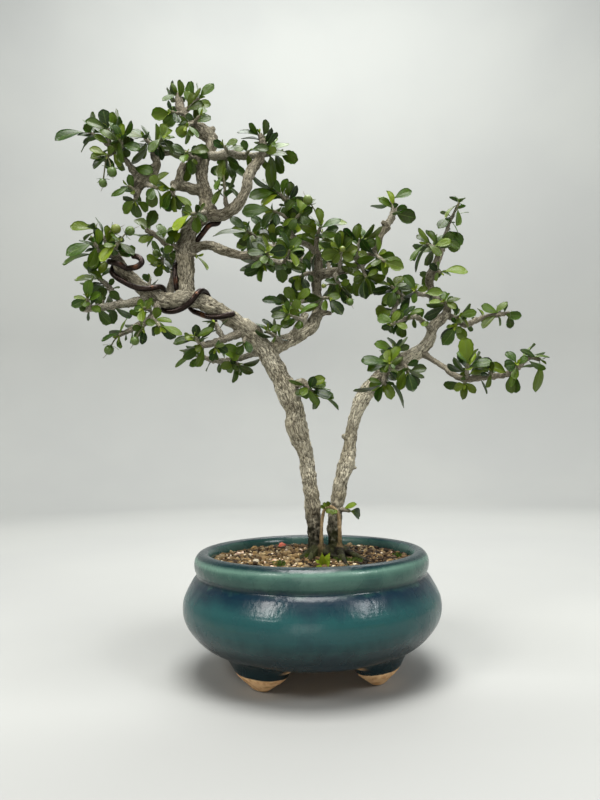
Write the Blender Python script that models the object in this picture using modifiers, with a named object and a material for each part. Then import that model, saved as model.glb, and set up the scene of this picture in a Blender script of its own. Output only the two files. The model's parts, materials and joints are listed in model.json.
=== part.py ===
"""Fukien tea bonsai with two trunks in a round glazed pot.

The whole plant and its pot at real size, metres, +Z up. The origin is on the surface that the pot
stands on, at the middle of the plant's footprint. The front of the tree faces -Y.

The pot, the soil and the roots are dimensioned in millimetres. The branches, twigs and leaves are
set out on a front-view sketch of 600 x 800 pixels, seen from a fixed eye point, with a real depth
behind the middle of the pot for every point. sketch_point() turns a sketch position into
millimetres.
"""

import math
import random

import bmesh
import bpy
import numpy as np
from mathutils import Matrix, Vector, noise
from mathutils.bvhtree import BVHTree

MM = 0.001
CLEARANCE = 0.35

# Eye point of the front-view sketch, in millimetres and degrees
EYE_DISTANCE = 387.0
EYE_HEIGHT = 128.0
EYE_PITCH = -5.6
EYE_ROLL = -0.91
EYE_YAW = 0.80
SKETCH_FOCAL = 600.0
SKETCH_CENTRE = (300.0, 400.0)
SPREAD_START = 480.0
SPREAD_END = 330.0
SPREAD_FACTOR = 1.75

# Pot, a turned form on four feet (radius, height), millimetres
ROUND_STEPS = 32
POT_OUTSIDE = (
    (67.5, 71.7), (71.2, 70.2), (72.8, 65.4), (70.9, 58.6), (75.2, 52.6), (78.7, 45.0),
    (79.4, 38.4), (77.0, 30.2), (70.8, 22.4), (60.4, 16.2), (50.0, 14.4),
)
POT_INSIDE = (
    (51.0, 20.0), (66.5, 26.0), (73.4, 38.0), (70.8, 50.0), (62.6, 62.6), (64.2, 70.6),
)
POT_FLOOR = 20.0
DRAIN_RADIUS = 6.5
FOOT_PROFILE = ((5.4, 0.0), (7.6, 1.6), (9.6, 5.6), (13.0, 10.6), (18.6, 17.6))
FOOT_RING = 47.6
FOOT_FIRST_ANGLE = -38.0
FOOT_SQUASH = 0.74
FOOT_STEPS = 8

# Drain screen, a square of plastic mesh on the pot's floor
SCREEN_SIZE = 22.5
SCREEN_CELLS = 5
SCREEN_THICKNESS = 1.0
SCREEN_RECESS = 16.4

# Soil, filled to just under the rim
SOIL_LEVEL = 65.2
SOIL_EDGE = 61.0
SOIL_MOUND = 2.4
SOIL_GRAIN = 0.9
SOIL_GRAIN_SCALES = (0.21, 0.47)
SOIL_ROOT_REACH = 6.0
SOIL_CUT_REACH = 14.0
SOIL_RINGS = 4

# Training wire
WIRE_RADIUS = 1.7
WIRE_SPACING = 5.0
WIRE_GAP = 0.75

# Seat of a twig on the wood: how far its start may move out, by which steps, and the length tested
SEAT_REACH = 14.0
SEAT_STEP = 0.1
SEAT_LENGTH = 2.5
TWIG_SPACING = 9.0
THICK_TWIG = 2.3

# Leaf blade
LEAF_THICKNESS = 0.7
LEAF_ARCH = 0.09
LEAF_OUTLINE = ((0.56, 1.0), (1.0, 0.4))
LEAF_ROOT = 0.2
LEAF_SHORTEST = 9.5
LEAF_LENGTH = 13.0
LEAF_SPREAD = 1.8
LEAF_STEP = 0.8
LEAF_WIDEST = 13.5
LEAF_SLIMMEST_SHARE = 0.52
LEAF_BROADEST_SHARE = 0.95
LEAF_LEANS = (-1.0, 1.0, -0.5, 0.4, -1.5, 1.5, 0.0, -2.0, 2.0)
BACK_LEAF_TRIES = 14
BACK_LEAF_TURN = 0.9
GOLDEN_TURN = 2.4
SEED = 20

# Cleaning of joined bodies: distances to weld within, in metres, and angles to merge, in degrees
WELDS = (2e-7, 2e-6, 1e-5, 3e-5)
FLAT_ANGLES = (0.5, 0.0)

# Materials: base colour, roughness, metallic
FINISHES = {
    "glaze": ((0.045, 0.105, 0.115), 0.22, 0.0),
    "soil": ((0.26, 0.19, 0.13), 0.95, 0.0),
    "screen": ((0.03, 0.03, 0.03), 0.6, 0.0),
    "bark": ((0.36, 0.31, 0.24), 0.85, 0.0),
    "leaf": ((0.055, 0.13, 0.03), 0.4, 0.0),
    "wire": ((0.05, 0.03, 0.025), 0.35, 0.6),
}

# Wood, as (sketch x, sketch y, depth, radius): the two trunks and the limbs that share one body.
# The left trunk leans away, turns into the long left limb and is read from the soil outwards.
LEFT_TRUNK = (
    (317, 560, 2, 6.4), (316, 549, 2, 5.3), (315, 530, 2, 4.7), (312, 500, 1, 4.9),
    (308.5, 473, 0, 5.0), (304, 448, -1, 5.3), (297, 430, -2, 6.9), (295, 411, -2, 5.9),
    (289, 395, -3, 7.3), (278, 373, -4, 6.1), (266, 352, -5, 6.0), (252, 334, -6, 6.0),
    (236, 322, -8, 5.4), (219, 311, -9, 5.1), (202, 302, -10, 5.4), (187, 299, -11, 5.6),
    (173, 301, -12, 5.2), (161, 299, -13, 5.1), (149, 292.5, -14, 4.6), (137, 284, -15, 4.4),
    (127, 276, -15, 5.0), (120.5, 267, -16, 4.4), (117, 258, -16, 3.2),
)
LEADER = (
    (188, 301, -11, 4.6), (187, 288, -10, 4.9), (186, 270, -9, 5.1), (184.5, 250, -8, 5.6),
    (188, 234, -8, 5.1), (198, 221, -8, 5.1), (207, 211, -8, 5.4), (205, 194, -7, 4.6),
    (202, 178, -6, 3.9), (202, 160, -4, 4.9), (210, 149, -4, 3.7), (211, 139, -3, 4.8),
    (202, 131, -3, 5.4), (197, 129, -3, 3.8),
)
RIGHT_FORK = (
    (206, 214, -8, 4.0), (219, 215.5, -9, 3.9), (230, 211, -10, 3.9), (240, 201, -10, 3.6),
    (246, 189, -10, 3.4), (248, 178, -10, 3.2), (254, 167, -9, 3.6), (261, 158.6, -8, 3.2),
)
TOP_LEFT_ARM = (
    (201, 160, -4, 3.6), (187, 156, -6, 2.9), (173, 151, -8, 2.9), (161, 152, -9, 3.0),
    (154, 155, -10, 2.9), (157, 163, -11, 2.6), (153, 170, -11, 3.6), (145, 177, -12, 5.7),
    (138, 184, -12, 5.2), (137, 190, -12, 3.4),
)
LEADER_STUB = ((205, 191, -7, 3.4), (193, 189.5, -8, 3.5), (183, 186, -9, 3.5), (172, 185, -10, 2.9))
LEADER_STUB_RISER = ((177, 186, -10, 2.6), (180.5, 174, -11, 2.7), (183.5, 164, -11, 2.2))
MIDDLE_ARM = (
    (187, 252, -8, 3.8), (200, 246.5, -8, 3.2), (211, 245.5, -9, 3.0), (225, 251, -10, 3.1),
    (240, 255, -10, 2.9), (252, 255, -10, 2.8),
)
RIGHT_LIMB = (
    (267, 354, -4, 4.6), (281, 344, -2, 4.9), (297, 336, 1, 4.6), (311, 326.5, 4, 4.5),
    (317, 314, 6, 4.0), (317, 295, 9, 3.2), (316, 279, 10, 3.7), (318, 264, 11, 3.4),
    (317, 253, 11, 2.8),
)
RIGHT_ARM = (
    (316, 276, 10, 3.6), (328, 273.5, 9, 3.4), (343, 270.5, 8, 3.2), (358, 265, 7, 3.1),
    (370, 256, 6, 2.9), (377, 247, 5, 2.6), (380, 235, 5, 2.6), (388, 226, 5, 2.9),
)
PALE_STUB = ((293, 338, -1, 3.0), (299, 326, -4, 3.0), (305.5, 314, -6, 2.8))
KNOTTY_STUB = ((315, 320, 5, 2.6), (323, 313, 4, 2.3), (331, 313.5, 3, 1.6))
RIGHT_TRUNK = (
    (337, 560, 0, 6.2), (336, 548, 0, 4.8), (334, 527, 1, 4.3), (337, 502, 2, 4.6),
    (342, 477, 3, 4.6), (347, 462, 4, 5.1), (350, 444, 5, 4.2), (352.5, 425, 6, 4.1),
    (357, 410, 6, 4.5), (364, 396, 7, 5.2), (376, 380.5, 9, 5.0), (391, 367, 10, 4.8),
    (408, 358, 12, 4.9), (422, 349, 12, 4.5), (430, 339, 12, 3.8), (433, 327, 12, 3.8),
    (442, 318, 12, 3.7), (447, 309, 12, 3.1), (438, 298, 13, 2.5), (430, 287, 14, 2.7),
    (430, 277, 14, 3.2), (436, 264, 14, 2.7), (440, 252, 15, 2.6),
)
SHORT_STUBS = (
    ((348, 438, 5, 2.4), (343, 436, 2, 1.6)),
    ((348, 466, 4, 3.0), (356.5, 468, 3, 1.0)),
    ((313, 516, 2, 3.4), (307, 518, 0, 2.0)),
    ((298, 384, -4, 3.4), (303, 381.5, -8, 2.2)),
    ((386, 226, 5, 2.6), (383, 222, 3, 1.8)),
    ((208, 134, -3, 3.0), (214, 127.5, -4, 1.8)),
)
AIR_ROOT = (
    (321.5, 560, -7, 1.8), (321.5, 541, -6, 1.4), (322, 520, -5, 1.3), (325, 509, -5, 1.3),
    (332, 507, -6, 1.3), (338, 513, -6, 1.3), (339.5, 526, -6, 1.4), (340, 542, -6, 1.6),
    (341, 560, -7, 1.9),
)

# Roots, in millimetres in the pot's own frame: the sunk stock and the roots that spread on the soil
ROOT_STOCK = ((8, 1, 68, 9.6), (8, 1, 60, 11.0), (8, 1, 50, 9.6), (8, 1, 40, 6.5))
SURFACE_ROOTS = (
    ((3, 0, 69, 4.6), (-5, -7, 66.2, 3.0), (-13, -13, 64.6, 2.0), (-20, -16, 62.4, 1.2)),
    ((15, 0, 69, 4.4), (23, -6, 66.2, 2.9), (31, -9, 64.6, 2.0), (39, -15, 62.2, 1.2)),
    ((12, -3, 68, 3.6), (17, -12, 66.0, 2.5), (18, -22, 64.2, 1.8), (23, -30, 61.8, 1.1)),
    ((10, 4, 68, 4.0), (13, 14, 65.8, 2.8), (20, 23, 64.0, 1.9), (24, 31, 61.8, 1.1)),
    ((4, 4, 68, 3.8), (-4, 12, 65.8, 2.6), (-8, 22, 63.8, 1.7), (-14, 29, 61.8, 1.1)),
)


class Twig:
    """A woody stem of a spray: its way on the sketch, the leaves that stand on it and more at its back."""

    def __init__(self, way, leaves=(), back=0):
        self.way = way
        self.leaves = leaves
        self.back = back


class Spray:
    """One leafy stem: the twig that stands on the tree, the spurs that grow from it and its berries."""

    def __init__(self, name, stem, spurs=(), berries=()):
        self.name = name
        self.stem = stem
        self.spurs = spurs
        self.berries = berries


# Leafy stems. A way is (sketch x, sketch y, depth, radius); a leaf is (tip x, tip y, width seen), in
# sketch pixels; a berry is (sketch x, sketch y, depth, radius).
SPRAYS = (
    Spray(
        "spray_far_left",
        Twig(
            ((136, 174, -13, 2.6), (131, 167, -13, 2.3), (124, 158, -13, 2.0),
             (117, 151, -14, 1.9), (109, 145, -14, 1.6), (98, 137.5, -15, 1.3),
             (88, 132.5, -15, 1.0)),
            ((56, 140, 6), (78, 136, 5), (125, 169, 6)),
        ),
        (
            Twig(
                ((110, 146, -14, 1.2), (109, 137, -16, 1.1), (108, 129, -17, 0.9)),
                ((86, 121, 10), (103, 110, 13), (114, 113, 6), (93, 125, 8)),
            ),
            Twig(
                ((116, 151, -14, 1.1), (111, 154, -17, 1.0), (107, 156, -19, 0.9)),
                ((91, 158, 10), (94, 168, 9), (90, 149, 6)),
            ),
            Twig(
                ((121, 155, -14, 1.0), (122, 147, -17, 1.0), (120, 139, -19, 0.9)),
                ((131, 121, 5), (109, 122, 8), (128, 136, 9)),
            ),
        ),
        ((112, 172, -21, 3.6), (103, 183, -19, 3.1)),
    ),
    Spray(
        "spray_high_left",
        Twig(
            ((158, 151, -10, 1.5), (152, 146, -13, 1.3), (145, 138, -15, 1.1)),
            ((122, 134, 7), (143, 127, 6), (133, 163, 4)),
        ),
        (
            Twig(
                ((153, 147, -13, 1.0), (158, 142, -17, 0.9), (162, 138, -19, 0.8)),
                ((172, 131, 7), (174, 137, 6), (123, 150, 6), (149, 151, 8)),
            ),
        ),
    ),
    Spray(
        "spray_knot_hanging",
        Twig(
            ((138, 189, -12, 1.9), (136.5, 195, -13, 1.7), (135, 201, -14, 1.1)),
            ((124, 213, 10), (140, 205, 6)),
        ),
        (
            Twig(
                ((137, 192, -13, 1.0), (132, 188, -17, 0.9), (128, 186, -18, 0.8)),
                ((112, 196, 8), (121, 187, 7), (129, 175, 7)),
            ),
        ),
    ),
    Spray(
        "spray_knot_right",
        Twig(
            ((147, 184, -13, 1.4), (153, 187, -17, 1.1), (158, 188, -18, 0.9)),
            ((152, 175, 10), (148, 199, 10), (168, 173, 6), (168, 190, 7)),
        ),
    ),
    Spray(
        "spray_crown",
        Twig(
            ((200, 131, -3, 3.2), (192, 123, -2, 2.8), (185, 115, -2, 2.8), (181, 109, -2, 3.2),
             (179, 101, -1, 2.8), (178, 94, -1, 1.6)),
            ((168, 90, 8),),
        ),
        (
            Twig(
                ((183, 112, -3, 1.3), (176, 113, -7, 1.1), (171, 112, -9, 0.9)),
                ((152, 115, 13), (164, 126, 12)),
            ),
            Twig(
                ((184, 112, -2, 1.8), (192, 106, -1, 1.6), (199, 99, -1, 1.1)),
                ((213, 84, 8), (187, 90, 9), (210, 104, 8), (204, 106, 6), (200, 88, 5)),
            ),
            Twig(
                ((192, 123, -4, 1.2), (197, 119, -8, 1.1), (200, 116, -9, 0.9)),
                ((210, 116, 9),),
            ),
            Twig(
                ((192, 123, -5, 1.2), (189, 124, -11, 1.1), (187, 126, -14, 0.9)),
                ((178, 135, 12), (197, 137, 7)),
            ),
        ),
    ),
    Spray(
        "spray_leader_high",
        Twig(
            ((192, 159, -7, 1.3), (189, 156, -11, 1.1), (187, 153, -13, 0.9)),
            ((171, 146, 9), (208, 150, 7), (189, 173, 5)),
        ),
    ),
    Spray(
        "spray_leader_stub",
        Twig(
            ((174, 187, -11, 1.5), (173, 192, -13, 1.3), (174, 197, -13, 1.0)),
            ((165, 209, 6), (190, 206, 6), (177, 211, 6)),
        ),
    ),
    Spray(
        "spray_leader_fresh",
        Twig(
            ((206, 212, -11, 1.2), (198, 213, -15, 1.1), (191, 214, -16, 0.9)),
            ((174, 230, 6), (160, 233, 3)),
        ),
    ),
    Spray(
        "spray_back_left",
        Twig(
            ((170, 297, -8, 2.6), (170.5, 288, -4, 2.8), (173, 279, 0, 2.5), (174, 266, 5, 2.4),
             (171, 254, 6, 2.4), (166, 244, 5, 2.2), (157, 236, 3, 2.0), (146, 230, 1, 1.5)),
            ((155, 211, 12), (136, 220, 9), (139, 241, 7), (132, 233, 5)),
        ),
        (
            Twig(
                ((171, 255, 6, 1.1), (164, 256, -1, 1.0), (162, 264, -4, 0.8)),
                ((147, 256, 8), (160, 271, 6), (153, 241, 6)),
            ),
        ),
        ((156, 253, -6, 2.7), (157, 264, -5, 2.3)),
    ),
    Spray(
        "spray_leader_side",
        Twig(
            ((180, 249, -8, 1.2), (175, 247, -10, 1.0), (172, 244, -11, 0.9)),
            ((164, 251, 8), (172, 228, 6)),
        ),
    ),
    Spray(
        "spray_leader_thorn",
        Twig(((193, 253, -10, 1.1), (197, 256, -12, 0.9)), ((207, 269, 4),)),
    ),
    Spray(
        "spray_limb_tip",
        Twig(
            ((117.5, 262, -16, 2.6), (115, 255.5, -16, 2.7), (106, 253.5, -16, 2.8),
             (97, 254.5, -16, 2.6)),
            ((89, 272, 6), (64, 265, 3)),
        ),
        (
            Twig(
                ((100, 253, -17, 1.2), (97, 247, -20, 1.1), (94, 243, -21, 0.9)),
                ((67, 255, 12), (97, 228, 8)),
            ),
            Twig(
                ((108, 253, -16, 1.3), (106, 243, -17, 1.2), (101, 234, -17, 1.1),
                 (95, 230, -17, 0.9)),
                ((71, 226, 9), (125, 246, 8), (108, 226, 7)),
            ),
            Twig(
                ((112, 254, -18, 1.1), (116, 247, -20, 1.0), (119, 242, -21, 0.9)),
                ((133, 254, 9),),
            ),
        ),
        ((116, 229, -19, 3.5), (130, 231, -20, 3.4)),
    ),
    Spray(
        "spray_low_left",
        Twig(
            ((151, 298, -14, 2.8), (141, 300.5, -15, 3.0), (131, 302.7, -16, 2.9),
             (117, 305, -16, 2.6), (100, 307.5, -17, 2.4), (83, 309, -17, 2.0)),
            ((111, 323, 10), (131, 316, 6)),
        ),
        (
            Twig(
                ((123, 304, -16, 1.8), (114, 294, -14, 1.8), (106, 284, -12, 1.6),
                 (97, 277, -11, 1.0)),
                ((107, 262, 9), (116, 267, 7), (75, 279, 7), (86, 288, 6)),
            ),
            Twig(
                ((90, 308, -18, 1.2), (88, 302, -21, 1.0), (87, 298, -22, 0.9)),
                ((98, 291, 7), (72, 306, 9)),
            ),
            Twig(((103, 307, -16, 1.1), (103, 301, -13, 0.9)), ((110, 296, 6),)),
        ),
    ),
    Spray(
        "spray_limb_top",
        Twig(((150, 287, -11, 1.1), (150, 279, -10, 0.9)), ((143, 279, 5),)),
    ),
    Spray(
        "spray_down_left",
        Twig(
            ((158, 303, -14, 2.4), (156, 312, -15, 2.5), (150, 320, -17, 2.7),
             (140, 324, -18, 2.2), (130, 330, -19, 1.5), (119, 335.5, -20, 1.1)),
            ((110, 333, 6),),
        ),
        (
            Twig(
                ((153, 317, -17, 1.2), (158, 324, -21, 1.0), (160, 327, -22, 0.9)),
                ((181, 334, 6), (164, 334, 7), (171, 323, 8), (152, 335, 7)),
            ),
            Twig(
                ((155, 312, -16, 1.1), (147, 309, -20, 1.0), (143, 308, -22, 0.8)),
                ((136, 308, 6), (142, 321, 7)),
            ),
            Twig(((144, 323, -18, 1.0), (143, 328, -21, 0.8)), ((135, 337, 6),)),
        ),
        ((109, 350, -20, 3.4), (135, 341, -23, 3.0)),
    ),
    Spray(
        "spray_fork_shoot",
        Twig(
            ((228, 213, -9, 1.3), (226, 204, -10, 1.1), (225, 192, -11, 1.0),
             (223.5, 176, -11, 0.7)),
            ((214, 204, 6), (239, 199, 5)),
        ),
    ),
    Spray(
        "spray_top_right",
        Twig(
            ((206, 158, -5, 3.0), (217, 156, -5, 3.0), (228, 154.5, -5, 3.4),
             (238, 155.5, -4, 3.2), (250, 156, -2, 2.4), (265, 154.5, 0, 1.8), (279, 152, 1, 1.2)),
            ((297, 160, 13), (284, 172, 9), (272, 185, 15), (233, 142, 6)),
        ),
        (
            Twig(
                ((226, 155, -5, 1.1), (226, 162, -1, 1.0), (228, 168, 1, 0.9)),
                ((211, 172, 10), (233, 178, 8), (246, 176, 10), (240, 166, 8)),
            ),
            Twig(
                ((229, 154, -7, 1.1), (226, 149, -11, 1.0), (224, 146, -12, 0.8)),
                ((237, 140, 6),),
            ),
            Twig(
                ((246, 156, -4, 1.1), (247, 153, -8, 0.9), (249, 151, -9, 0.8)),
                ((268, 149, 6), (250, 168, 7)),
            ),
        ),
    ),
    Spray(
        "spray_fork_tip",
        Twig(
            ((259, 160, -8, 2.2), (263, 151, -8, 2.3), (263, 142, -8, 2.8), (260, 134, -9, 1.3)),
            ((266, 120, 7), (249, 124, 6), (242, 138, 4), (271, 128, 6), (276, 146, 6)),
        ),
    ),
    Spray(
        "spray_middle_arm",
        Twig(
            ((249, 255, -10, 2.2), (258, 257, -9, 2.5), (270, 262, -6, 2.7), (283, 264, -2, 2.5),
             (295, 262, 2, 1.9)),
            ((245, 266, 7), (252, 271, 9)),
        ),
        (
            Twig(((262, 259, -8, 1.1), (264, 265, -9, 0.9)), ((261, 281, 8),)),
            Twig(
                ((270, 261, -7, 1.1), (268, 256, -13, 1.0), (267, 252, -16, 0.9)),
                ((286, 250, 13), (258, 244, 8), (248, 252, 7)),
            ),
            Twig(
                ((284, 264, -3, 1.1), (288, 256, -8, 1.0), (290, 250, -10, 0.9)),
                ((300, 238, 9), (279, 240, 9), (304, 254, 9)),
            ),
        ),
    ),
    Spray(
        "spray_inner",
        Twig(
            ((317, 261, 12, 2.4), (304, 260, 17, 2.4), (290, 255, 21, 2.2), (275, 248, 22, 2.0),
             (261, 243, 21, 1.8), (250, 240, 19, 1.1)),
            ((237, 247, 8), (232, 229, 11), (243, 222, 10), (262, 229, 9)),
        ),
        (
            Twig(
                ((279, 250, 22, 1.3), (272, 240, 25, 1.1), (266, 230, 26, 0.9)),
                ((252, 217, 9), (276, 216, 9), (284, 228, 9)),
                back=2,
            ),
            Twig(
                ((293, 256, 21, 1.3), (291, 246, 27, 1.1), (290, 236, 31, 0.9)),
                ((301, 222, 10), (308, 240, 9)),
                back=2,
            ),
            Twig(
                ((262, 243, 21, 1.2), (254, 236, 14, 1.1), (247, 231, 10, 0.9)),
                ((230, 218, 10), (214, 236, 8)),
            ),
        ),
    ),
    Spray(
        "spray_brown_shoot",
        Twig(
            ((316, 252, 10, 2.3), (308, 245, 9, 2.5), (298, 241, 8, 2.2), (291, 233, 8, 1.9),
             (289, 219, 8, 1.7), (288, 205, 8, 1.4), (287, 196, 8, 1.0)),
            ((291, 182, 8), (297, 186, 8), (284, 188, 6), (304, 203, 8)),
        ),
        (
            Twig(
                ((288, 203, 8, 1.1), (281, 195, 6, 1.0), (275, 190, 5, 0.8)),
                ((253, 178, 6), (250, 197, 11), (262, 204, 6)),
            ),
            Twig(
                ((289, 220, 7, 1.1), (281, 214, 3, 1.0), (273, 211, 1, 0.9)),
                ((243, 213, 9), (263, 219, 7)),
            ),
            Twig(
                ((290, 226, 7, 1.1), (296, 219, 3, 1.0), (300, 214, 1, 0.9)),
                ((312, 208, 8), (292, 208, 9), (309, 224, 10)),
            ),
        ),
    ),
    Spray(
        "spray_top_middle",
        Twig(
            ((318, 256, 9, 1.6), (316, 245, 5, 1.5), (318, 234, 2, 1.2), (321, 226, 0, 0.9)),
            ((318, 208, 8), (340, 219, 8), (306, 220, 9), (313, 232, 9), (336, 233, 9)),
        ),
        (),
        ((308, 200, -3, 3.8),),
    ),
    Spray(
        "spray_arm_first",
        Twig(
            ((341, 271, 6, 1.5), (340, 261, 1, 1.3), (341, 251, -3, 1.0)),
            ((322, 256, 13), (350, 240, 7), (332, 241, 8), (353, 260, 9)),
        ),
        (),
        ((342.5, 249, -8, 2.3),),
    ),
    Spray(
        "spray_arm_second",
        Twig(
            ((357, 264, 6, 1.5), (357, 252, 4, 1.3), (360, 240, 2, 1.0)),
            ((374, 225, 8), (381, 226, 4), (375, 241, 10), (344, 229, 8), (358, 224, 8),
             (366, 256, 8)),
        ),
    ),
    Spray(
        "spray_arm_third",
        Twig(
            ((374, 253, 4, 1.3), (380, 258, 0, 1.1), (385, 262, -2, 0.9)),
            ((394, 256, 9), (403, 268, 11), (386, 275, 7)),
        ),
    ),
    Spray(
        "spray_arm_under",
        Twig(
            ((361, 265, 6, 1.3), (364, 272, 2, 1.1), (366, 278, 0, 0.9)),
            ((378, 270, 7), (370, 290, 8), (354, 281, 8), (364, 293, 9)),
        ),
    ),
    Spray(
        "spray_arm_low",
        Twig(
            ((335, 272, 8, 1.4), (337, 280, 5, 1.2), (340, 287, 3, 0.9)),
            ((328, 293, 8), (352, 293, 8), (338, 297, 7)),
        ),
        (),
        ((350, 302, 0, 2.9), (323.5, 286, 1, 1.8)),
    ),
    Spray(
        "spray_limb_right",
        Twig(
            ((317, 300, 6, 1.3), (324, 298, 2, 1.1), (329, 298, 0, 0.9)),
            ((342, 314, 12), (340, 297, 7)),
        ),
    ),
    Spray(
        "spray_limb_front",
        Twig(
            ((315, 273, 8, 1.4), (306, 274, 3, 1.2), (300, 277, 1, 0.9)),
            ((289, 281, 9), (297, 290, 12), (291, 268, 9)),
        ),
    ),
    Spray(
        "spray_limb_left",
        Twig(
            ((316, 301, 7, 1.5), (306, 301, 2, 1.3), (295, 303, -1, 1.1), (286, 304, -3, 0.9)),
            ((263, 300, 9), (285, 288, 11), (309, 289, 9), (271, 311, 6), (290, 317, 7)),
        ),
    ),
    Spray(
        "spray_stub_side",
        Twig(
            ((302, 321, -7, 1.3), (295, 317, -11, 1.1), (289, 314, -13, 0.9)),
            ((281, 327, 9), (272, 317, 7), (282, 306, 5)),
        ),
    ),
    Spray(
        "spray_limb_start",
        Twig(
            ((283, 342, -5, 1.4), (275, 336, -9, 1.2), (267, 331, -11, 0.9)),
            ((257, 323, 6), (264, 319, 6), (273, 320, 7)),
        ),
    ),
    Spray(
        "spray_back_middle",
        Twig(
            ((330, 272, 12, 1.6), (327, 258, 20, 1.4), (325, 244, 25, 1.2), (322, 232, 27, 0.9)),
            ((338, 228, 9),),
            back=5,
        ),
    ),
    Spray(
        "spray_right_arm_tip",
        Twig(
            ((386, 226, 5, 2.3), (391, 219, 5, 2.5), (394, 209, 5, 2.1), (392, 199, 5, 1.2)),
            ((411, 191, 8), (379, 199, 6), (371, 206, 6), (387, 191, 7), (415, 218, 15)),
        ),
    ),
    Spray(
        "spray_right_leader_tip",
        Twig(
            ((439.5, 256, 15, 2.0), (442, 247, 15, 2.2), (445, 237, 15, 1.5), (449, 224, 15, 1.1),
             (454.5, 212, 15, 1.0), (459, 203, 15, 0.8)),
            ((439, 228, 7), (457, 225, 5), (459, 249, 10)),
        ),
        (
            Twig(
                ((441, 249, 14, 1.3), (434, 247, 11, 1.2), (426, 244, 9, 0.9)),
                ((417, 236, 6), (411, 260, 3), (416, 271, 4), (424, 264, 6), (441, 255, 8)),
            ),
        ),
    ),
    Spray(
        "spray_right_leader_back",
        Twig(((431, 279, 16, 1.2), (432, 277, 21, 0.9)), ((422, 284, 11), (440, 270, 9))),
    ),
    Spray(
        "spray_right_leader_side",
        Twig(((434, 271, 13, 1.2), (441, 272.5, 10, 0.9)), ((467, 272, 8),)),
    ),
    Spray(
        "spray_right_cross",
        Twig(
            ((440, 300, 12, 1.9), (428, 295, 9, 1.9), (414, 294, 7, 1.8), (401, 298, 5, 1.9),
             (395, 307, 4, 1.7), (392, 316, 3, 1.0)),
            ((379, 321, 8), (376, 309, 12), (442, 292, 8)),
        ),
        (
            Twig(
                ((402, 297, 5, 1.2), (396, 290, 1, 1.1), (391, 286, 0, 0.9)),
                ((376, 283, 4), (373, 292, 7), (388, 277, 5), (384, 303, 12)),
            ),
            Twig(((417, 294, 7, 1.1), (415, 290, 3, 0.9)), ((400, 287, 6),)),
        ),
    ),
    Spray(
        "spray_right_inner",
        Twig(
            ((432, 330, 11, 1.8), (424, 323, 8, 1.8), (416, 317, 4, 1.7), (405, 319, 1, 1.4),
             (391, 325, -3, 0.9)),
            ((415, 307, 5), (423, 311, 5), (399, 311, 7), (383, 328, 5)),
        ),
    ),
    Spray(
        "spray_right_bend",
        Twig(
            ((446, 307, 10, 1.5), (446, 304, 6, 1.2), (444, 302, 4, 0.9)),
            ((460, 299, 6), (427, 304, 6), (424, 316, 7)),
        ),
    ),
    Spray(
        "spray_right_middle",
        Twig(
            ((446, 315, 12, 2.2), (456, 319.5, 14, 2.2), (465, 325, 15, 2.3), (475, 321, 16, 2.1),
             (487, 316.5, 16, 2.0), (500, 314.5, 15, 1.6), (509, 313, 15, 1.1)),
            ((521, 316, 9), (507, 302, 7), (510, 328, 7), (483, 327, 8), (482, 306, 6)),
        ),
        (
            Twig(((456, 319, 13, 1.1), (459, 316, 9, 0.9)), ((476, 312, 9), (452, 303, 6))),
            Twig(((460, 322, 14, 1.1), (455, 326, 9, 0.9)), ((443, 344, 11), (465, 339, 11))),
        ),
    ),
    Spray(
        "spray_right_low",
        Twig(
            ((424, 354, 11, 2.4), (433, 360, 9, 2.1), (444, 367, 6, 2.0), (454, 375, 3, 2.4),
             (466, 379, 0, 2.5), (480, 377.5, -2, 2.3), (496, 376, -3, 2.2), (508, 374, -4, 2.0),
             (518, 367.5, -5, 1.7), (528, 358, -6, 1.5), (540, 359.5, -6, 1.0)),
            ((545, 369, 5), (535, 391, 8), (511, 386, 8)),
        ),
        (
            Twig(
                ((466, 378, -1, 1.2), (467, 370, -5, 1.1), (468, 364, -7, 0.9)),
                ((465, 338, 15), (454, 358, 6), (491, 361, 8), (479, 352, 7)),
            ),
            Twig(((463, 379, 0, 1.1), (465, 384, -3, 0.9)), ((462, 399, 8),)),
            Twig(((489, 376, -3, 1.1), (491, 371, -7, 0.9)), ((499, 366, 7),)),
            Twig(((517, 368, -5, 1.1), (517, 364, -9, 0.9)), ((505, 366, 13),)),
        ),
    ),
    Spray(
        "spray_shoulder_top",
        Twig(
            ((402, 361, 9, 1.5), (398, 354, 5, 1.3), (394, 349, 3, 0.9)),
            ((375, 344, 9), (409, 346, 7), (388, 338, 6)),
        ),
    ),
    Spray(
        "spray_shoulder_left",
        Twig(
            ((386, 371, 7, 2.2), (385, 377, 2, 2.0), (384, 385, -1, 1.4)),
            ((369, 380, 5), (355, 392, 6), (391, 399, 10), (378, 401, 6)),
        ),
        (
            Twig(
                ((385, 376, 3, 1.2), (389, 368, -4, 1.1), (389, 363, -7, 0.9)),
                ((362, 361, 8), (368, 370, 5), (384, 354, 12), (403, 357, 8)),
            ),
        ),
    ),
    Spray(
        "spray_shoulder_right",
        Twig(
            ((403, 361, 7, 1.4), (406, 367, 2, 1.2), (408, 373, 0, 0.9)),
            ((426, 368, 8), (413, 391, 12), (400, 389, 6), (418, 361, 7)),
        ),
    ),
    Spray(
        "spray_trunk_side",
        Twig(
            ((303, 381.5, -9, 1.7), (307, 386, -11, 1.3), (313, 393, -12, 0.9)),
            ((325, 385, 9), (333, 399, 9), (318, 405, 9), (337, 410, 2), (289, 380, 5)),
        ),
    ),
    Spray(
        "spray_base",
        Twig(((341, 509, -1, 1.2), (350, 511, -3, 0.9)), ((356, 504, 6),)),
    ),
    Spray(
        "spray_lower_left",
        Twig(
            ((242, 333, -8, 2.8), (233, 336, -10, 2.7), (222, 340, -13, 2.5),
             (210, 344, -14, 2.3), (199, 345.5, -15, 1.7)),
            ((183, 357, 10), (187, 346, 6), (196, 366, 7)),
        ),
        (
            Twig(
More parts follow.
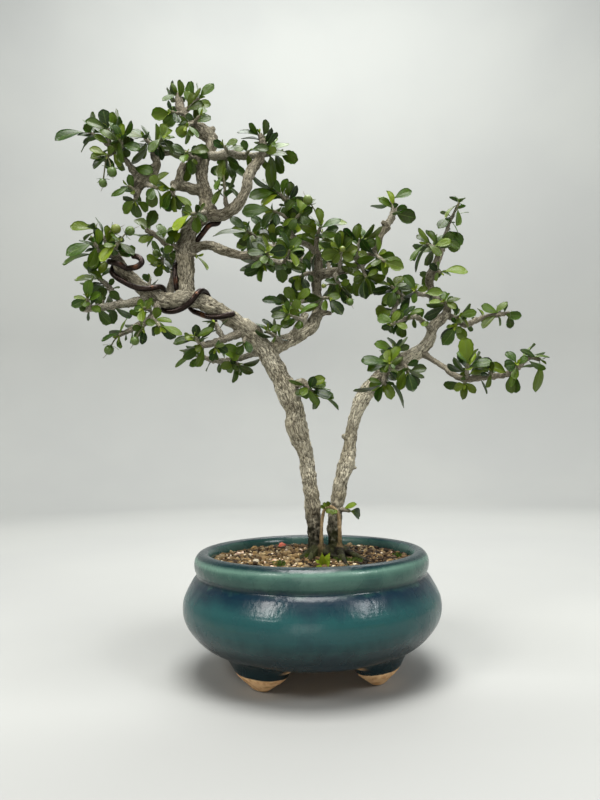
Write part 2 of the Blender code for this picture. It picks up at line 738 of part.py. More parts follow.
                ((201, 345, -15, 1.1), (197, 340, -18, 1.0), (195, 337, -19, 0.8)),
                ((196, 325, 9), (213, 329, 9), (174, 343, 7), (185, 333, 6)),
            ),
            Twig(((215, 342, -13, 1.1), (216, 348, -16, 0.9)), ((227, 352, 8), (212, 357, 9))),
            Twig(((224, 339, -12, 1.9), (219, 331, -13, 1.8), (215, 323, -14, 1.3))),
        ),
    ),
    Spray(
        "spray_underneath",
        Twig(
            ((259, 352, -3, 2.2), (250, 355, 0, 2.2), (238, 358.5, 3, 2.1), (225, 361, 5, 2.0),
             (212, 360, 6, 1.9), (203, 357, 6, 1.5), (193, 355, 6, 1.0)),
            ((176, 367, 7),),
        ),
        (
            Twig(
                ((228, 360, 5, 1.2), (234, 363, 0, 1.1), (239, 364, -2, 0.9)),
                ((260, 359, 6), (253, 372, 9), (221, 367, 8), (241, 375, 8)),
            ),
        ),
    ),
    Spray(
        "spray_underneath_small",
        Twig(((245, 337, -8, 1.1), (244, 344, -10, 0.9)), ((250, 352, 6),)),
    ),
)

# Training wires, as (sketch x, sketch y, side of the wood): -1 in front of it, 1 behind it, 0 over its
# edge. The depth comes from the wood, which the wire hugs. A loose end is in real depth.
LIMB_WIRE_END = ((133, 256, -19.5), (139, 257, -20.5), (142.5, 262, -21.0), (137, 267, -21.5))
LIMB_WIRE = (
    (127, 268, -1), (118, 263, -1), (111, 256.5, 0), (113, 252, 1), (120, 258, 1), (118, 264, 1),
    (114, 268, 0), (116, 276, -1), (124, 284, -1), (134, 289, -1), (148, 290, -1), (157, 288, -1),
    (162, 290, 0), (166, 294, 1), (164, 302, 1), (160, 307, 0), (166, 311, -1), (176, 313, -1),
    (186, 310, -1), (192, 302, -1), (196, 294, -1), (202, 293, 0), (209, 300, 1), (214, 309, 1),
    (217, 318, 0),
)
LEADER_WIRE = (
    (234, 313, -1), (223, 317, -1), (210, 318.5, -1), (199, 316.5, -1), (192, 309, 0),
    (190, 303, 1), (184, 296, 1), (179, 290, 0), (174, 283, -1), (170.5, 274, 0), (173, 266, 1),
    (182, 258, 1), (190, 250, 1), (196, 240, 0), (204, 235, -1), (213, 229, -1), (219, 222, 0),
    (221, 215, 1), (215, 208, 1),
)


def sketch_point(x, y, depth):
    """Return the point, in millimetres, that the sketch shows at (x, y), depth behind the pot's middle."""
    turn = Matrix.Rotation(math.radians(EYE_YAW), 3, "Z")
    pitch = math.radians(EYE_PITCH)
    roll = math.radians(EYE_ROLL)
    ahead = turn @ Vector((0.0, math.cos(pitch), -math.sin(pitch)))
    level = turn @ Vector((1.0, 0.0, 0.0))
    rise = turn @ Vector((0.0, math.sin(pitch), math.cos(pitch)))
    right = math.cos(roll) * level + math.sin(roll) * rise
    up = math.cos(roll) * rise - math.sin(roll) * level
    across = (x - SKETCH_CENTRE[0]) / SKETCH_FOCAL
    above = (SKETCH_CENTRE[1] - y) / SKETCH_FOCAL
    sight = ahead + across * right + above * up
    return eye_point() + sight * ((depth + EYE_DISTANCE) / sight.y)


def eye_point():
    """Return the eye point of the sketch, in millimetres."""
    return Vector((0.0, -EYE_DISTANCE, EYE_HEIGHT))


def sketch_way(way):
    """Turn a way of (x, y, depth, radius) into a list of (point, radius)."""
    return [(sketch_point(x, y, spread(y, depth)), radius) for x, y, depth, radius in way]


def spread(y, depth):
    """Return the depth of a point of the crown, which opens out above the bare trunks."""
    share = min(max((SPREAD_START - y) / (SPREAD_START - SPREAD_END), 0.0), 1.0)
    return depth * (1.0 + (SPREAD_FACTOR - 1.0) * share)


def smooth_way(stations, spacing):
    """Return more stations along a smooth curve through the given ones, about spacing apart."""
    fine = []
    last = len(stations) - 1
    for index in range(last):
        before, start = stations[max(index - 1, 0)], stations[index]
        end, after = stations[index + 1], stations[min(index + 2, last)]
        count = max(1, round((end[0] - start[0]).length / spacing))
        for step in range(count):
            t = step / count
            point = blend(before[0], start[0], end[0], after[0], t)
            radius = blend(before[1], start[1], end[1], after[1], t)
            fine.append((point, max(radius, min(start[1], end[1]))))
    fine.append(stations[last])
    return fine


def blend(before, start, end, after, t):
    """Catmull-Rom value between start and end."""
    return 0.5 * (
        2 * start
        + (end - before) * t
        + (2 * before - 5 * start + 4 * end - after) * t**2
        + (3 * start - 3 * end + after - before) * t**3
    )


def new_object(name, mesh):
    """Link a mesh to the scene as an object."""
    piece = bpy.data.objects.new(name, mesh)
    bpy.context.scene.collection.objects.link(piece)
    return piece


def tube(name, stations, sides):
    """Return a closed tube through (point, radius) stations, made from a bevelled curve."""
    curve = bpy.data.curves.new(name, "CURVE")
    curve.dimensions = "3D"
    curve.bevel_depth = MM
    curve.bevel_resolution = (sides - 4) // 2
    curve.use_fill_caps = True
    spline = curve.splines.new("POLY")
    spline.points.add(len(stations) - 1)
    for control, (point, radius) in zip(spline.points, stations):
        control.co = (*(point * MM), 1.0)
        control.radius = radius
    guide = new_object(name, curve)
    graph = bpy.context.evaluated_depsgraph_get()
    mesh = bpy.data.meshes.new_from_object(guide.evaluated_get(graph))
    bpy.data.objects.remove(guide)
    bpy.data.curves.remove(curve)
    shell = bmesh.new()
    shell.from_mesh(mesh)
    bmesh.ops.remove_doubles(shell, verts=shell.verts, dist=1e-6)
    bmesh.ops.recalc_face_normals(shell, faces=shell.faces)
    shell.to_mesh(mesh)
    shell.free()
    return new_object(name, mesh)


def turned(name, profile, steps):
    """Return a turned form: a profile of (radius, height), screwed round +Z."""
    mesh = bpy.data.meshes.new(name)
    points = [(radius * MM, 0.0, height * MM) for radius, height in profile]
    count = len(points)
    edges = [(index, (index + 1) % count) for index in range(count)]
    mesh.from_pydata(points, edges, [])
    piece = new_object(name, mesh)
    screw = piece.modifiers.new("turn", "SCREW")
    screw.steps = steps
    screw.render_steps = steps
    screw.use_merge_vertices = True
    screw.merge_threshold = 1e-5
    apply_modifiers(piece)
    return piece


def apply_modifiers(piece):
    """Replace an object's mesh with its evaluated one, without modifiers."""
    graph = bpy.context.evaluated_depsgraph_get()
    mesh = bpy.data.meshes.new_from_object(piece.evaluated_get(graph))
    piece.modifiers.clear()
    piece.data = mesh


def combine(piece, others, operation):
    """Join others to a piece, or cut them from it, with one Boolean on a collection."""
    group = bpy.data.collections.new("tools")
    for other in others:
        group.objects.link(other)
    join = piece.modifiers.new("join", "BOOLEAN")
    join.operation = operation
    join.solver = "EXACT"
    join.operand_type = "COLLECTION"
    join.collection = group
    apply_modifiers(piece)
    for other in others:
        bpy.data.objects.remove(other)
    bpy.data.collections.remove(group)
    keep_main_body(piece)
    return piece


def keep_main_body(piece):
    """Drop loose scraps and the skins of sealed hollows, and merge facets that lie in one plane."""
    shell = bmesh.new()
    shell.from_mesh(piece.data)
    islands = []
    unseen = set(shell.faces)
    while unseen:
        stack = [unseen.pop()]
        island = list(stack)
        while stack:
            for edge in stack.pop().edges:
                for face in edge.link_faces:
                    if face in unseen:
                        unseen.remove(face)
                        stack.append(face)
                        island.append(face)
        islands.append(island)
    islands.sort(key=len)
    scraps = [face for island in islands[:-1] for face in island]
    bmesh.ops.delete(shell, geom=scraps, context="FACES")
    for weld in WELDS:
        for flat in FLAT_ANGLES:
            trial = shell.copy()
            bmesh.ops.remove_doubles(trial, verts=trial.verts, dist=weld)
            bmesh.ops.dissolve_limit(
                trial, angle_limit=math.radians(flat), verts=trial.verts, edges=trial.edges
            )
            bmesh.ops.triangulate(trial, faces=trial.faces)
            bmesh.ops.remove_doubles(trial, verts=trial.verts, dist=WELDS[0])
            closed = all(edge.is_manifold for edge in trial.edges)
            trial.to_mesh(piece.data)
            trial.free()
            if closed:
                shell.free()
                return
    shell.free()


def finish(piece, finish_name, root, smooth=True):
    """Name a piece's material, shade it and place it under the root."""
    material = bpy.data.materials.get(finish_name) or new_material(finish_name)
    piece.data.materials.clear()
    piece.data.materials.append(material)
    if smooth:
        piece.data.shade_smooth()
        piece.data.set_sharp_from_angle(angle=math.radians(40))
    piece.parent = root
    return piece


def new_material(name):
    """Make a plain material from its finish."""
    colour, roughness, metallic = FINISHES[name]
    material = bpy.data.materials.new(name)
    material.use_nodes = True
    shader = material.node_tree.nodes["Principled BSDF"]
    shader.inputs["Base Color"].default_value = (*colour, 1.0)
    shader.inputs["Roughness"].default_value = roughness
    shader.inputs["Metallic"].default_value = metallic
    return material


class Blade:
    """One leaf: a thick blade from a narrow root to a blunt end, arched along its length."""

    def __init__(self, base, tip, normal, width):
        self.base = base
        self.tip = tip
        self.normal = normal
        self.width = width

    def shell(self, grow=0.0, start=0.0):
        """Return the blade's points and triangles, grown by a margin, from a share of its length on."""
        along = self.tip - self.base
        normal = (self.normal - along * along.dot(self.normal) / along.length_squared).normalized()
        side = normal.cross(along).normalized()
        thick = LEAF_THICKNESS / 2 + grow
        (wide, _), (_, blunt) = LEAF_OUTLINE
        root = (start, start / wide) if start else (0.0, 0.0)

        def place(share, across):
            arch = 4 * LEAF_ARCH * along.length * share * (1 - share)
            reach = side * across * (self.width / 2 + grow)
            return self.base + along * share + reach + normal * arch

        rim = [place(*root), place(wide, 1.0), place(1.0, blunt), place(1.0, -blunt), place(wide, -1.0)]
        shell = [point + normal * thick for point in rim] + [point - normal * thick for point in rim]
        faces = [(0, 4, 1), (1, 4, 3), (1, 3, 2), (5, 6, 9), (6, 8, 9), (6, 7, 8)]
        for index in range(5):
            following = (index + 1) % 5
            faces.append((index, following, following + 5))
            faces.append((index, following + 5, index + 5))
        return shell, faces


class Space:
    """What is already taken: the wood, the wires and every twig and leaf placed so far."""

    def __init__(self):
        self.taken = []

    def add(self, owner, shell, outer=None):
        """Take a closed shell of (points, faces); outer is what counts for leaves of the same owner."""
        own = BVHTree.FromPolygons(*(outer or shell))
        self.taken.append((owner, box_of(shell[0]), BVHTree.FromPolygons(*shell), own))

    def meets(self, shell):
        """Tell whether a closed shell touches anything that is taken."""
        box = box_of(shell[0])
        tree = BVHTree.FromPolygons(*shell)
        near = [other_tree for _, other_box, other_tree, _ in self.taken if boxes_meet(box, other_box)]
        return any(tree.overlap(other_tree) for other_tree in near)

    def clear(self, owner, blade):
        """Tell whether a blade of an owner touches nothing that is taken."""
        grown = blade.shell(CLEARANCE)
        box = box_of(grown[0])
        tree = BVHTree.FromPolygons(*grown)
        outer = BVHTree.FromPolygons(*blade.shell(0.1, LEAF_ROOT))
        for other, other_box, other_tree, own in self.taken:
            if not boxes_meet(box, other_box):
                continue
            if other != owner and tree.overlap(other_tree):
                return False
            if other == owner and outer.overlap(own):
                return False
        return True


def box_of(points):
    """Return the lowest and highest corner of some points."""
    low = [min(point[axis] for point in points) for axis in range(3)]
    high = [max(point[axis] for point in points) for axis in range(3)]
    return low, high


def boxes_meet(box, other):
    """Tell whether two boxes overlap."""
    return all(box[0][axis] <= other[1][axis] and other[0][axis] <= box[1][axis] for axis in range(3))


def mesh_shell(piece):
    """Return a mesh object's points, in millimetres, and its faces."""
    points = [vertex.co / MM for vertex in piece.data.vertices]
    return points, [tuple(polygon.vertices) for polygon in piece.data.polygons]


class Wood:
    """The woody tubes, as tapered segments between stations, for distances to their surface."""

    def __init__(self):
        self.segments = []
        self.packed = None

    def add(self, way):
        """Add a tube that follows (point, radius) stations and ends in flat discs."""
        last = len(way) - 2
        for index in range(last + 1):
            (start, start_radius), (end, end_radius) = way[index], way[index + 1]
            closing = (float(index == 0), float(index == last))
            self.segments.append((*start, *end, start_radius, end_radius, *closing))
        self.packed = np.array(self.segments)

    def arrays(self):
        """Return the segments' starts, ends, radii and whether either end is an end of the tube."""
        table = self.packed
        return table[:, 0:3], table[:, 3:6], table[:, 6:8], table[:, 8:10] > 0.5

    def nearest(self, point):
        """Return the distance out of the wood, negative inside it, with the surface point and normal."""
        place = np.array(point)
        starts, ends, radii, closing = self.arrays()
        span = ends - starts
        length = np.linalg.norm(span, axis=1)
        share = np.einsum("ij,ij->i", place - starts, span) / length**2
        held = np.clip(share, 0.0, 1.0)
        axis = starts + span * held[:, None]
        radius = radii[:, 0] + (radii[:, 1] - radii[:, 0]) * held
        distance = np.linalg.norm(place - axis, axis=1) - radius
        capped = ((share < 0) & closing[:, 0]) | ((share > 1) & closing[:, 1])
        beyond = np.abs(share - held) * length
        aside = np.linalg.norm(place - starts - span * share[:, None], axis=1)
        disc = np.hypot(beyond, np.maximum(aside - radius, 0.0))
        distance = np.where(capped, disc, distance)
        best = int(np.argmin(distance))
        away = Vector(place - axis[best])
        normal = away.normalized() if away.length > 1e-6 else Vector((0.0, 0.0, 1.0))
        return float(distance[best]), point - normal * float(distance[best]), normal


def cuff(centre, direction, radius):
    """Return a short closed drum along a direction, as points and faces."""
    across = direction.orthogonal().normalized()
    other = direction.cross(across)
    turns = [math.tau * step / 12 for step in range(12)]
    rim = [radius * (math.cos(turn) * across + math.sin(turn) * other) for turn in turns]
    low = [centre - direction * CLEARANCE + point for point in rim]
    high = [centre + direction * SEAT_LENGTH + point for point in rim]
    walls = [(i, (i + 1) % 12, (i + 1) % 12 + 12, i + 12) for i in range(12)]
    return low + high, [*walls, tuple(range(12)), tuple(range(12, 24))]


def seat_way(stations, wood, space):
    """Start a twig just off the wood: move its first station out until the tree is clear of it."""
    start, radius = stations[0]
    distance, place, normal = wood.nearest(start)
    if distance > 0:
        stations = [(place - normal * 0.5, radius), *stations[distance < 3:]]
        start = stations[0][0]
    direction = (stations[1][0] - start).normalized()
    travel = 0.0
    while travel < SEAT_REACH:
        centre = start + direction * travel
        drum = cuff(centre, direction, radius + CLEARANCE)
        if wood.nearest(centre)[0] > 0 and not space.meets(drum):
            break
        travel += SEAT_STEP
    kept = [(p, r) for p, r in stations[1:] if (p - start).dot(direction) > travel + 1.0]
    kept = kept or [(centre + direction * 4.0, stations[-1][1])]
    return [(centre, radius), *kept]


def snap_way(stations, stem):
    """Start a spur on the axis of the stem that it grows from, clear of the stem's ends."""
    start, radius = stations[0]
    inner = [point for point, _ in smooth_way(stem, 0.5)]
    inner = [point for point in inner if (point - stem[0][0]).length > radius + 1.0]
    inner = [point for point in inner if (point - stem[-1][0]).length > 0.8]
    root = min(inner or [stem[1][0]], key=lambda point: (point - start).length)
    return [(root, radius), *stations[1:]]


def seen_blade(owner, leaf, way, bases, space, rng):
    """Place a leaf whose tip and seen width the sketch gives, with its root on the twig's way."""
    tip_x, tip_y, seen_width = leaf
    end = way[-1][0]

    def cost(station):
        reach = (sketch_point(tip_x, tip_y, station.y) - station).length
        crowding = sum(max(0.0, LEAF_SPREAD - (station - base).length) for base in bases)
        return abs(reach - LEAF_LENGTH) + 0.3 * (station - end).length + 3 * crowding

    base = min((point for point, _ in way[1:-1]), key=cost)
    flat_tip = sketch_point(tip_x, tip_y, base.y)
    reach = (flat_tip - base).length
    least = math.sqrt(max(LEAF_SHORTEST**2 - reach**2, (0.25 * reach) ** 2))
    for lean in LEAF_LEANS:
        tip = sketch_point(tip_x, tip_y, base.y + lean * least)
        length = (tip - base).length
        shown = seen_width * (EYE_DISTANCE + base.y) / SKETCH_FOCAL
        width = min(
            max(shown, LEAF_SLIMMEST_SHARE * length), LEAF_BROADEST_SHARE * length, LEAF_WIDEST
        )
        roll = math.acos(min(1.0, shown / width))
        along = (tip - base).normalized()
        sight = (eye_point() - base).normalized()
        facing = sight - along * sight.dot(along)
        if facing.length < 0.2:
            facing = Vector((0.0, 0.0, 1.0)) - along * along.z
        normals = [Matrix.Rotation(turn, 3, along) @ facing for turn in (roll, -roll)]
        normals.sort(key=lambda normal: normal.z, reverse=rng.random() < 0.8)
        for normal in normals:
            blade = Blade(base, tip, normal, width)
            if space.clear(owner, blade):
                bases.append(base)
                return blade
    return None


def back_blade(owner, share, turn, way, space, rng):
    """Place one more leaf at the back or the side of a twig, turned round it."""
    index = min(int(share * (len(way) - 1)) + 1, len(way) - 2)
    base = way[index][0]
    along_twig = (way[index][0] - way[index - 1][0]).normalized()
    across = along_twig.orthogonal().normalized()
    for attempt in range(BACK_LEAF_TRIES):
        angle = turn + attempt * BACK_LEAF_TURN
        radial = Matrix.Rotation(angle, 3, along_twig) @ across
        direction = (radial + along_twig * rng.uniform(0.2, 0.9)).normalized()
        direction.y = abs(direction.y) * 0.9 + 0.25
        direction.normalize()
        length = rng.uniform(9.5, 14.0)
        normal = along_twig + Vector((0, 0, 0.7)) + Vector([rng.uniform(-0.5, 0.5) for _ in range(3)])
        blade = Blade(base, base + direction * length, normal, length * rng.uniform(0.5, 0.62))
        if normal.cross(direction).length > 0.3 and space.clear(owner, blade):
            return blade
    return None


def grow_spray(spray, wood, space):
    """Seat the woody ways of a spray on the wood; return [(twig, way)]."""
    stem = seat_way(smooth_way(sketch_way(spray.stem.way), TWIG_SPACING), wood, space)
    ways = [(spray.stem, stem)]
    for twig in spray.spurs:
        spur = snap_way(sketch_way(twig.way), stem)
        ways.append((twig, smooth_way(spur, TWIG_SPACING)))
    return ways


def twig_sides(way):
    """Return the number of sides of a twig's tube."""
    return 6 if way[0][1] > THICK_TWIG else 4


def leaf_spray(spray, ways, space):
    """Return the blades of a spray: first those that the sketch shows, then those at the back."""
    rng = random.Random(f"{SEED} {spray.name}")
    blades = []
    bases = []
    for twig, way in ways:
        fine = smooth_way(way, LEAF_STEP)
        for leaf in twig.leaves:
            blades.append(seen_blade(spray.name, leaf, fine, bases, space, rng))
            take_blade(spray.name, blades[-1], space)
    return blades


def back_leaf_spray(spray, ways, space):
    """Return the blades at the back of a spray."""
    rng = random.Random(f"{SEED} {spray.name} back")
    blades = []
    for twig, way in ways:
        fine = smooth_way(way, LEAF_STEP)
        turn = rng.uniform(0, math.tau)
        for number in range(twig.back):
            share = 0.35 + 0.65 * (number + 0.5) / twig.back
            blades.append(back_blade(spray.name, share, turn + GOLDEN_TURN * number, fine, space, rng))
            take_blade(spray.name, blades[-1], space)
    return blades


def take_blade(owner, blade, space):
    """Take the space of a blade, if there is one."""
    if blade:
        space.add(owner, blade.shell(), blade.shell(0.0, LEAF_ROOT))


def blade_object(name, blade):
    """Return a blade as a mesh object."""
    points, faces = blade.shell()
    mesh = bpy.data.meshes.new(name)
    mesh.from_pydata([point * MM for point in points], [], faces)
    return new_object(name, mesh)


def berry_objects(name, berry, ways):
    """Return a berry and its stalk, which starts on the nearest twig."""
    x, y, depth, radius = berry
    centre = sketch_point(x, y, spread(y, depth))
    mesh = bpy.data.meshes.new(name)
    ball = bmesh.new()
    bmesh.ops.create_icosphere(ball, subdivisions=1, radius=radius * MM)
    bmesh.ops.translate(ball, verts=ball.verts, vec=centre * MM)
    ball.to_mesh(mesh)
    ball.free()
    points = [point for _, way in ways for point, _ in smooth_way(way, 1.5)]
    root = min(points, key=lambda point: (point - centre).length)
    middle = root.lerp(centre, 0.5) + Vector((0.0, 0.0, 0.12 * (centre - root).length))
    stalk = tube(name, [(root, 0.5), (middle, 0.45), (centre, 0.5)], 4)
    return [new_object(name, mesh), stalk]


def build_spray(spray, ways, blades, root):
    """Fuse a spray's twigs, leaves and berries into one body."""
    stem = tube(spray.name, ways[0][1], twig_sides(ways[0][1]))
    others = [tube("spur", way, twig_sides(way)) for _, way in ways[1:]]
    others += [blade_object("leaf", blade) for blade in blades if blade]
    for berry in spray.berries:
        others += berry_objects("berry", berry, ways)
    combine(stem, others, "UNION")
    return finish(stem, "leaf", root)


def tree_ways():
    """Return the ways of the tree's own body with the sides of each tube."""
    ways = [
        (LEFT_TRUNK, 9.5, 8), (LEADER, 9.5, 8), (RIGHT_TRUNK, 9.5, 8), (RIGHT_LIMB, 9.5, 8),
        (RIGHT_FORK, 9.0, 8), (TOP_LEFT_ARM, 8.0, 8), (RIGHT_ARM, 9.0, 6), (MIDDLE_ARM, 9.0, 6),
        (LEADER_STUB, 7.0, 6), (LEADER_STUB_RISER, 7.0, 6), (PALE_STUB, 8.0, 6),
        (KNOTTY_STUB, 8.0, 6), (AIR_ROOT, 5.0, 6),
    ]
    ways += [(stub, 8.0, 6) for stub in SHORT_STUBS]
    fine = [(smooth_way(sketch_way(way), spacing), sides) for way, spacing, sides in ways]
    for way in (ROOT_STOCK, *SURFACE_ROOTS):
        stations = [(Vector(station[:3]), station[3]) for station in way]
        fine.append((smooth_way(stations, 8.0), 8 if way is ROOT_STOCK else 6))
    return fine


def build_tree(ways, root):
    """Join the trunks, limbs and roots into one body."""
    tubes = [tube("tree", way, sides) for way, sides in ways]
    combine(tubes[0], tubes[1:], "UNION")
    return finish(tubes[0], "bark", root)


def hug(route, wood, radius):
    """Return wire stations that follow a route round the wood at a touching distance."""
    rough = []
    for x, y, side in route:
        depth = wood_depth(x, y, side, wood)
        rough.append((sketch_point(x, y, depth), radius))
    way = smooth_way(rough, WIRE_SPACING)
    for _ in range(3):
        way = [(press(point, wood, radius), radius) for point, radius in way]
        way = [way[0], *[(soften(way, index), radius) for index in range(1, len(way) - 1)], way[-1]]
    return [(press(point, wood, radius), radius) for point, radius in way]


def wood_depth(x, y, side, wood):
    """Return the depth of a wire point on a side of the wood that the sketch shows at (x, y)."""
    best = min(range(-60, 60), key=lambda depth: wood.nearest(sketch_point(x, y, depth))[0])
    depth = best
    while side and wood.nearest(sketch_point(x, y, depth))[0] < WIRE_RADIUS + WIRE_GAP:
        depth += 0.5 * side
    return depth


def press(point, wood, radius):
    """Move a point to the distance from the wood at which a wire of this radius lies on it."""
    _, place, normal = wood.nearest(point)
    return place + normal * (radius + WIRE_GAP)


def soften(way, index):
    """Return a station's place, evened with its neighbours."""
    return way[index - 1][0] * 0.25 + way[index][0] * 0.5 + way[index + 1][0] * 0.25


def clear_way(way, wood):
    """Push stations out of the wood where they are too near."""
    cleared = []
    for point, radius in way:
        distance, place, normal = wood.nearest(point)
        if distance < radius + WIRE_GAP:
            point = place + normal * (radius + WIRE_GAP)
        cleared.append((point, radius))
    return cleared


def wire_ways(wood, twigs):
    """Return the ways of the two wires: round the left limb, and from it up the leader."""
    limb = hug(LIMB_WIRE, wood, WIRE_RADIUS)
    hook = sketch_way([(*point, WIRE_RADIUS) for point in LIMB_WIRE_END])
    limb = smooth_way([*hook, limb[0]], WIRE_SPACING)[:-1] + limb
    leader = hug(LEADER_WIRE, wood, WIRE_RADIUS)
    for _ in range(4):
        limb, leader = [clear_way(clear_way(way, twigs), wood) for way in (limb, leader)]
    return limb, leader


def build_pot(root):
    """Turn the pot with its drain hole and join its four feet."""
    outside = [*POT_OUTSIDE, (DRAIN_RADIUS, POT_OUTSIDE[-1][1]), (DRAIN_RADIUS, POT_FLOOR)]
    pot = turned("pot", [*outside, *POT_INSIDE], ROUND_STEPS)
    feet = []
    for number in range(4):
        angle = math.radians(FOOT_FIRST_ANGLE + 90 * number)
        top = (0.0, FOOT_PROFILE[-1][1])
        foot = turned("foot", [top, *reversed(FOOT_PROFILE), (0.0, 0.0)], FOOT_STEPS)
        squash = Matrix.Diagonal((1.0, FOOT_SQUASH, 1.0, 1.0))
        place = Matrix.Translation(Vector((0.0, -FOOT_RING * MM, 0.0)))
        foot.data.transform(Matrix.Rotation(angle, 4, "Z") @ place @ squash)
        feet.append(foot)
    combine(pot, feet, "UNION")
    return finish(pot, "glaze", root)


def soil_height(radius, angle):
    """Return the height of the soil's surface: a low mound with coarse grains."""
    x, y = radius * math.cos(angle), radius * math.sin(angle)
    grain = sum(noise.noise(Vector((x, y, step)) * step) for step in SOIL_GRAIN_SCALES)
    return SOIL_LEVEL + SOIL_MOUND * (1 - (radius / SOIL_EDGE) ** 2) + SOIL_GRAIN * grain


def inset(profile, gap):
    """Return a profile moved to its left side by a gap, point by point."""
    moved = []
    for index, (radius, height) in enumerate(profile):
        before = profile[max(index - 1, 0)]
        after = profile[min(index + 1, len(profile) - 1)]
        run, rise = after[0] - before[0], after[1] - before[1]
        span = math.hypot(run, rise)
        moved.append((radius - gap * rise / span, height + gap * run / span))
    return moved


def build_soil(root, tree_body_ways):
    """Fill the pot with soil that stops short of its wall, with a plain hole for the roots."""
    gap = CLEARANCE + 0.1
    side = [point for point in inset(POT_INSIDE, gap) if point[1] < SOIL_LEVEL - 1.5]
    rings = [(SOIL_EDGE * step / SOIL_RINGS, SOIL_LEVEL) for step in range(SOIL_RINGS + 1)]
    bottom = POT_FLOOR + CLEARANCE
    ledge = bottom + SCREEN_THICKNESS + CLEARANCE
    side[0] = (side[0][0] - 2.0, bottom)
    recess = [(SCREEN_RECESS, bottom), (SCREEN_RECESS, ledge), (0.0, ledge)]
    soil = turned("soil", [*rings, *reversed(side), *recess], ROUND_STEPS)
    for vertex in soil.data.vertices:
        place = vertex.co / MM
        if place.z > SOIL_LEVEL - 0.01:
            radius = math.hypot(place.x, place.y)
            vertex.co.z = soil_height(radius, math.atan2(place.y, place.x)) * MM
    roots = []
    for way, sides in tree_body_ways:
        if min(point.z for point, _ in way) < SOIL_LEVEL + SOIL_ROOT_REACH:
            low = [(p, r + gap) for p, r in way if p.z < SOIL_LEVEL + SOIL_CUT_REACH]
            start, end = low[0][0], low[-1][0]
            reach = (start - low[1][0]).normalized() * gap
            tail = (end - low[-2][0]).normalized() * gap
            low = [(start + reach, low[0][1]), *low[1:-1], (end + tail, low[-1][1])]
            roots.append(tube("root", low, sides))
    combine(roots[0], roots[1:], "UNION")
    combine(soil, roots[:1], "DIFFERENCE")
    return finish(soil, "soil", root)


def build_screen(root):
    """Lay the plastic screen over the drain hole: a lattice with square openings."""
    mesh = bpy.data.meshes.new("drain_screen")
    lattice = bmesh.new()
    bmesh.ops.create_grid(
        lattice, x_segments=SCREEN_CELLS, y_segments=SCREEN_CELLS, size=SCREEN_SIZE / 2 * MM
    )
    pitch = SCREEN_SIZE / SCREEN_CELLS * MM
    openings = []
    for face in lattice.faces:
        centre = face.calc_center_median()
        column = round((centre.x + SCREEN_SIZE / 2 * MM) / pitch - 0.5)
        row = round((centre.y + SCREEN_SIZE / 2 * MM) / pitch - 0.5)
        if column % 2 and row % 2:
            openings.append(face)
    bmesh.ops.delete(lattice, geom=openings, context="FACES")
    lattice.to_mesh(mesh)
    lattice.free()
    screen = new_object("drain_screen", mesh)
    thicken = screen.modifiers.new("thickness", "SOLIDIFY")
    thicken.thickness = SCREEN_THICKNESS * MM
    thicken.offset = 1.0
    apply_modifiers(screen)
    height = POT_FLOOR + CLEARANCE
    screen.data.transform(Matrix.Translation(Vector((0, 0, height * MM))))
    return finish(screen, "screen", root, smooth=False)


def centre_footprint(root, pieces):
    """Move the root so that the middle of the pieces' footprint is at the origin."""
    corners = [vertex.co for piece in pieces for vertex in piece.data.vertices]
    low, high = box_of(corners)
    root.location = (-(low[0] + high[0]) / 2, -(low[1] + high[1]) / 2, 0.0)


def main():
    """Build the bonsai."""
    for item in list(bpy.data.objects):
        bpy.data.objects.remove(item)
    root = bpy.data.objects.new("bonsai", None)
    bpy.context.scene.collection.objects.link(root)
    group = bpy.data.collections.new("fukien_tea_bonsai")
    bpy.context.scene.collection.children.link(group)

    body_ways = tree_ways()
    wood = Wood()
    for way, _ in body_ways:
        wood.add(way)
    space = Space()
    for way, sides in body_ways:
        take_tube("tree", way, sides, space)
    grown = [(spray, grow_spray(spray, wood, space)) for spray in SPRAYS]
    twigs = Wood()
    for spray, ways in grown:
        for _, way in ways:
            take_tube(spray.name, way, twig_sides(way), space)
            twigs.add(way)
        if spray.name == "spray_limb_tip":
            wood.add(ways[0][1])
    wires = wire_ways(wood, twigs)
    for number, way in enumerate(wires):
        take_tube(f"wire {number}", way, 6, space)
    blades = {spray.name: leaf_spray(spray, ways, space) for spray, ways in grown}
    for spray, ways in grown:
        blades[spray.name] += back_leaf_spray(spray, ways, space)

    pieces = [
        build_pot(root),
        build_soil(root, body_ways),
        build_screen(root),
        build_tree(body_ways, root),
    ]
    for name, way in zip(("limb_wire", "leader_wire"), wires):
        pieces.append(finish(tube(name, way, 6), "wire", root))
    for spray, ways in grown:
        pieces.append(build_spray(spray, ways, blades[spray.name], root))
    centre_footprint(root, pieces)
    for piece in pieces:
        bpy.context.scene.collection.objects.unlink(piece)
        group.objects.link(piece)
    bpy.context.view_layer.update()


def take_tube(owner, way, sides, space):
    """Take the space of a tube."""
    guide = tube("guide", way, sides)
    space.add(owner, mesh_shell(guide))
    bpy.data.objects.remove(guide)


if __name__ == "__main__":
    main()
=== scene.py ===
"""Looks of a potted fukien tea bonsai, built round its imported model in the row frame.

Wood, leaves and berries are set out on a front-view sketch of 600 x 800 pixels, with a real depth
behind the middle of the pot for every point. Lengths are millimetres in the pot's own frame until a
mesh is made, which is in metres in the row frame.
"""

import json
import logging
import math
import random
from dataclasses import dataclass, field
from enum import Enum
from typing import Optional, Sequence

import bmesh
import bpy
import numpy as np
from mathutils import Matrix, Vector, noise
from mathutils.bvhtree import BVHTree

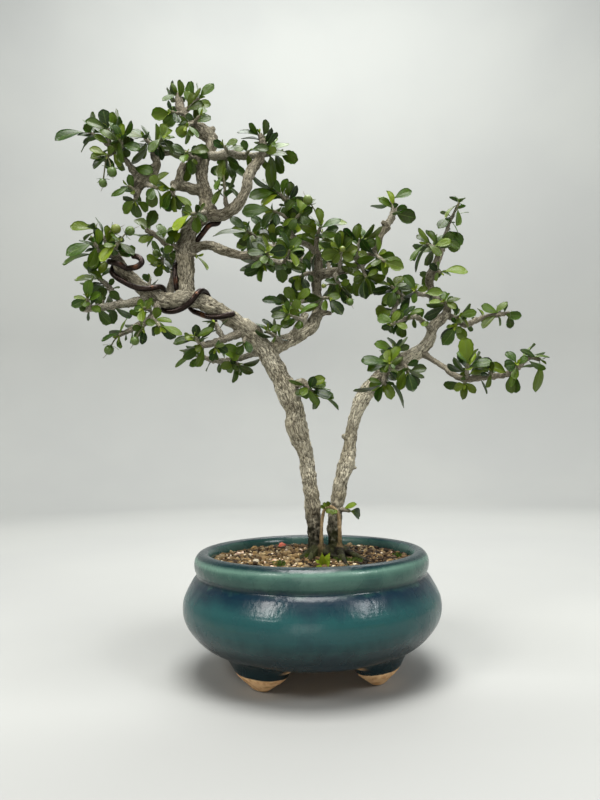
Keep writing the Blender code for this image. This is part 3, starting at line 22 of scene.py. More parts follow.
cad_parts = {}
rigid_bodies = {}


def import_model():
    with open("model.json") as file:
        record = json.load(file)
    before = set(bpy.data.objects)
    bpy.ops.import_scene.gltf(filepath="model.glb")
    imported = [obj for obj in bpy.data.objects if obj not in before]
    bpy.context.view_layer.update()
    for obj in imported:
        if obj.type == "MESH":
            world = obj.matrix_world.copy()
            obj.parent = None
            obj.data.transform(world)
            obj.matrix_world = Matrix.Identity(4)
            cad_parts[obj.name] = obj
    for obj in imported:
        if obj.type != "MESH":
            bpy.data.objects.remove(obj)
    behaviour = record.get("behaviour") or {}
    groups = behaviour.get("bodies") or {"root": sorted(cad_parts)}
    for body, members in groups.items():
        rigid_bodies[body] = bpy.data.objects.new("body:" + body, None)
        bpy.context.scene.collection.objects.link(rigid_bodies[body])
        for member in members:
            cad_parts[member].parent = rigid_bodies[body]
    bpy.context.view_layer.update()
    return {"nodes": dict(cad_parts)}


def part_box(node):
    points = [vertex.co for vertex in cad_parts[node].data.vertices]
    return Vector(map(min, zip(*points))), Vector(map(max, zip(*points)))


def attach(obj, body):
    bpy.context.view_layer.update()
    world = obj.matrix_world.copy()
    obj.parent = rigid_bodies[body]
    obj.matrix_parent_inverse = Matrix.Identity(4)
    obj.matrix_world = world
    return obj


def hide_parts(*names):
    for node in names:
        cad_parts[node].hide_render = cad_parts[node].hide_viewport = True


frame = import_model()

LOG = logging.getLogger("bonsai")
MM = 0.001
TINY = 1e-6
SEED = 20
POT_LOW, POT_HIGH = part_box("pot")
SHIFT = Vector(((POT_LOW.x + POT_HIGH.x) / 2, (POT_LOW.y + POT_HIGH.y) / 2, 0.0)) / MM
UPWARD = Vector((0.0, 0.0, 1.0))
ROUNDED_END = ((0.45, 0.05), (0.3, 0.7))
LUMP_PITCH, FINE_PITCH, FINE_SHARE = 0.9, 1.3, 0.5

Way = list[tuple[Vector, float]]
Row = tuple[float, ...]
Rows = tuple[Row, ...]
Faces = list[tuple[int, ...]]
Skin = tuple[list[Vector], Faces]
Box = tuple[list[float], list[float]]
Colour = Row
Span = tuple[float, float]
Place = tuple[float, float, float]
Profile = Sequence[Span]
Rng = random.Random
Thing = bpy.types.Object
Mesh = bpy.types.Mesh
Material = bpy.types.Material
Socket = bpy.types.NodeSocket
Inputs = dict[int | str, object]
NodeTree = bpy.types.NodeTree


@dataclass(frozen=True)
class Twig:
    """A woody stem: its way on the sketch and the leaves on it.

    A leaf is (tip x, tip y, width seen), and back is how many stand at its back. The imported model
    has leaves and back. The looks have more and rear besides.
    """

    way: Rows
    leaves: Rows = ()
    more: Rows = ()
    rear: int = 0
    back: int = 0


@dataclass(frozen=True)
class Spray:
    """One leafy stem with its spurs, the stem first, and its berries (x, y, depth, radius)."""

    name: str
    twigs: tuple[Twig, ...]
    berries: Rows = ()


# Wood, as (sketch x, sketch y, depth, radius), read from the soil or the parent limb outwards
LEFT_TRUNK = (
    (317, 560, 2, 6.4), (316, 549, 2, 5.3), (315, 530, 2, 4.7), (312, 500, 1, 4.9),
    (308.5, 473, 0, 5.0), (304, 448, -1, 5.3), (297, 430, -2, 6.9), (295, 411, -2, 5.9),
    (289, 395, -3, 7.3), (278, 373, -4, 6.1), (266, 352, -5, 6.0), (252, 334, -6, 6.0),
    (236, 322, -8, 5.4), (219, 311, -9, 5.1), (202, 302, -10, 5.4), (187, 299, -11, 5.6),
    (173, 301, -12, 5.2), (161, 299, -13, 5.1), (149, 292.5, -14, 4.6), (137, 284, -15, 4.4),
    (127, 276, -15, 5.0), (120.5, 267, -16, 4.4), (117, 258, -16, 3.2),
)
LEADER = (
    (188, 301, -11, 4.6), (187, 288, -10, 4.9), (186, 270, -9, 5.1), (184.5, 250, -8, 5.6),
    (188, 234, -8, 5.1), (198, 221, -8, 5.1), (207, 211, -8, 5.4), (205, 194, -7, 4.6),
    (202, 178, -6, 3.9), (202, 160, -4, 4.9), (210, 149, -4, 3.7), (211, 139, -3, 4.8),
    (202, 131, -3, 5.4), (197, 129, -3, 3.8),
)
RIGHT_FORK = (
    (206, 214, -8, 4.0), (219, 215.5, -9, 3.9), (230, 211, -10, 3.9), (240, 201, -10, 3.6),
    (246, 189, -10, 3.4), (248, 178, -10, 3.2), (254, 167, -9, 3.6), (261, 158.6, -8, 3.2),
)
TOP_LEFT_ARM = (
    (201, 160, -4, 3.6), (187, 156, -6, 2.9), (173, 151, -8, 2.9), (161, 152, -9, 3.0),
    (154, 155, -10, 2.9), (157, 163, -11, 2.6), (153, 170, -11, 3.6), (145, 177, -12, 5.7),
    (138, 184, -12, 5.2), (137, 190, -12, 3.4),
)
LEADER_STUB = ((205, 191, -7, 3.4), (193, 189.5, -8, 3.5), (183, 186, -9, 3.5), (172, 185, -10, 2.9))
LEADER_STUB_RISER = ((177, 186, -10, 2.6), (180.5, 174, -11, 2.7), (183.5, 164, -11, 2.2))
MIDDLE_ARM = (
    (187, 252, -8, 3.8), (200, 246.5, -8, 3.2), (211, 245.5, -9, 3.0), (225, 251, -10, 3.1),
    (240, 255, -10, 2.9), (252, 255, -10, 2.8),
)
RIGHT_LIMB = (
    (267, 354, -4, 4.6), (281, 344, -2, 4.9), (297, 336, 1, 4.6), (311, 326.5, 4, 4.5),
    (317, 314, 6, 4.0), (317, 295, 9, 3.2), (316, 279, 10, 3.7), (318, 264, 11, 3.4),
    (317, 253, 11, 2.8),
)
RIGHT_ARM = (
    (316, 276, 10, 3.6), (328, 273.5, 9, 3.4), (343, 270.5, 8, 3.2), (358, 265, 7, 3.1),
    (370, 256, 6, 2.9), (377, 247, 5, 2.6), (380, 235, 5, 2.6), (388, 226, 5, 2.9),
)
PALE_STUB = ((293, 338, -1, 3.0), (299, 326, -4, 3.0), (305.5, 314, -6, 2.8))
KNOTTY_STUB = ((315, 320, 5, 2.6), (323, 313, 4, 2.3), (331, 313.5, 3, 1.6))
RIGHT_TRUNK = (
    (337, 560, 0, 6.2), (336, 548, 0, 4.8), (334, 527, 1, 4.3), (337, 502, 2, 4.6),
    (342, 477, 3, 4.6), (347, 462, 4, 5.1), (350, 444, 5, 4.2), (352.5, 425, 6, 4.1),
    (357, 410, 6, 4.5), (364, 396, 7, 5.2), (376, 380.5, 9, 5.0), (391, 367, 10, 4.8),
    (408, 358, 12, 4.9), (422, 349, 12, 4.5), (430, 339, 12, 3.8), (433, 327, 12, 3.8),
    (442, 318, 12, 3.7), (447, 309, 12, 3.1), (438, 298, 13, 2.5), (430, 287, 14, 2.7),
    (430, 277, 14, 3.2), (436, 264, 14, 2.7), (440, 252, 15, 2.6),
)
SHORT_STUBS = (
    ((348, 438, 5, 2.4), (343, 436, 2, 1.6)),
    ((348, 466, 4, 3.0), (356.5, 468, 3, 1.0)),
    ((313, 516, 2, 3.4), (307, 518, 0, 2.0)),
    ((298, 384, -4, 3.4), (303, 381.5, -8, 2.2)),
    ((386, 226, 5, 2.6), (383, 222, 3, 1.8)),
    ((208, 134, -3, 3.0), (214, 127.5, -4, 1.8)),
)
AIR_ROOT = (
    (321.5, 560, -7, 1.8), (321.5, 541, -6, 1.4), (322, 520, -5, 1.3), (325, 509, -5, 1.3),
    (332, 507, -6, 1.3), (338, 513, -6, 1.3), (339.5, 526, -6, 1.4), (340, 542, -6, 1.6),
    (341, 560, -7, 1.9),
)

# Roots, as (x, y, z, radius) in the pot's own frame: the sunk stock and the roots on the soil
ROOT_STOCK = ((8, 1, 68, 9.6), (8, 1, 60, 11.0), (8, 1, 50, 9.6), (8, 1, 40, 6.5))
SURFACE_ROOTS = (
    ((3, 0, 69, 4.6), (-5, -7, 66.2, 3.0), (-13, -13, 64.6, 2.0), (-20, -16, 62.4, 1.2)),
    ((15, 0, 69, 4.4), (23, -6, 66.2, 2.9), (31, -9, 64.6, 2.0), (39, -15, 62.2, 1.2)),
    ((12, -3, 68, 3.6), (17, -12, 66.0, 2.5), (18, -22, 64.2, 1.8), (23, -30, 61.8, 1.1)),
    ((10, 4, 68, 4.0), (13, 14, 65.8, 2.8), (20, 23, 64.0, 1.9), (24, 31, 61.8, 1.1)),
    ((4, 4, 68, 3.8), (-4, 12, 65.8, 2.6), (-8, 22, 63.8, 1.7), (-14, 29, 61.8, 1.1)),
)

# Roots that run forward over the gravel, only in the looks
FRONT_ROOTS = (
    ((17, -1, 73, 3.6), (18, -9, 70.6, 2.7), (19, -19, 68.8, 2.0),
     (20, -30, 67.2, 1.4), (21, -39, 65.2, 0.9)),
    ((20, -1, 71, 3.0), (25, -9, 69.4, 2.2), (30, -19, 68.0, 1.6),
     (36, -27, 66.2, 1.1), (40, -34, 64.4, 0.8)),
    ((3, -1, 73, 3.8), (2, -8, 70.4, 2.9), (0, -17, 68.6, 2.0), (-3, -26, 66.8, 1.3), (-5, -33, 64.8, 0.9)),
    ((10, 0, 71, 3.0), (9, -8, 70.0, 2.0), (12, -15, 68.9, 1.6), (18, -19, 68.6, 1.3)),
)

# Soil line, in millimetres
SOIL_LEVEL = 65.2

# Tips of fresh pale leaves on the sketch
FRESH_SPOTS = (
    (157, 180), (160, 195), (190, 213), (197, 100), (286, 193), (366, 231), (328, 225), (273, 255),
    (395, 265), (387, 194), (177, 230), (104, 262), (470, 348), (262, 204), (300, 220), (213, 128),
)

# Grains that stand out, as (sketch x, sketch y, radius, colour number)
SPECIAL_GRAINS = ((282, 546, 2.6, 0.97), (285, 548, 1.9, 0.96), (309, 560, 3.0, 0.58), (256, 562, 2.2, 0.9))

# Moss, as (sketch x, sketch y, reach in millimetres, tufts)
MOSS_PATCHES = (
    (279, 565, 3.6, 120), (354, 562, 4.5, 90), (326, 554, 8.0, 260), (398, 555, 3.2, 70),
    (311, 559, 4.0, 110), (341, 561, 4.5, 120),
)

# The seedling's leaves, as (root x, root y, tip x, tip y, width in millimetres)
SEEDLING = (
    (323, 567, 315, 560, 4.0), (324, 567, 330, 553, 5.5), (323, 568, 322, 553, 4.6),
    (324, 568, 330, 561, 3.6), (323, 569, 316, 566, 3.2),
)

# Small leaves on the air root's arch, as (root x, root y, tip x, tip y, width in millimetres)
ARCH_LEAVES = (
    (328, 507, 323, 503.5, 3.0), (329, 507, 327.5, 501.5, 2.8), (326, 509, 320.5, 506, 2.4),
    (331, 508, 326.5, 512.5, 3.2), (333, 508, 332, 514.5, 3.4), (334, 509, 336.5, 513.5, 2.6),
)

# Thick places of the crown on the sketch, as (x, y, reach, leaves that fill it)
THICKETS = (
    (185, 90, 16, 10), (185, 119, 16, 5), (95, 118, 14, 5), (122, 118, 13, 4), (125, 150, 16, 9),
    (185, 150, 14, 6), (245, 150, 14, 5), (275, 150, 14, 6), (155, 181, 14, 4), (275, 180, 16, 10),
    (215, 180, 12, 3), (305, 208, 15, 7), (95, 240, 14, 5), (125, 240, 14, 4), (214, 238, 10, 3),
    (245, 240, 18, 10), (275, 240, 18, 12), (305, 235, 14, 5), (335, 240, 17, 14), (362, 240, 16, 8),
    (425, 240, 13, 5), (452, 240, 12, 5), (95, 268, 14, 7), (245, 268, 12, 4), (305, 268, 12, 4),
    (365, 270, 16, 8), (393, 270, 14, 6), (305, 300, 14, 7), (364, 298, 15, 10), (395, 300, 15, 10),
    (392, 360, 16, 8), (484, 358, 14, 8), (306, 388, 13, 4), (332, 388, 12, 5), (517, 388, 10, 3),
)

# Bare wood on the sketch that no extra leaf hides, as (left, top, right, bottom, depth)
BARE_WOOD = (
    (206, 150, 266, 160, -4), (175, 92, 187, 110, -2), (194, 118, 210, 136, -3), (140, 174, 160, 190, -12),
    (202, 160, 210, 200, -6), (206, 240, 250, 257, -9), (395, 352, 424, 368, 11),
)

SPRAYS: tuple[Spray, ...] = (
    Spray("spray_far_left", (Twig(((136, 174, -13, 2.6), (131, 167, -13, 2.3), (124, 158, -13, 2),
        (117, 151, -14, 1.9), (109, 145, -14, 1.6), (98, 137.5, -15, 1.3), (88, 132.5, -15, 1)),
        ((56, 140, 6), (78, 136, 5), (125, 169, 6)), ((121, 149, 9),), 2), Twig(((110, 146, -14, 1.2),
        (109, 137, -16, 1.1), (108, 129, -17, 0.9)), ((86, 121, 10), (103, 110, 13), (114, 113, 6),
        (93, 125, 8)), ((119, 117, 5), (94, 135, 7)), 3), Twig(((116, 151, -14, 1.1), (111, 154, -17, 1),
        (107, 156, -19, 0.9)), ((91, 158, 10), (94, 168, 9), (90, 149, 6)), ((113, 147, 5),), 1),
        Twig(((121, 155, -14, 1), (122, 147, -17, 1), (120, 139, -19, 0.9)), ((131, 121, 5), (109, 122, 8),
        (128, 136, 9)), (), 2)), ((112, 172, -21, 3.6), (103, 183, -19, 3.1))),
    Spray("spray_high_left", (Twig(((158, 151, -10, 1.5), (152, 146, -13, 1.3), (145, 138, -15, 1.1)),
        ((122, 134, 7), (143, 127, 6), (133, 163, 4)), ((132, 130, 6), (156, 124, 4)), 3),
        Twig(((153, 147, -13, 1), (158, 142, -17, 0.9), (162, 138, -19, 0.8)), ((172, 131, 7),
        (174, 137, 6), (123, 150, 6), (149, 151, 8)), (), 2))),
    Spray("spray_knot_hanging", (Twig(((138, 189, -12, 1.9), (136.5, 195, -13, 1.7), (135, 201, -14, 1.1)),
        ((124, 213, 10), (140, 205, 6)), (), 2), Twig(((137, 192, -13, 1), (132, 188, -17, 0.9),
        (128, 186, -18, 0.8)), ((112, 196, 8), (121, 187, 7), (129, 175, 7))))),
    Spray("spray_knot_right", (Twig(((147, 184, -13, 1.4), (153, 187, -17, 1.1), (158, 188, -18, 0.9)),
        ((152, 175, 10), (148, 199, 10), (168, 173, 6), (168, 190, 7)), (), 2),)),
    Spray("spray_crown", (Twig(((200, 131, -3, 3.2), (192, 123, -2, 2.8), (185, 115, -2, 2.8),
        (181, 109, -2, 3.2), (179, 101, -1, 2.8), (178, 94, -1, 1.6)), ((168, 90, 8),), ((184, 86, 8),
        (163, 101, 6)), 3), Twig(((183, 112, -3, 1.3), (176, 113, -7, 1.1), (171, 112, -9, 0.9)),
        ((152, 115, 13), (164, 126, 12)), ((176, 122, 7),), 2), Twig(((184, 112, -2, 1.8),
        (192, 106, -1, 1.6), (199, 99, -1, 1.1)), ((213, 84, 8), (187, 90, 9), (210, 104, 8),
        (204, 106, 6), (200, 88, 5)), (), 3), Twig(((192, 123, -4, 1.2), (197, 119, -8, 1.1),
        (200, 116, -9, 0.9)), ((210, 116, 9),), ((206, 125, 6), (197, 108, 6)), 2),
        Twig(((192, 123, -5, 1.2), (189, 124, -11, 1.1), (187, 126, -14, 0.9)), ((178, 135, 12),
        (197, 137, 7)), ((180, 124, 7),)))),
    Spray("spray_leader_high", (Twig(((192, 159, -7, 1.3), (189, 156, -11, 1.1), (187, 153, -13, 0.9)),
        ((171, 146, 9), (208, 150, 7), (189, 173, 5)), ((170, 152, 4), (184, 181, 12)), 2),)),
    Spray("spray_leader_stub", (Twig(((174, 187, -11, 1.5), (173, 192, -13, 1.3), (174, 197, -13, 1)),
        ((165, 209, 6), (190, 206, 6), (177, 211, 6)), ((162, 200, 7), (163, 190, 7)), 3),)),
    Spray("spray_leader_fresh", (Twig(((206, 212, -11, 1.2), (198, 213, -15, 1.1), (191, 214, -16, 0.9)),
        ((174, 230, 6), (160, 233, 3)), ((196, 205, 6), (187, 213, 6), (201, 219, 6)), 2),)),
    Spray("spray_back_left", (Twig(((170, 297, -8, 2.6), (170.5, 288, -4, 2.8), (173, 279, 0, 2.5),
        (174, 266, 5, 2.4), (171, 254, 6, 2.4), (166, 244, 5, 2.2), (157, 236, 3, 2), (146, 230, 1, 1.5)),
        ((155, 211, 12), (136, 220, 9), (139, 241, 7), (132, 233, 5)), ((160, 224, 9),), 3),
        Twig(((171, 255, 6, 1.1), (164, 256, -1, 1), (162, 264, -4, 0.8)), ((147, 256, 8), (160, 271, 6),
        (153, 241, 6)), ((170, 269, 7),), 2)), ((156, 253, -6, 2.7), (157, 264, -5, 2.3))),
    Spray("spray_leader_side", (Twig(((180, 249, -8, 1.2), (175, 247, -10, 1), (172, 244, -11, 0.9)),
        ((164, 251, 8), (172, 228, 6)), ((169, 237, 9), (180, 233, 5), (158, 232, 3)), 3),)),
    Spray("spray_leader_thorn", (Twig(((193, 253, -10, 1.1), (197, 256, -12, 0.9)), ((207, 269, 4),)),)),
    Spray("spray_limb_tip", (Twig(((117.5, 262, -16, 2.6), (115, 255.5, -16, 2.7), (106, 253.5, -16, 2.8),
        (97, 254.5, -16, 2.6)), ((89, 272, 6), (64, 265, 3)), (), 1), Twig(((100, 253, -17, 1.2),
        (97, 247, -20, 1.1), (94, 243, -21, 0.9)), ((67, 255, 12), (97, 228, 8)), ((80, 240, 6),), 1),
        Twig(((108, 253, -16, 1.3), (106, 243, -17, 1.2), (101, 234, -17, 1.1), (95, 230, -17, 0.9)),
        ((71, 226, 9), (125, 246, 8), (108, 226, 7)), ((96, 218, 4), (100, 237, 8)), 2),
        Twig(((112, 254, -18, 1.1), (116, 247, -20, 1), (119, 242, -21, 0.9)), ((133, 254, 9),),
        ((120, 232, 6), (104, 246, 5)), 1)), ((116, 229, -19, 3.5), (130, 231, -20, 3.4))),
    Spray("spray_low_left", (Twig(((151, 298, -14, 2.8), (141, 300.5, -15, 3), (131, 302.7, -16, 2.9),
        (117, 305, -16, 2.6), (100, 307.5, -17, 2.4), (83, 309, -17, 2)), ((111, 323, 10), (131, 316, 6)),
        (), 2), Twig(((123, 304, -16, 1.8), (114, 294, -14, 1.8), (106, 284, -12, 1.6), (97, 277, -11, 1)),
        ((107, 262, 9), (116, 267, 7), (75, 279, 7), (86, 288, 6)), ((81, 284, 3), (89, 271, 5)), 3),
        Twig(((90, 308, -18, 1.2), (88, 302, -21, 1), (87, 298, -22, 0.9)), ((98, 291, 7), (72, 306, 9)),
        ((75, 296, 4), (100, 293, 6)), 2), Twig(((103, 307, -16, 1.1), (103, 301, -13, 0.9)),
        ((110, 296, 6),), ((95, 292, 5),), 1))),
    Spray("spray_limb_top", (Twig(((150, 287, -11, 1.1), (150, 279, -10, 0.9)), ((143, 279, 5),),
        ((157, 280, 4),)),)),
    Spray("spray_down_left", (Twig(((158, 303, -14, 2.4), (156, 312, -15, 2.5), (150, 320, -17, 2.7),
        (140, 324, -18, 2.2), (130, 330, -19, 1.5), (119, 335.5, -20, 1.1)), ((110, 333, 6),),
        ((102, 340, 3), (127, 319, 4), (126, 327, 7)), 1), Twig(((153, 317, -17, 1.2), (158, 324, -21, 1),
        (160, 327, -22, 0.9)), ((181, 334, 6), (164, 334, 7), (171, 323, 8), (152, 335, 7)), (), 1),
        Twig(((155, 312, -16, 1.1), (147, 309, -20, 1), (143, 308, -22, 0.8)), ((136, 308, 6),
        (142, 321, 7)), ((130, 313, 4), (152, 303, 6)), 1), Twig(((144, 323, -18, 1),
        (143, 328, -21, 0.8)), ((135, 337, 6),), (), 1)), ((109, 350, -20, 3.4), (135, 341, -23, 3))),
    Spray("spray_fork_shoot", (Twig(((228, 213, -9, 1.3), (226, 204, -10, 1.1), (225, 192, -11, 1),
        (223.5, 176, -11, 0.7)), ((214, 204, 6), (239, 199, 5)), ((215, 181, 3), (234, 176, 4),
        (216, 189, 4), (234, 187, 4), (214, 196, 4), (240, 191, 4), (234, 207, 5)), 1),)),
    Spray("spray_top_right", (Twig(((206, 158, -5, 3), (217, 156, -5, 3), (228, 154.5, -5, 3.4),
        (238, 155.5, -4, 3.2), (250, 156, -2, 2.4), (265, 154.5, 0, 1.8), (279, 152, 1, 1.2)),
        ((297, 160, 13), (284, 172, 9), (272, 185, 15), (233, 142, 6)), (), 1), Twig(((226, 155, -5, 1.1),
        (226, 162, -1, 1), (228, 168, 1, 0.9)), ((211, 172, 10), (233, 178, 8), (246, 176, 10),
        (240, 166, 8)), ((219, 177, 8),), 3), Twig(((229, 154, -7, 1.1), (226, 149, -11, 1),
        (224, 146, -12, 0.8)), ((237, 140, 6),), ((212, 147, 8), (243, 150, 3)), 1),
        Twig(((246, 156, -4, 1.1), (247, 153, -8, 0.9), (249, 151, -9, 0.8)), ((268, 149, 6),
        (250, 168, 7)), ((234, 146, 4), (283, 147, 5)), 1))),
    Spray("spray_fork_tip", (Twig(((259, 160, -8, 2.2), (263, 151, -8, 2.3), (263, 142, -8, 2.8),
        (260, 134, -9, 1.3)), ((266, 120, 7), (249, 124, 6), (242, 138, 4), (271, 128, 6), (276, 146, 6)),
        ((238, 132, 4), (277, 133, 3), (254, 142, 8)), 3),)),
    Spray("spray_middle_arm", (Twig(((249, 255, -10, 2.2), (258, 257, -9, 2.5), (270, 262, -6, 2.7),
        (283, 264, -2, 2.5), (295, 262, 2, 1.9)), ((245, 266, 7), (252, 271, 9)), ((241, 260, 6),), 2),
        Twig(((262, 259, -8, 1.1), (264, 265, -9, 0.9)), ((261, 281, 8),), ((273, 273, 6), (258, 268, 6)),
        1), Twig(((270, 261, -7, 1.1), (268, 256, -13, 1), (267, 252, -16, 0.9)), ((286, 250, 13),
        (258, 244, 8), (248, 252, 7)), ((262, 262, 8),), 1), Twig(((284, 264, -3, 1.1), (288, 256, -8, 1),
        (290, 250, -10, 0.9)), ((300, 238, 9), (279, 240, 9), (304, 254, 9)), ((296, 266, 8),), 2))),
    Spray("spray_inner", (Twig(((317, 261, 12, 2.4), (304, 260, 17, 2.4), (290, 255, 21, 2.2),
        (275, 248, 22, 2), (261, 243, 21, 1.8), (250, 240, 19, 1.1)), ((237, 247, 8), (232, 229, 11),
        (243, 222, 10), (262, 229, 9)), (), 3), Twig(((279, 250, 22, 1.3), (272, 240, 25, 1.1),
        (266, 230, 26, 0.9)), ((252, 217, 9), (276, 216, 9), (284, 228, 9)), (), 3, 2),
        Twig(((293, 256, 21, 1.3), (291, 246, 27, 1.1), (290, 236, 31, 0.9)), ((301, 222, 10),
        (308, 240, 9)), (), 3, 2), Twig(((262, 243, 21, 1.2), (254, 236, 14, 1.1), (247, 231, 10, 0.9)),
        ((230, 218, 10), (214, 236, 8)), ((260, 221, 7), (252, 243, 8)), 1))),
    Spray("spray_brown_shoot", (Twig(((316, 252, 10, 2.3), (308, 245, 9, 2.5), (298, 241, 8, 2.2),
        (291, 233, 8, 1.9), (289, 219, 8, 1.7), (288, 205, 8, 1.4), (287, 196, 8, 1)), ((291, 182, 8),
        (297, 186, 8), (284, 188, 6), (304, 203, 8)), (), 2), Twig(((288, 203, 8, 1.1), (281, 195, 6, 1),
        (275, 190, 5, 0.8)), ((253, 178, 6), (250, 197, 11), (262, 204, 6)), ((266, 191, 8),), 2),
        Twig(((289, 220, 7, 1.1), (281, 214, 3, 1), (273, 211, 1, 0.9)), ((243, 213, 9), (263, 219, 7)),
        ((262, 206, 6), (276, 225, 8)), 2), Twig(((290, 226, 7, 1.1), (296, 219, 3, 1),
        (300, 214, 1, 0.9)), ((312, 208, 8), (292, 208, 9), (309, 224, 10)), ((290, 229, 9),), 2))),
    Spray("spray_top_middle", (Twig(((318, 256, 9, 1.6), (316, 245, 5, 1.5), (318, 234, 2, 1.2),
        (321, 226, 0, 0.9)), ((318, 208, 8), (340, 219, 8), (306, 220, 9), (313, 232, 9), (336, 233, 9)),
        ((346, 223, 6),), 3),), ((308, 200, -3, 3.8),)),
    Spray("spray_arm_first", (Twig(((341, 271, 6, 1.5), (340, 261, 1, 1.3), (341, 251, -3, 1)),
        ((322, 256, 13), (350, 240, 7), (332, 241, 8), (353, 260, 9)), ((333, 262, 8),), 2),),
        ((342.5, 249, -8, 2.3),)),
    Spray("spray_arm_second", (Twig(((357, 264, 6, 1.5), (357, 252, 4, 1.3), (360, 240, 2, 1)),
        ((374, 225, 8), (381, 226, 4), (375, 241, 10), (344, 229, 8), (358, 224, 8), (366, 256, 8)),
        ((343, 236, 8), (346, 248, 7)), 4),)),
    Spray("spray_arm_third", (Twig(((374, 253, 4, 1.3), (380, 258, 0, 1.1), (385, 262, -2, 0.9)),
        ((394, 256, 9), (403, 268, 11), (386, 275, 7)), ((372, 266, 7),), 2),)),
    Spray("spray_arm_under", (Twig(((361, 265, 6, 1.3), (364, 272, 2, 1.1), (366, 278, 0, 0.9)),
        ((378, 270, 7), (370, 290, 8), (354, 281, 8), (364, 293, 9)), ((377, 283, 7),), 2),)),
    Spray("spray_arm_low", (Twig(((335, 272, 8, 1.4), (337, 280, 5, 1.2), (340, 287, 3, 0.9)),
        ((328, 293, 8), (352, 293, 8), (338, 297, 7)), ((349, 280, 7), (325, 281, 6)), 3),),
        ((350, 302, 0, 2.9), (323.5, 286, 1, 1.8))),
    Spray("spray_limb_right", (Twig(((317, 300, 6, 1.3), (324, 298, 2, 1.1), (329, 298, 0, 0.9)),
        ((342, 314, 12), (340, 297, 7)), ((326, 310, 6), (331, 288, 7)), 2),)),
    Spray("spray_limb_front", (Twig(((315, 273, 8, 1.4), (306, 274, 3, 1.2), (300, 277, 1, 0.9)),
        ((289, 281, 9), (297, 290, 12), (291, 268, 9)), ((308, 288, 8), (303, 263, 8)), 2),)),
    Spray("spray_limb_left", (Twig(((316, 301, 7, 1.5), (306, 301, 2, 1.3), (295, 303, -1, 1.1),
        (286, 304, -3, 0.9)), ((263, 300, 9), (285, 288, 11), (309, 289, 9), (271, 311, 6), (290, 317, 7)),
        ((294, 293, 9),), 4),)),
    Spray("spray_stub_side", (Twig(((302, 321, -7, 1.3), (295, 317, -11, 1.1), (289, 314, -13, 0.9)),
        ((281, 327, 9), (272, 317, 7), (282, 306, 5)), ((297, 309, 8),), 2),)),
    Spray("spray_limb_start", (Twig(((283, 342, -5, 1.4), (275, 336, -9, 1.2), (267, 331, -11, 0.9)),
        ((257, 323, 6), (264, 319, 6), (273, 320, 7)), ((256, 330, 5), (281, 327, 6)), 2),)),
    Spray("spray_back_middle", (Twig(((330, 272, 12, 1.6), (327, 258, 20, 1.4), (325, 244, 25, 1.2),
        (322, 232, 27, 0.9)), ((338, 228, 9),), ((310, 230, 9),), 4, 5),)),
    Spray("spray_right_arm_tip", (Twig(((386, 226, 5, 2.3), (391, 219, 5, 2.5), (394, 209, 5, 2.1),
        (392, 199, 5, 1.2)), ((411, 191, 8), (379, 199, 6), (371, 206, 6), (387, 191, 7), (415, 218, 15)),
        (), 2),)),
    Spray("spray_right_leader_tip", (Twig(((439.5, 256, 15, 2), (442, 247, 15, 2.2), (445, 237, 15, 1.5),
        (449, 224, 15, 1.1), (454.5, 212, 15, 1), (459, 203, 15, 0.8)), ((439, 228, 7), (457, 225, 5),
        (459, 249, 10)), ((459, 237, 2), (446, 217, 3), (467, 213, 3)), 1), Twig(((441, 249, 14, 1.3),
        (434, 247, 11, 1.2), (426, 244, 9, 0.9)), ((417, 236, 6), (411, 260, 3), (416, 271, 4),
        (424, 264, 6), (441, 255, 8)), ((428, 231, 4), (413, 246, 5), (437, 235, 5)), 3))),
    Spray("spray_right_leader_back", (Twig(((431, 279, 16, 1.2), (432, 277, 21, 0.9)), ((422, 284, 11),
        (440, 270, 9)), (), 2),)),
    Spray("spray_right_leader_side", (Twig(((434, 271, 13, 1.2), (441, 272.5, 10, 0.9)), ((467, 272, 8),),
        ((430, 264, 7),)),)),
    Spray("spray_right_cross", (Twig(((440, 300, 12, 1.9), (428, 295, 9, 1.9), (414, 294, 7, 1.8),
        (401, 298, 5, 1.9), (395, 307, 4, 1.7), (392, 316, 3, 1)), ((379, 321, 8), (376, 309, 12),
        (442, 292, 8)), ((388, 327, 6), (401, 310, 6)), 2), Twig(((402, 297, 5, 1.2), (396, 290, 1, 1.1),
        (391, 286, 0, 0.9)), ((376, 283, 4), (373, 292, 7), (388, 277, 5), (384, 303, 12)),
        ((407, 284, 6),), 2), Twig(((417, 294, 7, 1.1), (415, 290, 3, 0.9)), ((400, 287, 6),),
        ((427, 288, 6), (413, 301, 6)), 2))),
    Spray("spray_right_inner", (Twig(((432, 330, 11, 1.8), (424, 323, 8, 1.8), (416, 317, 4, 1.7),
        (405, 319, 1, 1.4), (391, 325, -3, 0.9)), ((415, 307, 5), (423, 311, 5), (399, 311, 7),
        (383, 328, 5)), ((407, 328, 5),), 3),)),
    Spray("spray_right_bend", (Twig(((446, 307, 10, 1.5), (446, 304, 6, 1.2), (444, 302, 4, 0.9)),
        ((460, 299, 6), (427, 304, 6), (424, 316, 7)), ((434, 310, 9), (456, 308, 6)), 3),)),
    Spray("spray_right_middle", (Twig(((446, 315, 12, 2.2), (456, 319.5, 14, 2.2), (465, 325, 15, 2.3),
        (475, 321, 16, 2.1), (487, 316.5, 16, 2), (500, 314.5, 15, 1.6), (509, 313, 15, 1.1)),
        ((521, 316, 9), (507, 302, 7), (510, 328, 7), (483, 327, 8), (482, 306, 6)), ((492, 308, 6),), 2),
        Twig(((456, 319, 13, 1.1), (459, 316, 9, 0.9)), ((476, 312, 9), (452, 303, 6)), ((470, 304, 5),),
        1), Twig(((460, 322, 14, 1.1), (455, 326, 9, 0.9)), ((443, 344, 11), (465, 339, 11)), (), 1))),
    Spray("spray_right_low", (Twig(((424, 354, 11, 2.4), (433, 360, 9, 2.1), (444, 367, 6, 2),
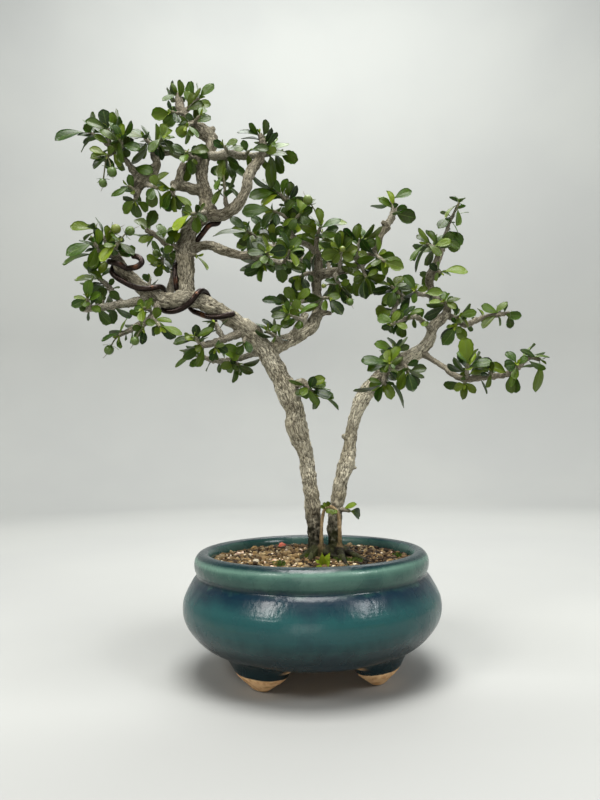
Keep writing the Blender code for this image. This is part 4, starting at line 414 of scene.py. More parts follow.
        (454, 375, 3, 2.4), (466, 379, 0, 2.5), (480, 377.5, -2, 2.3), (496, 376, -3, 2.2),
        (508, 374, -4, 2), (518, 367.5, -5, 1.7), (528, 358, -6, 1.5), (540, 359.5, -6, 1)),
        ((545, 369, 5), (535, 391, 8), (511, 386, 8)), ((549, 358, 4), (543, 353, 3), (521, 350, 7),
        (535, 345, 6), (532, 366, 3)), 2), Twig(((466, 378, -1, 1.2), (467, 370, -5, 1.1),
        (468, 364, -7, 0.9)), ((465, 338, 15), (454, 358, 6), (491, 361, 8), (479, 352, 7)),
        ((448, 365, 3), (479, 371, 9)), 2), Twig(((463, 379, 0, 1.1), (465, 384, -3, 0.9)),
        ((462, 399, 8),), ((454, 389, 9), (475, 393, 8)), 1), Twig(((489, 376, -3, 1.1),
        (491, 371, -7, 0.9)), ((499, 366, 7),), ((485, 364, 6), (487, 387, 3)), 2),
        Twig(((517, 368, -5, 1.1), (517, 364, -9, 0.9)), ((505, 366, 13),), (), 1))),
    Spray("spray_shoulder_top", (Twig(((402, 361, 9, 1.5), (398, 354, 5, 1.3), (394, 349, 3, 0.9)),
        ((375, 344, 9), (409, 346, 7), (388, 338, 6)), ((406, 337, 3), (386, 355, 7)), 3),)),
    Spray("spray_shoulder_left", (Twig(((386, 371, 7, 2.2), (385, 377, 2, 2), (384, 385, -1, 1.4)),
        ((369, 380, 5), (355, 392, 6), (391, 399, 10), (378, 401, 6)), ((403, 407, 2),), 1),
        Twig(((385, 376, 3, 1.2), (389, 368, -4, 1.1), (389, 363, -7, 0.9)), ((362, 361, 8), (368, 370, 5),
        (384, 354, 12), (403, 357, 8)), (), 2))),
    Spray("spray_shoulder_right", (Twig(((403, 361, 7, 1.4), (406, 367, 2, 1.2), (408, 373, 0, 0.9)),
        ((426, 368, 8), (413, 391, 12), (400, 389, 6), (418, 361, 7)), ((424, 377, 7),), 2),)),
    Spray("spray_trunk_side", (Twig(((303, 381.5, -9, 1.7), (307, 386, -11, 1.3), (313, 393, -12, 0.9)),
        ((325, 385, 9), (333, 399, 9), (318, 405, 9), (337, 410, 2), (289, 380, 5)), ((314, 377, 9),),
        2),)),
    Spray("spray_base", (Twig(((341, 509, -1, 1.2), (350, 511, -3, 0.9)), ((356, 504, 6),),
        ((325, 503, 5), (329, 513, 6)), 1),)),
    Spray("spray_lower_left", (Twig(((242, 333, -8, 2.8), (233, 336, -10, 2.7), (222, 340, -13, 2.5),
        (210, 344, -14, 2.3), (199, 345.5, -15, 1.7)), ((183, 357, 10), (187, 346, 6), (196, 366, 7)),
        ((180, 350, 6),), 2), Twig(((201, 345, -15, 1.1), (197, 340, -18, 1), (195, 337, -19, 0.8)),
        ((196, 325, 9), (213, 329, 9), (174, 343, 7), (185, 333, 6)), ((214, 323, 4),), 1),
        Twig(((215, 342, -13, 1.1), (216, 348, -16, 0.9)), ((227, 352, 8), (212, 357, 9)),
        ((222, 343, 6),), 2), Twig(((224, 339, -12, 1.9), (219, 331, -13, 1.8), (215, 323, -14, 1.3)),
        ()))),
    Spray("spray_underneath", (Twig(((259, 352, -3, 2.2), (250, 355, 0, 2.2), (238, 358.5, 3, 2.1),
        (225, 361, 5, 2), (212, 360, 6, 1.9), (203, 357, 6, 1.5), (193, 355, 6, 1)), ((176, 367, 7),),
        ((190, 366, 7), (184, 352, 6)), 2), Twig(((228, 360, 5, 1.2), (234, 363, 0, 1.1),
        (239, 364, -2, 0.9)), ((260, 359, 6), (253, 372, 9), (221, 367, 8), (241, 375, 8)),
        ((228, 372, 8),), 2))),
    Spray("spray_underneath_small", (Twig(((245, 337, -8, 1.1), (244, 344, -10, 0.9)), ((250, 352, 6),),
        ((238, 346, 5), (237, 354, 6)), 1),)),
)

# Knots, rings and old cuts on the trunks, as (sketch x, sketch y, reach, rise), in millimetres
KNOTS = (
    (288, 424, 3.4, 1.1), (307, 431, 2.6, 0.9), (303, 407, 2.2, 0.8), (296, 414, 3.0, -0.6),
    (300, 441, 2.4, -0.7), (336, 482, 2.4, 0.9), (341, 489, 2.0, -0.6), (351, 462, 2.6, 0.8),
    (345, 448, 2.2, -0.5), (311, 519, 2.4, 0.9), (266, 345, 3.0, 0.9), (276, 362, 2.6, -0.8),
    (259, 336, 2.6, -0.8), (246, 322, 2.8, 0.8), (232, 325, 2.4, -0.6), (187, 263, 2.8, 0.8),
    (181, 243, 2.4, -0.7), (206, 208, 2.6, 0.9), (201, 183, 2.2, -0.6), (205, 160, 2.6, 0.8),
    (164, 302, 2.6, 0.8), (138, 287, 2.4, 0.8), (391, 373, 2.6, 0.8), (412, 352, 2.8, 0.9),
    (357, 405, 2.4, -0.6), (430, 337, 2.4, 0.8), (297, 337, 2.6, -0.7), (317, 300, 2.4, 0.7),
)

# The limb wire's loose end, as (sketch x, sketch y, depth)
LIMB_WIRE_END = ((133, 256, -19.5), (139, 257, -20.5), (142.5, 262, -21.0), (137, 267, -21.5))

# Training wires, as (sketch x, sketch y, side): -1 before the wood, 1 behind it, 0 over its edge
LIMB_WIRE = (
    (127, 268, -1), (118, 263, -1), (111, 256.5, 0), (113, 252, 1), (120, 258, 1), (118, 264, 1),
    (114, 268, 0), (116, 276, -1), (124, 284, -1), (134, 289, -1), (148, 290, -1), (157, 288, -1),
    (162, 290, 0), (166, 294, 1), (164, 302, 1), (160, 307, 0), (166, 311, -1), (176, 313, -1),
    (186, 310, -1), (192, 302, -1), (196, 294, -1), (202, 293, 0), (209, 300, 1), (214, 309, 1),
    (217, 318, 0),
)
LEADER_WIRE = (
    (234, 313, -1), (223, 317, -1), (210, 318.5, -1), (199, 316.5, -1), (192, 309, 0),
    (190, 303, 1), (184, 296, 1), (179, 290, 0), (174, 283, -1), (170.5, 274, 0), (173, 266, 1),
    (182, 258, 1), (190, 250, 1), (196, 240, 0), (204, 235, -1), (213, 229, -1), (219, 222, 0),
    (221, 215, 1), (215, 208, 1),
)


@dataclass(frozen=True)
class Sketch:
    """The front-view sketch: where its eye stands, in millimetres and degrees, and its scale in pixels."""

    distance: float = 387.0
    height: float = 128.0
    pitch: float = -5.6
    roll: float = -0.91
    yaw: float = 0.80
    focal: float = 600.0
    centre: Span = (300.0, 400.0)
    long_side: float = 800.0
    spread_start: float = 480.0
    spread_end: float = 330.0
    spread_factor: float = 1.75
    film: float = 36.0
    clip: Span = (0.01, 20.0)

    def eye(self) -> Vector:
        """Return the eye point in the pot's frame."""
        return Vector((0.0, -self.distance, self.height))

    def axes(self) -> tuple[Vector, Vector, Vector]:
        """Work out the sketch's directions.

        Returns:
            Right, up and ahead.
        """
        turn = Matrix.Rotation(math.radians(self.yaw), 3, "Z")
        pitch, roll = math.radians(self.pitch), math.radians(self.roll)
        ahead = turn @ Vector((0.0, math.cos(pitch), -math.sin(pitch)))
        level = turn @ Vector((1.0, 0.0, 0.0))
        rise = turn @ Vector((0.0, math.sin(pitch), math.cos(pitch)))
        right = math.cos(roll) * level + math.sin(roll) * rise
        return right, math.cos(roll) * rise - math.sin(roll) * level, ahead

    def sight(self, x: float, y: float) -> Vector:
        """Return the direction in which the eye sees a sketch position."""
        right, up, ahead = self.axes()
        return ahead + (x - self.centre[0]) / self.focal * right + (self.centre[1] - y) / self.focal * up

    def point(self, x: float, y: float, depth: float) -> Vector:
        """Return the point that the sketch shows at (x, y), depth behind the pot's middle."""
        sight = self.sight(x, y)
        return self.eye() + sight * ((depth + self.distance) / sight.y)

    def level_point(self, x: float, y: float, height: float) -> Vector:
        """Return the point that the sketch shows at (x, y) on a level plane."""
        sight = self.sight(x, y)
        return self.eye() + sight * ((height - self.height) / sight.z)

    def shown(self, point: Vector) -> Span:
        """Find where the sketch shows a point.

        Args:
            point: the point in the pot's frame.

        Returns:
            Its x and y on the sketch.
        """
        right, up, ahead = self.axes()
        away = point - self.eye()
        scale = self.focal / away.dot(ahead)
        return self.centre[0] + scale * away.dot(right), self.centre[1] - scale * away.dot(up)

    def spread(self, y: float, depth: float) -> float:
        """Return the depth of a point of the crown, which opens out above the bare trunks."""
        share = min(max((self.spread_start - y) / (self.spread_start - self.spread_end), 0.0), 1.0)
        return depth * (1.0 + (self.spread_factor - 1.0) * share)

    def way(self, rows: Rows) -> Way:
        """Return the stations of a way of (x, y, depth, radius)."""
        return [(self.point(x, y, self.spread(y, depth)), radius) for x, y, depth, radius in rows]

    def camera(self) -> Thing:
        """Stand a camera at the sketch's eye.

        Returns:
            The camera.
        """
        lens = bpy.data.cameras.new("front_view")
        lens.sensor_width = self.film
        lens.lens = self.film * self.focal / self.long_side
        lens.clip_start, lens.clip_end = self.clip
        right, up, ahead = self.axes()
        turn = Matrix((right, up, -ahead)).transposed().to_4x4()
        camera = show("front_view", lens)
        camera.matrix_world = Matrix.Translation((self.eye() + SHIFT) * MM) @ turn
        return camera


SKETCH = Sketch()


def show(name: str, data: bpy.types.ID) -> Thing:
    """Put data into the scene as an object.

    Args:
        name: the object's name.
        data: its mesh, curve, lamp or lens.

    Returns:
        The object.
    """
    item = bpy.data.objects.new(name, data)
    bpy.context.scene.collection.objects.link(item)
    return item


def worked_out(item: Thing) -> Mesh:
    """Return the mesh that an object's curve or modifiers make."""
    return bpy.data.meshes.new_from_object(item.evaluated_get(bpy.context.evaluated_depsgraph_get()))


def paint(item: Thing, finish: Material) -> None:
    """Give an object one finish alone."""
    item.data.materials.clear()
    item.data.materials.append(finish)


def circle(steps: int) -> list[Span]:
    """Return the cosine and sine of even steps round a circle."""
    return [(math.cos(math.tau * step / steps), math.sin(math.tau * step / steps)) for step in range(steps)]


def in_disc(rng: Rng, x: float, y: float, reach: float) -> Span:
    """Return a random place within reach of (x, y)."""
    turn, radius = rng.uniform(0.0, math.tau), reach * math.sqrt(rng.random())
    return x + radius * math.cos(turn), y + radius * math.sin(turn)


def jitter(rng: Rng, reach: float) -> Vector:
    """Return a random vector with every part within reach of nothing."""
    return Vector([rng.uniform(-reach, reach) for _ in range(3)])


def spoke(axis: Vector, turn: float) -> Vector:
    """Return a direction square to an axis, turned round it."""
    return Matrix.Rotation(turn, 3, axis) @ axis.orthogonal().normalized()


def blend(before: Vector, start: Vector, end: Vector, after: Vector, t: float) -> Vector:
    """Return the Catmull-Rom value between start and end; it takes numbers as well."""
    bend = (2 * before - 5 * start + 4 * end - after) * t**2
    return 0.5 * (2 * start + (end - before) * t + bend + (3 * start - 3 * end + after - before) * t**3)


def smooth_way(stations: Way, spacing: float) -> Way:
    """Put more stations along a smooth curve through the given ones.

    Args:
        stations: the points and radii that the curve passes.
        spacing: how far apart the new stations are, roughly.

    Returns:
        The new stations, from the first to the last given one.
    """
    fine: Way = []
    last = len(stations) - 1
    for index in range(last):
        before, start = stations[max(index - 1, 0)], stations[index]
        end, after = stations[index + 1], stations[min(index + 2, last)]
        count = max(1, round((end[0] - start[0]).length / spacing))
        for step in range(count):
            point, radius = (blend(*four, step / count) for four in zip(before, start, end, after))
            fine.append((point, max(radius, min(start[1], end[1]))))
    return [*fine, stations[last]]


def box_of(points: Sequence[Vector]) -> Box:
    """Return the lowest and highest corner of some points."""
    low, high = ([pick(point[axis] for point in points) for axis in range(3)] for pick in (min, max))
    return low, high


def boxes_meet(box: Box, other: Box) -> bool:
    """Tell whether two boxes overlap."""
    return all(box[0][axis] <= other[1][axis] and other[0][axis] <= box[1][axis] for axis in range(3))


def plain_tube(stations: Way, sides: int) -> Skin:
    """Make the skin of a closed tube through stations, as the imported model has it.

    Args:
        stations: its way.
        sides: facets round it.

    Returns:
        Its points and faces.
    """
    curve = bpy.data.curves.new("tube", "CURVE")
    curve.dimensions, curve.bevel_depth, curve.use_fill_caps = "3D", MM, True
    curve.bevel_resolution = (sides - 4) // 2
    spline = curve.splines.new("POLY")
    spline.points.add(len(stations) - 1)
    for control, (point, radius) in zip(spline.points, stations):
        control.co, control.radius = (*(point * MM), 1.0), radius
    guide = show("tube", curve)
    mesh = worked_out(guide)
    bpy.data.objects.remove(guide)
    bpy.data.curves.remove(curve)
    shell = bmesh.new()
    shell.from_mesh(mesh)
    bmesh.ops.remove_doubles(shell, verts=shell.verts, dist=TINY)
    shell.to_mesh(mesh)
    shell.free()
    skin = [vertex.co / MM for vertex in mesh.vertices], [tuple(face.vertices) for face in mesh.polygons]
    bpy.data.meshes.remove(mesh)
    return skin


@dataclass(frozen=True)
class LeafRule:
    """How leaves are placed and how large they grow, in millimetres."""

    clearance: float = 0.35
    own_clearance: float = 0.1
    thickness: float = 0.7
    arch: float = 0.09
    outline: tuple[Span, Span] = ((0.56, 1.0), (1.0, 0.4))
    root: float = 0.2
    shortest: float = 9.5
    usual: float = 13.0
    spread: float = 1.8
    step: float = 0.8
    widest: float = 13.5
    slimmest_share: float = 0.52
    broadest_share: float = 0.95
    leans: Row = (-1.0, 1.0, -0.5, 0.4, -1.5, 1.5, 0.0, -2.0, 2.0)
    upward_share: float = 0.8
    back_tries: int = 14
    back_turn: float = 0.9
    back_length: Span = (9.5, 14.0)
    golden_turn: float = 2.4
    end_pull: float = 0.3
    crowd_push: float = 3.0
    least_lean: float = 0.25
    edge_on: float = 0.2
    least_turn: float = 0.3
    back_first: float = 0.35
    back_ahead: Span = (0.2, 0.9)
    back_away: Span = (0.9, 0.25)
    back_rise: float = 0.7
    back_sway: float = 0.5
    back_width: Span = (0.5, 0.62)


RULE = LeafRule()


@dataclass
class Blade:
    """One leaf: where its root and its tip are, which way its face looks and how wide it is."""

    base: Vector
    tip: Vector
    normal: Vector
    width: float
    fresh: float = 0.0
    small: bool = False

    def axes(self) -> tuple[Vector, Vector, Vector]:
        """Work out the leaf's directions.

        Returns:
            Its length, its face normal and its side direction.
        """
        along = self.tip - self.base
        normal = (self.normal - along * along.dot(self.normal) / along.length_squared).normalized()
        return along, normal, normal.cross(along).normalized()

    def shell(self, grow: float = 0.0, start: float = 0.0) -> Skin:
        """Make the simple solid that keeps the leaf's room.

        Args:
            grow: margin on every side.
            start: share of the length at which the solid begins.

        Returns:
            Its points and triangles.
        """
        along, normal, side = self.axes()
        thick = normal * (RULE.thickness / 2 + grow)
        (wide, _), (_, blunt) = RULE.outline
        corners = ((start, start / wide), (wide, 1.0), (1.0, blunt), (1.0, -blunt), (wide, -1.0))
        rim = []
        for share, across in corners:
            arch = 4 * RULE.arch * along.length * share * (1 - share)
            reach = side * across * (self.width / 2 + grow)
            rim.append(self.base + along * share + reach + normal * arch)
        faces = [(0, 4, 1), (1, 4, 3), (1, 3, 2), (5, 6, 9), (6, 8, 9), (6, 7, 8)]
        for here, after in zip(range(5), (1, 2, 3, 4, 0)):
            faces += [(here, after, after + 5), (here, after + 5, here + 5)]
        return [point + thick for point in rim] + [point - thick for point in rim], faces


class Space:
    """What is already taken: the wood, the wires and every twig and leaf placed so far."""

    def __init__(self) -> None:
        """Start with nothing taken."""
        self.taken: list[tuple[str, Box, BVHTree, BVHTree]] = []

    def add(self, owner: str, shell: Skin, outer: Optional[Skin] = None) -> None:
        """Take a closed shell; outer is what counts for leaves of the same owner."""
        own = BVHTree.FromPolygons(*(outer or shell))
        self.taken.append((owner, box_of(shell[0]), BVHTree.FromPolygons(*shell), own))

    def near(self, shell: Skin) -> list[tuple[str, BVHTree, BVHTree]]:
        """Return the owners and trees of what is taken where a shell's box reaches."""
        box = box_of(shell[0])
        return [(owner, tree, own) for owner, other, tree, own in self.taken if boxes_meet(box, other)]

    def meets(self, shell: Skin) -> bool:
        """Tell whether a closed shell touches anything that is taken."""
        tree = BVHTree.FromPolygons(*shell)
        return any(tree.overlap(other) for _, other, _ in self.near(shell))

    def clear(self, owner: str, blade: Blade, margin: float) -> bool:
        """Tell whether a leaf keeps clear of all that is taken.

        Args:
            owner: the spray's name.
            blade: the leaf.
            margin: how much room it keeps to what other sprays have.

        Returns:
            True where there is room for it.
        """
        grown = blade.shell(margin)
        tree = BVHTree.FromPolygons(*grown)
        outer = BVHTree.FromPolygons(*blade.shell(RULE.own_clearance, RULE.root))
        for other, other_tree, own in self.near(grown):
            if outer.overlap(own) if other == owner else tree.overlap(other_tree):
                return False
        return True


class Wood:
    """Woody tubes as tapered segments between stations, for distances and for the run of the bark."""

    def __init__(self) -> None:
        """Start with no tubes."""
        self.segments: list[tuple[float, ...]] = []
        self.runs: list[tuple[float, ...]] = []
        self.packed = np.zeros((0, 10))

    def add(self, way: Way) -> None:
        """Add a tube that ends in flat discs.

        Args:
            way: its stations.
        """
        last = len(way) - 2
        travelled = 0.0
        side = (way[1][0] - way[0][0]).orthogonal().normalized()
        for index in range(last + 1):
            (start, start_radius), (end, end_radius) = way[index], way[index + 1]
            closing = (float(index == 0), float(index == last))
            self.segments.append((*start, *end, start_radius, end_radius, *closing))
            span = (end - start).normalized()
            side = (side - span * side.dot(span)).normalized()
            self.runs.append((*side, *span.cross(side), travelled))
            travelled += (end - start).length
        self.packed = np.array(self.segments)

    def nearest(self, point: Vector) -> tuple[float, Vector, Vector]:
        """Find the wood's surface nearest to a point.

        Args:
            point: the point in the pot's frame.

        Returns:
            The distance out of the wood, negative inside it, the surface point and its normal.
        """
        place = np.array(point)
        starts, ends, radii = self.packed[:, 0:3], self.packed[:, 3:6], self.packed[:, 6:8]
        closing = self.packed[:, 8:10] > 0.5
        span = ends - starts
        length = np.linalg.norm(span, axis=1)
        share = np.einsum("ij,ij->i", place - starts, span) / length**2
        held = np.clip(share, 0.0, 1.0)
        axis = starts + span * held[:, None]
        radius = radii[:, 0] + (radii[:, 1] - radii[:, 0]) * held
        distance = np.linalg.norm(place - axis, axis=1) - radius
        capped = ((share < 0) & closing[:, 0]) | ((share > 1) & closing[:, 1])
        aside = np.linalg.norm(place - starts - span * share[:, None], axis=1)
        disc = np.hypot(np.abs(share - held) * length, np.maximum(aside - radius, 0.0))
        distance = np.where(capped, disc, distance)
        best = int(np.argmin(distance))
        away, gap = Vector(place - axis[best]), float(distance[best])
        normal = away.normalized() if away.length > TINY else UPWARD
        return gap, point - normal * gap, normal

    def unrolled(self, points: np.ndarray) -> tuple[np.ndarray, np.ndarray]:
        """Find where points lie on the nearest tube, for grain that runs along it.

        Args:
            points: rows of x, y, z.

        Returns:
            Rows of (radius times cosine, radius times sine, travel along the tube), and the radii.
        """
        starts, ends, radii = self.packed[:, 0:3], self.packed[:, 3:6], self.packed[:, 6:8]
        run = np.array(self.runs)
        span = ends - starts
        square = np.einsum("ij,ij->i", span, span)
        grain, girth, batch = np.zeros_like(points), np.zeros(len(points)), 4000
        for first in range(0, len(points), batch):
            part = points[first:first + batch]
            offset = part[:, None, :] - starts[None]
            share = np.clip(np.einsum("nsk,sk->ns", offset, span) / square, 0.0, 1.0)
            away = offset - share[..., None] * span[None]
            radius = radii[:, 0] + (radii[:, 1] - radii[:, 0]) * share
            best = np.argmin(np.linalg.norm(away, axis=2) - radius, axis=1)
            rows = np.arange(len(part))
            out, size, side = away[rows, best], radius[rows, best], run[best]
            x, y = (np.einsum("ij,ij->i", out, side[:, low:low + 3]) for low in (0, 3))
            turn = np.arctan2(y, x)
            travel = side[:, 6] + share[rows, best] * np.sqrt(square[best])
            grain[first:first + batch] = np.stack([size * np.cos(turn), size * np.sin(turn), travel], 1)
            girth[first:first + batch] = size
        return grain, girth


@dataclass
class Layout:
    """Where every twig, wire and leaf stands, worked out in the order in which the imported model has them."""

    twig_spacing: float = 9.0
    thick_twig: float = 2.3
    twig_sides: tuple[int, int] = (6, 4)
    wire_sides: int = 6
    seat_reach: float = 14.0
    seat_step: float = 0.1
    seat_length: float = 2.5
    seat_sides: int = 12
    seat_sink: float = 0.5
    seat_near: float = 3.0
    seat_room: float = 1.0
    least_stem: float = 4.0
    snap_step: float = 0.5
    snap_room: Span = (1.0, 0.8)
    wire_radius: float = 1.7
    wire_spacing: float = 5.0
    wire_gap: float = 0.75
    wire_rounds: tuple[int, int] = (3, 4)
    depth_reach: int = 60
    depth_step: float = 0.5
    root_spacing: float = 8.0
    fresh_reach: float = 9.0
    margin: float = RULE.clearance
    extra_margin: float = 0.05
    fill_tries: int = 8
    fill_width: Span = (5.0, 10.5)
    fill_reach: Span = (5.0, 14.5)
    node_step: int = 6
    rosette: int = 4
    small_leaf: Span = (5.5, 9.5)
    small_ahead: Span = (0.1, 1.0)
    small_sway: float = 0.5
    small_rise: float = 0.5
    small_width: Span = (0.5, 0.7)
    tested: Row = (0.3, 0.6, 0.9)
    wood: Wood = field(default_factory=Wood)
    space: Space = field(default_factory=Space)
    grown: dict[str, list[tuple[Twig, Way]]] = field(default_factory=dict)
    blades: dict[str, list[Blade]] = field(default_factory=dict)
    roots: dict[str, list[Vector]] = field(default_factory=dict)
    packed: dict[str, int] = field(default_factory=dict)
    wires: list[Way] = field(default_factory=list)

    def body_ways(self) -> list[tuple[Way, int]]:
        """List the ways of the tree's own body.

        Returns:
            The ways with the sides of each tube.
        """
        ways = [
            (LEFT_TRUNK, 9.5, 8), (LEADER, 9.5, 8), (RIGHT_TRUNK, 9.5, 8), (RIGHT_LIMB, 9.5, 8),
            (RIGHT_FORK, 9.0, 8), (TOP_LEFT_ARM, 8.0, 8), (RIGHT_ARM, 9.0, 6), (MIDDLE_ARM, 9.0, 6),
            (LEADER_STUB, 7.0, 6), (LEADER_STUB_RISER, 7.0, 6), (PALE_STUB, 8.0, 6),
            (KNOTTY_STUB, 8.0, 6), (AIR_ROOT, 5.0, 6), *((stub, 8.0, 6) for stub in SHORT_STUBS),
        ]
        body = [(smooth_way(SKETCH.way(way), spacing), sides) for way, spacing, sides in ways]
        for way, sides in ((ROOT_STOCK, 8), *((root, 6) for root in SURFACE_ROOTS)):
            rows = [(Vector(place), radius) for *place, radius in way]
            body.append((smooth_way(rows, self.root_spacing), sides))
        return body

    def seat(self, stations: Way) -> Way:
        """Start a twig just off the wood: move its first station out until the tree is clear of it.

        Args:
            stations: the twig's way.

        Returns:
            The way that is left of it.
        """
        start, radius = stations[0]
        distance, place, normal = self.wood.nearest(start)
        if distance > 0:
            stations = [(place - normal * self.seat_sink, radius), *stations[distance < self.seat_near:]]
            start = stations[0][0]
        direction = (stations[1][0] - start).normalized()
        travel = 0.0
        while travel < self.seat_reach:
            centre = start + direction * travel
            drum = self.drum(centre, direction, radius + RULE.clearance)
            if self.wood.nearest(centre)[0] > 0 and not self.space.meets(drum):
                break
            travel += self.seat_step
        least = travel + self.seat_room
        kept = [(point, size) for point, size in stations[1:] if (point - start).dot(direction) > least]
        return [(centre, radius), *(kept or [(centre + direction * self.least_stem, stations[-1][1])])]

    def drum(self, centre: Vector, direction: Vector, radius: float) -> Skin:
        """Make a short closed drum.

        Args:
            centre: where it begins, but for the clearance.
            direction: where it points.
            radius: its radius.

        Returns:
            Its points and faces.
        """
        across, sides = direction.orthogonal().normalized(), self.seat_sides
        other = direction.cross(across)
        rim = [radius * (cosine * across + sine * other) for cosine, sine in circle(sides)]
        low = [centre - direction * RULE.clearance + point for point in rim]
        high = [centre + direction * self.seat_length + point for point in rim]
        return low + high, [*grid_faces(2, sides), tuple(range(sides)), tuple(range(sides, 2 * sides))]

    def snap(self, stations: Way, stem: Way) -> Way:
        """Start a spur on the axis of the stem that it grows from, clear of the stem's ends.

        Args:
            stations: the spur's way.
            stem: the stem's way.

        Returns:
            The spur's new way.
        """
        (start, radius), (low, high) = stations[0], self.snap_room
        fine = [point for point, _ in smooth_way(stem, self.snap_step)]
        inner = [point for point in fine if (point - stem[0][0]).length > radius + low]
        inner = [point for point in inner if (point - stem[-1][0]).length > high]
        root = min(inner or [stem[1][0]], key=lambda point: (point - start).length)
        return [(root, radius), *stations[1:]]

    def grow(self, spray: Spray) -> list[tuple[Twig, Way]]:
        """Seat the twigs of a spray on the wood.

        Args:
            spray: the spray.

        Returns:
            Its twigs with their ways.
        """
        first, *spurs = spray.twigs
        stem = self.seat(smooth_way(SKETCH.way(first.way), self.twig_spacing))
        ways = [smooth_way(self.snap(SKETCH.way(twig.way), stem), self.twig_spacing) for twig in spurs]
        return list(zip(spray.twigs, [stem, *ways]))

    def keep(self, name: str, blade: Optional[Blade]) -> bool:
        """Keep a leaf, if there is one, and take its room.

        Args:
            name: its spray's name.
            blade: the leaf, or None.

        Returns:
            True if there is one.
        """
        if blade:
            self.space.add(name, blade.shell(), blade.shell(0.0, RULE.root))
            self.blades[name].append(blade)
        return blade is not None

    def seen_blade(self, owner: str, leaf: Row, way: Way, rng: Rng) -> Optional[Blade]:
        """Place a leaf whose tip and seen width the sketch gives.

        Args:
            owner: the spray's name.
            leaf: tip x, tip y and width seen.
            way: the fine stations of its twig.
            rng: the spray's own random numbers.

        Returns:
            The leaf, or None where there is no room for it.
        """
        x, y, seen_width = leaf
        end, roots = way[-1][0], self.roots[owner]

        def misfit(station: Vector) -> float:
            """Find how badly a root here fits a leaf of the usual length.

            Args:
                station: where the root would be.

            Returns:
                The misfit, which is least where the leaf grows.
            """
            crowding = sum(max(0.0, RULE.spread - (station - root).length) for root in roots)
            reach = (SKETCH.point(x, y, station.y) - station).length
            pull, push = RULE.end_pull * (station - end).length, RULE.crowd_push * crowding
            return abs(reach - RULE.usual) + pull + push

        base = min((point for point, _ in way[1:-1]), key=misfit)
        reach = (SKETCH.point(x, y, base.y) - base).length
        least = math.sqrt(max(RULE.shortest**2 - reach**2, (RULE.least_lean * reach) ** 2))
        for lean in RULE.leans:
            tip = SKETCH.point(x, y, base.y + lean * least)
            length = (tip - base).length
            shown = seen_width * (SKETCH.distance + base.y) / SKETCH.focal
            widest = min(RULE.broadest_share * length, RULE.widest)
            width = min(max(shown, RULE.slimmest_share * length), widest)
            roll = math.acos(min(1.0, shown / width))
            along = (tip - base).normalized()
            sight = (SKETCH.eye() - base).normalized()
            facing = sight - along * sight.dot(along)
            if facing.length < RULE.edge_on:
                facing = UPWARD - along * along.z
            normals = [Matrix.Rotation(turn, 3, along) @ facing for turn in (roll, -roll)]
            normals.sort(key=lambda normal: normal.z, reverse=rng.random() < RULE.upward_share)
            for normal in normals:
                blade = Blade(base, tip, normal, width, self.freshness(x, y))
                if self.space.clear(owner, blade, self.margin):
                    roots.append(base)
                    return blade
        return None

    def freshness(self, x: float, y: float) -> float:
        """Return how young the leaf with its tip at (x, y) on the sketch is, from 0 to 1."""
        return max(0.0, *(1.0 - math.dist((x, y), spot) / self.fresh_reach for spot in FRESH_SPOTS))

    def loose_blade(self, owner: str, blade: Blade, margin: float) -> Optional[Blade]:
        """Return a leaf if there is room for it and its face isn't turned along it."""
        turned = blade.normal.cross((blade.tip - blade.base).normalized()).length
        return blade if turned > RULE.least_turn and self.space.clear(owner, blade, margin) else None

    def back_blade(self, owner: str, share: float, turn: float, way: Way, rng: Rng) -> Optional[Blade]:
        """Place one more leaf at the back or the side of a twig, turned round it.

        Args:
            owner: the spray's name.
            share: how far along the twig it stands.
            turn: its first angle round the twig.
            way: the fine stations of the twig.
            rng: the spray's own random numbers.

        Returns:
            The leaf, or None where there is no room for it.
        """
        index = min(int(share * (len(way) - 1)) + 1, len(way) - 2)
        base = way[index][0]
        ahead = (base - way[index - 1][0]).normalized()
        away, least = RULE.back_away
        for attempt in range(RULE.back_tries):
            radial = spoke(ahead, turn + attempt * RULE.back_turn)
            direction = (radial + ahead * rng.uniform(*RULE.back_ahead)).normalized()
            direction.y = abs(direction.y) * away + least
            direction.normalize()
            length = rng.uniform(*RULE.back_length)
            sway = jitter(rng, RULE.back_sway)
            normal = ahead + UPWARD * RULE.back_rise + sway
            width = length * rng.uniform(*RULE.back_width)
            blade = Blade(base, base + direction * length, normal, width)
            if self.loose_blade(owner, blade, self.margin):
                return blade
        return None

    def place_leaves(self, spray: Spray, extra: bool) -> None:
        """Place the leaves of a spray that the sketch shows.

        Args:
            spray: the spray.
            extra: True for the leaves that only the looks have.
        """
        rng = Rng(f"{SEED} {spray.name}" + " more" * extra)
        for twig, way in self.grown[spray.name]:
            fine = smooth_way(way, RULE.step)
            for leaf in twig.more if extra else twig.leaves:
                self.keep(spray.name, self.seen_blade(spray.name, leaf, fine, rng))

    def place_back_leaves(self, spray: Spray, extra: bool) -> None:
        """Place the leaves at the back of a spray.

        Args:
            spray: the spray.
            extra: True for the leaves that only the looks have.
        """
        rng = Rng(f"{SEED} {spray.name} back" + " more" * extra)
        for twig, way in self.grown[spray.name]:
            fine, turn = smooth_way(way, RULE.step), rng.uniform(0, math.tau)
            count = twig.rear if extra else twig.back
            for number in range(count):
                share = RULE.back_first + (1.0 - RULE.back_first) * (number + 0.5) / count
                angle = turn + RULE.golden_turn * number
                self.keep(spray.name, self.back_blade(spray.name, share, angle, fine, rng))

    def hug(self, route: Rows) -> Way:
        """Lead a wire round the wood at a touching distance.

        Args:
            route: where the sketch shows it, and on which side of the wood.

        Returns:
            Its stations.
        """
        rough = [(SKETCH.point(x, y, self.wood_depth(x, y, side)), self.wire_radius) for x, y, side in route]
        way = smooth_way(rough, self.wire_spacing)
        for _ in range(self.wire_rounds[0]):
            way = soften(self.press(way))
        return self.press(way)

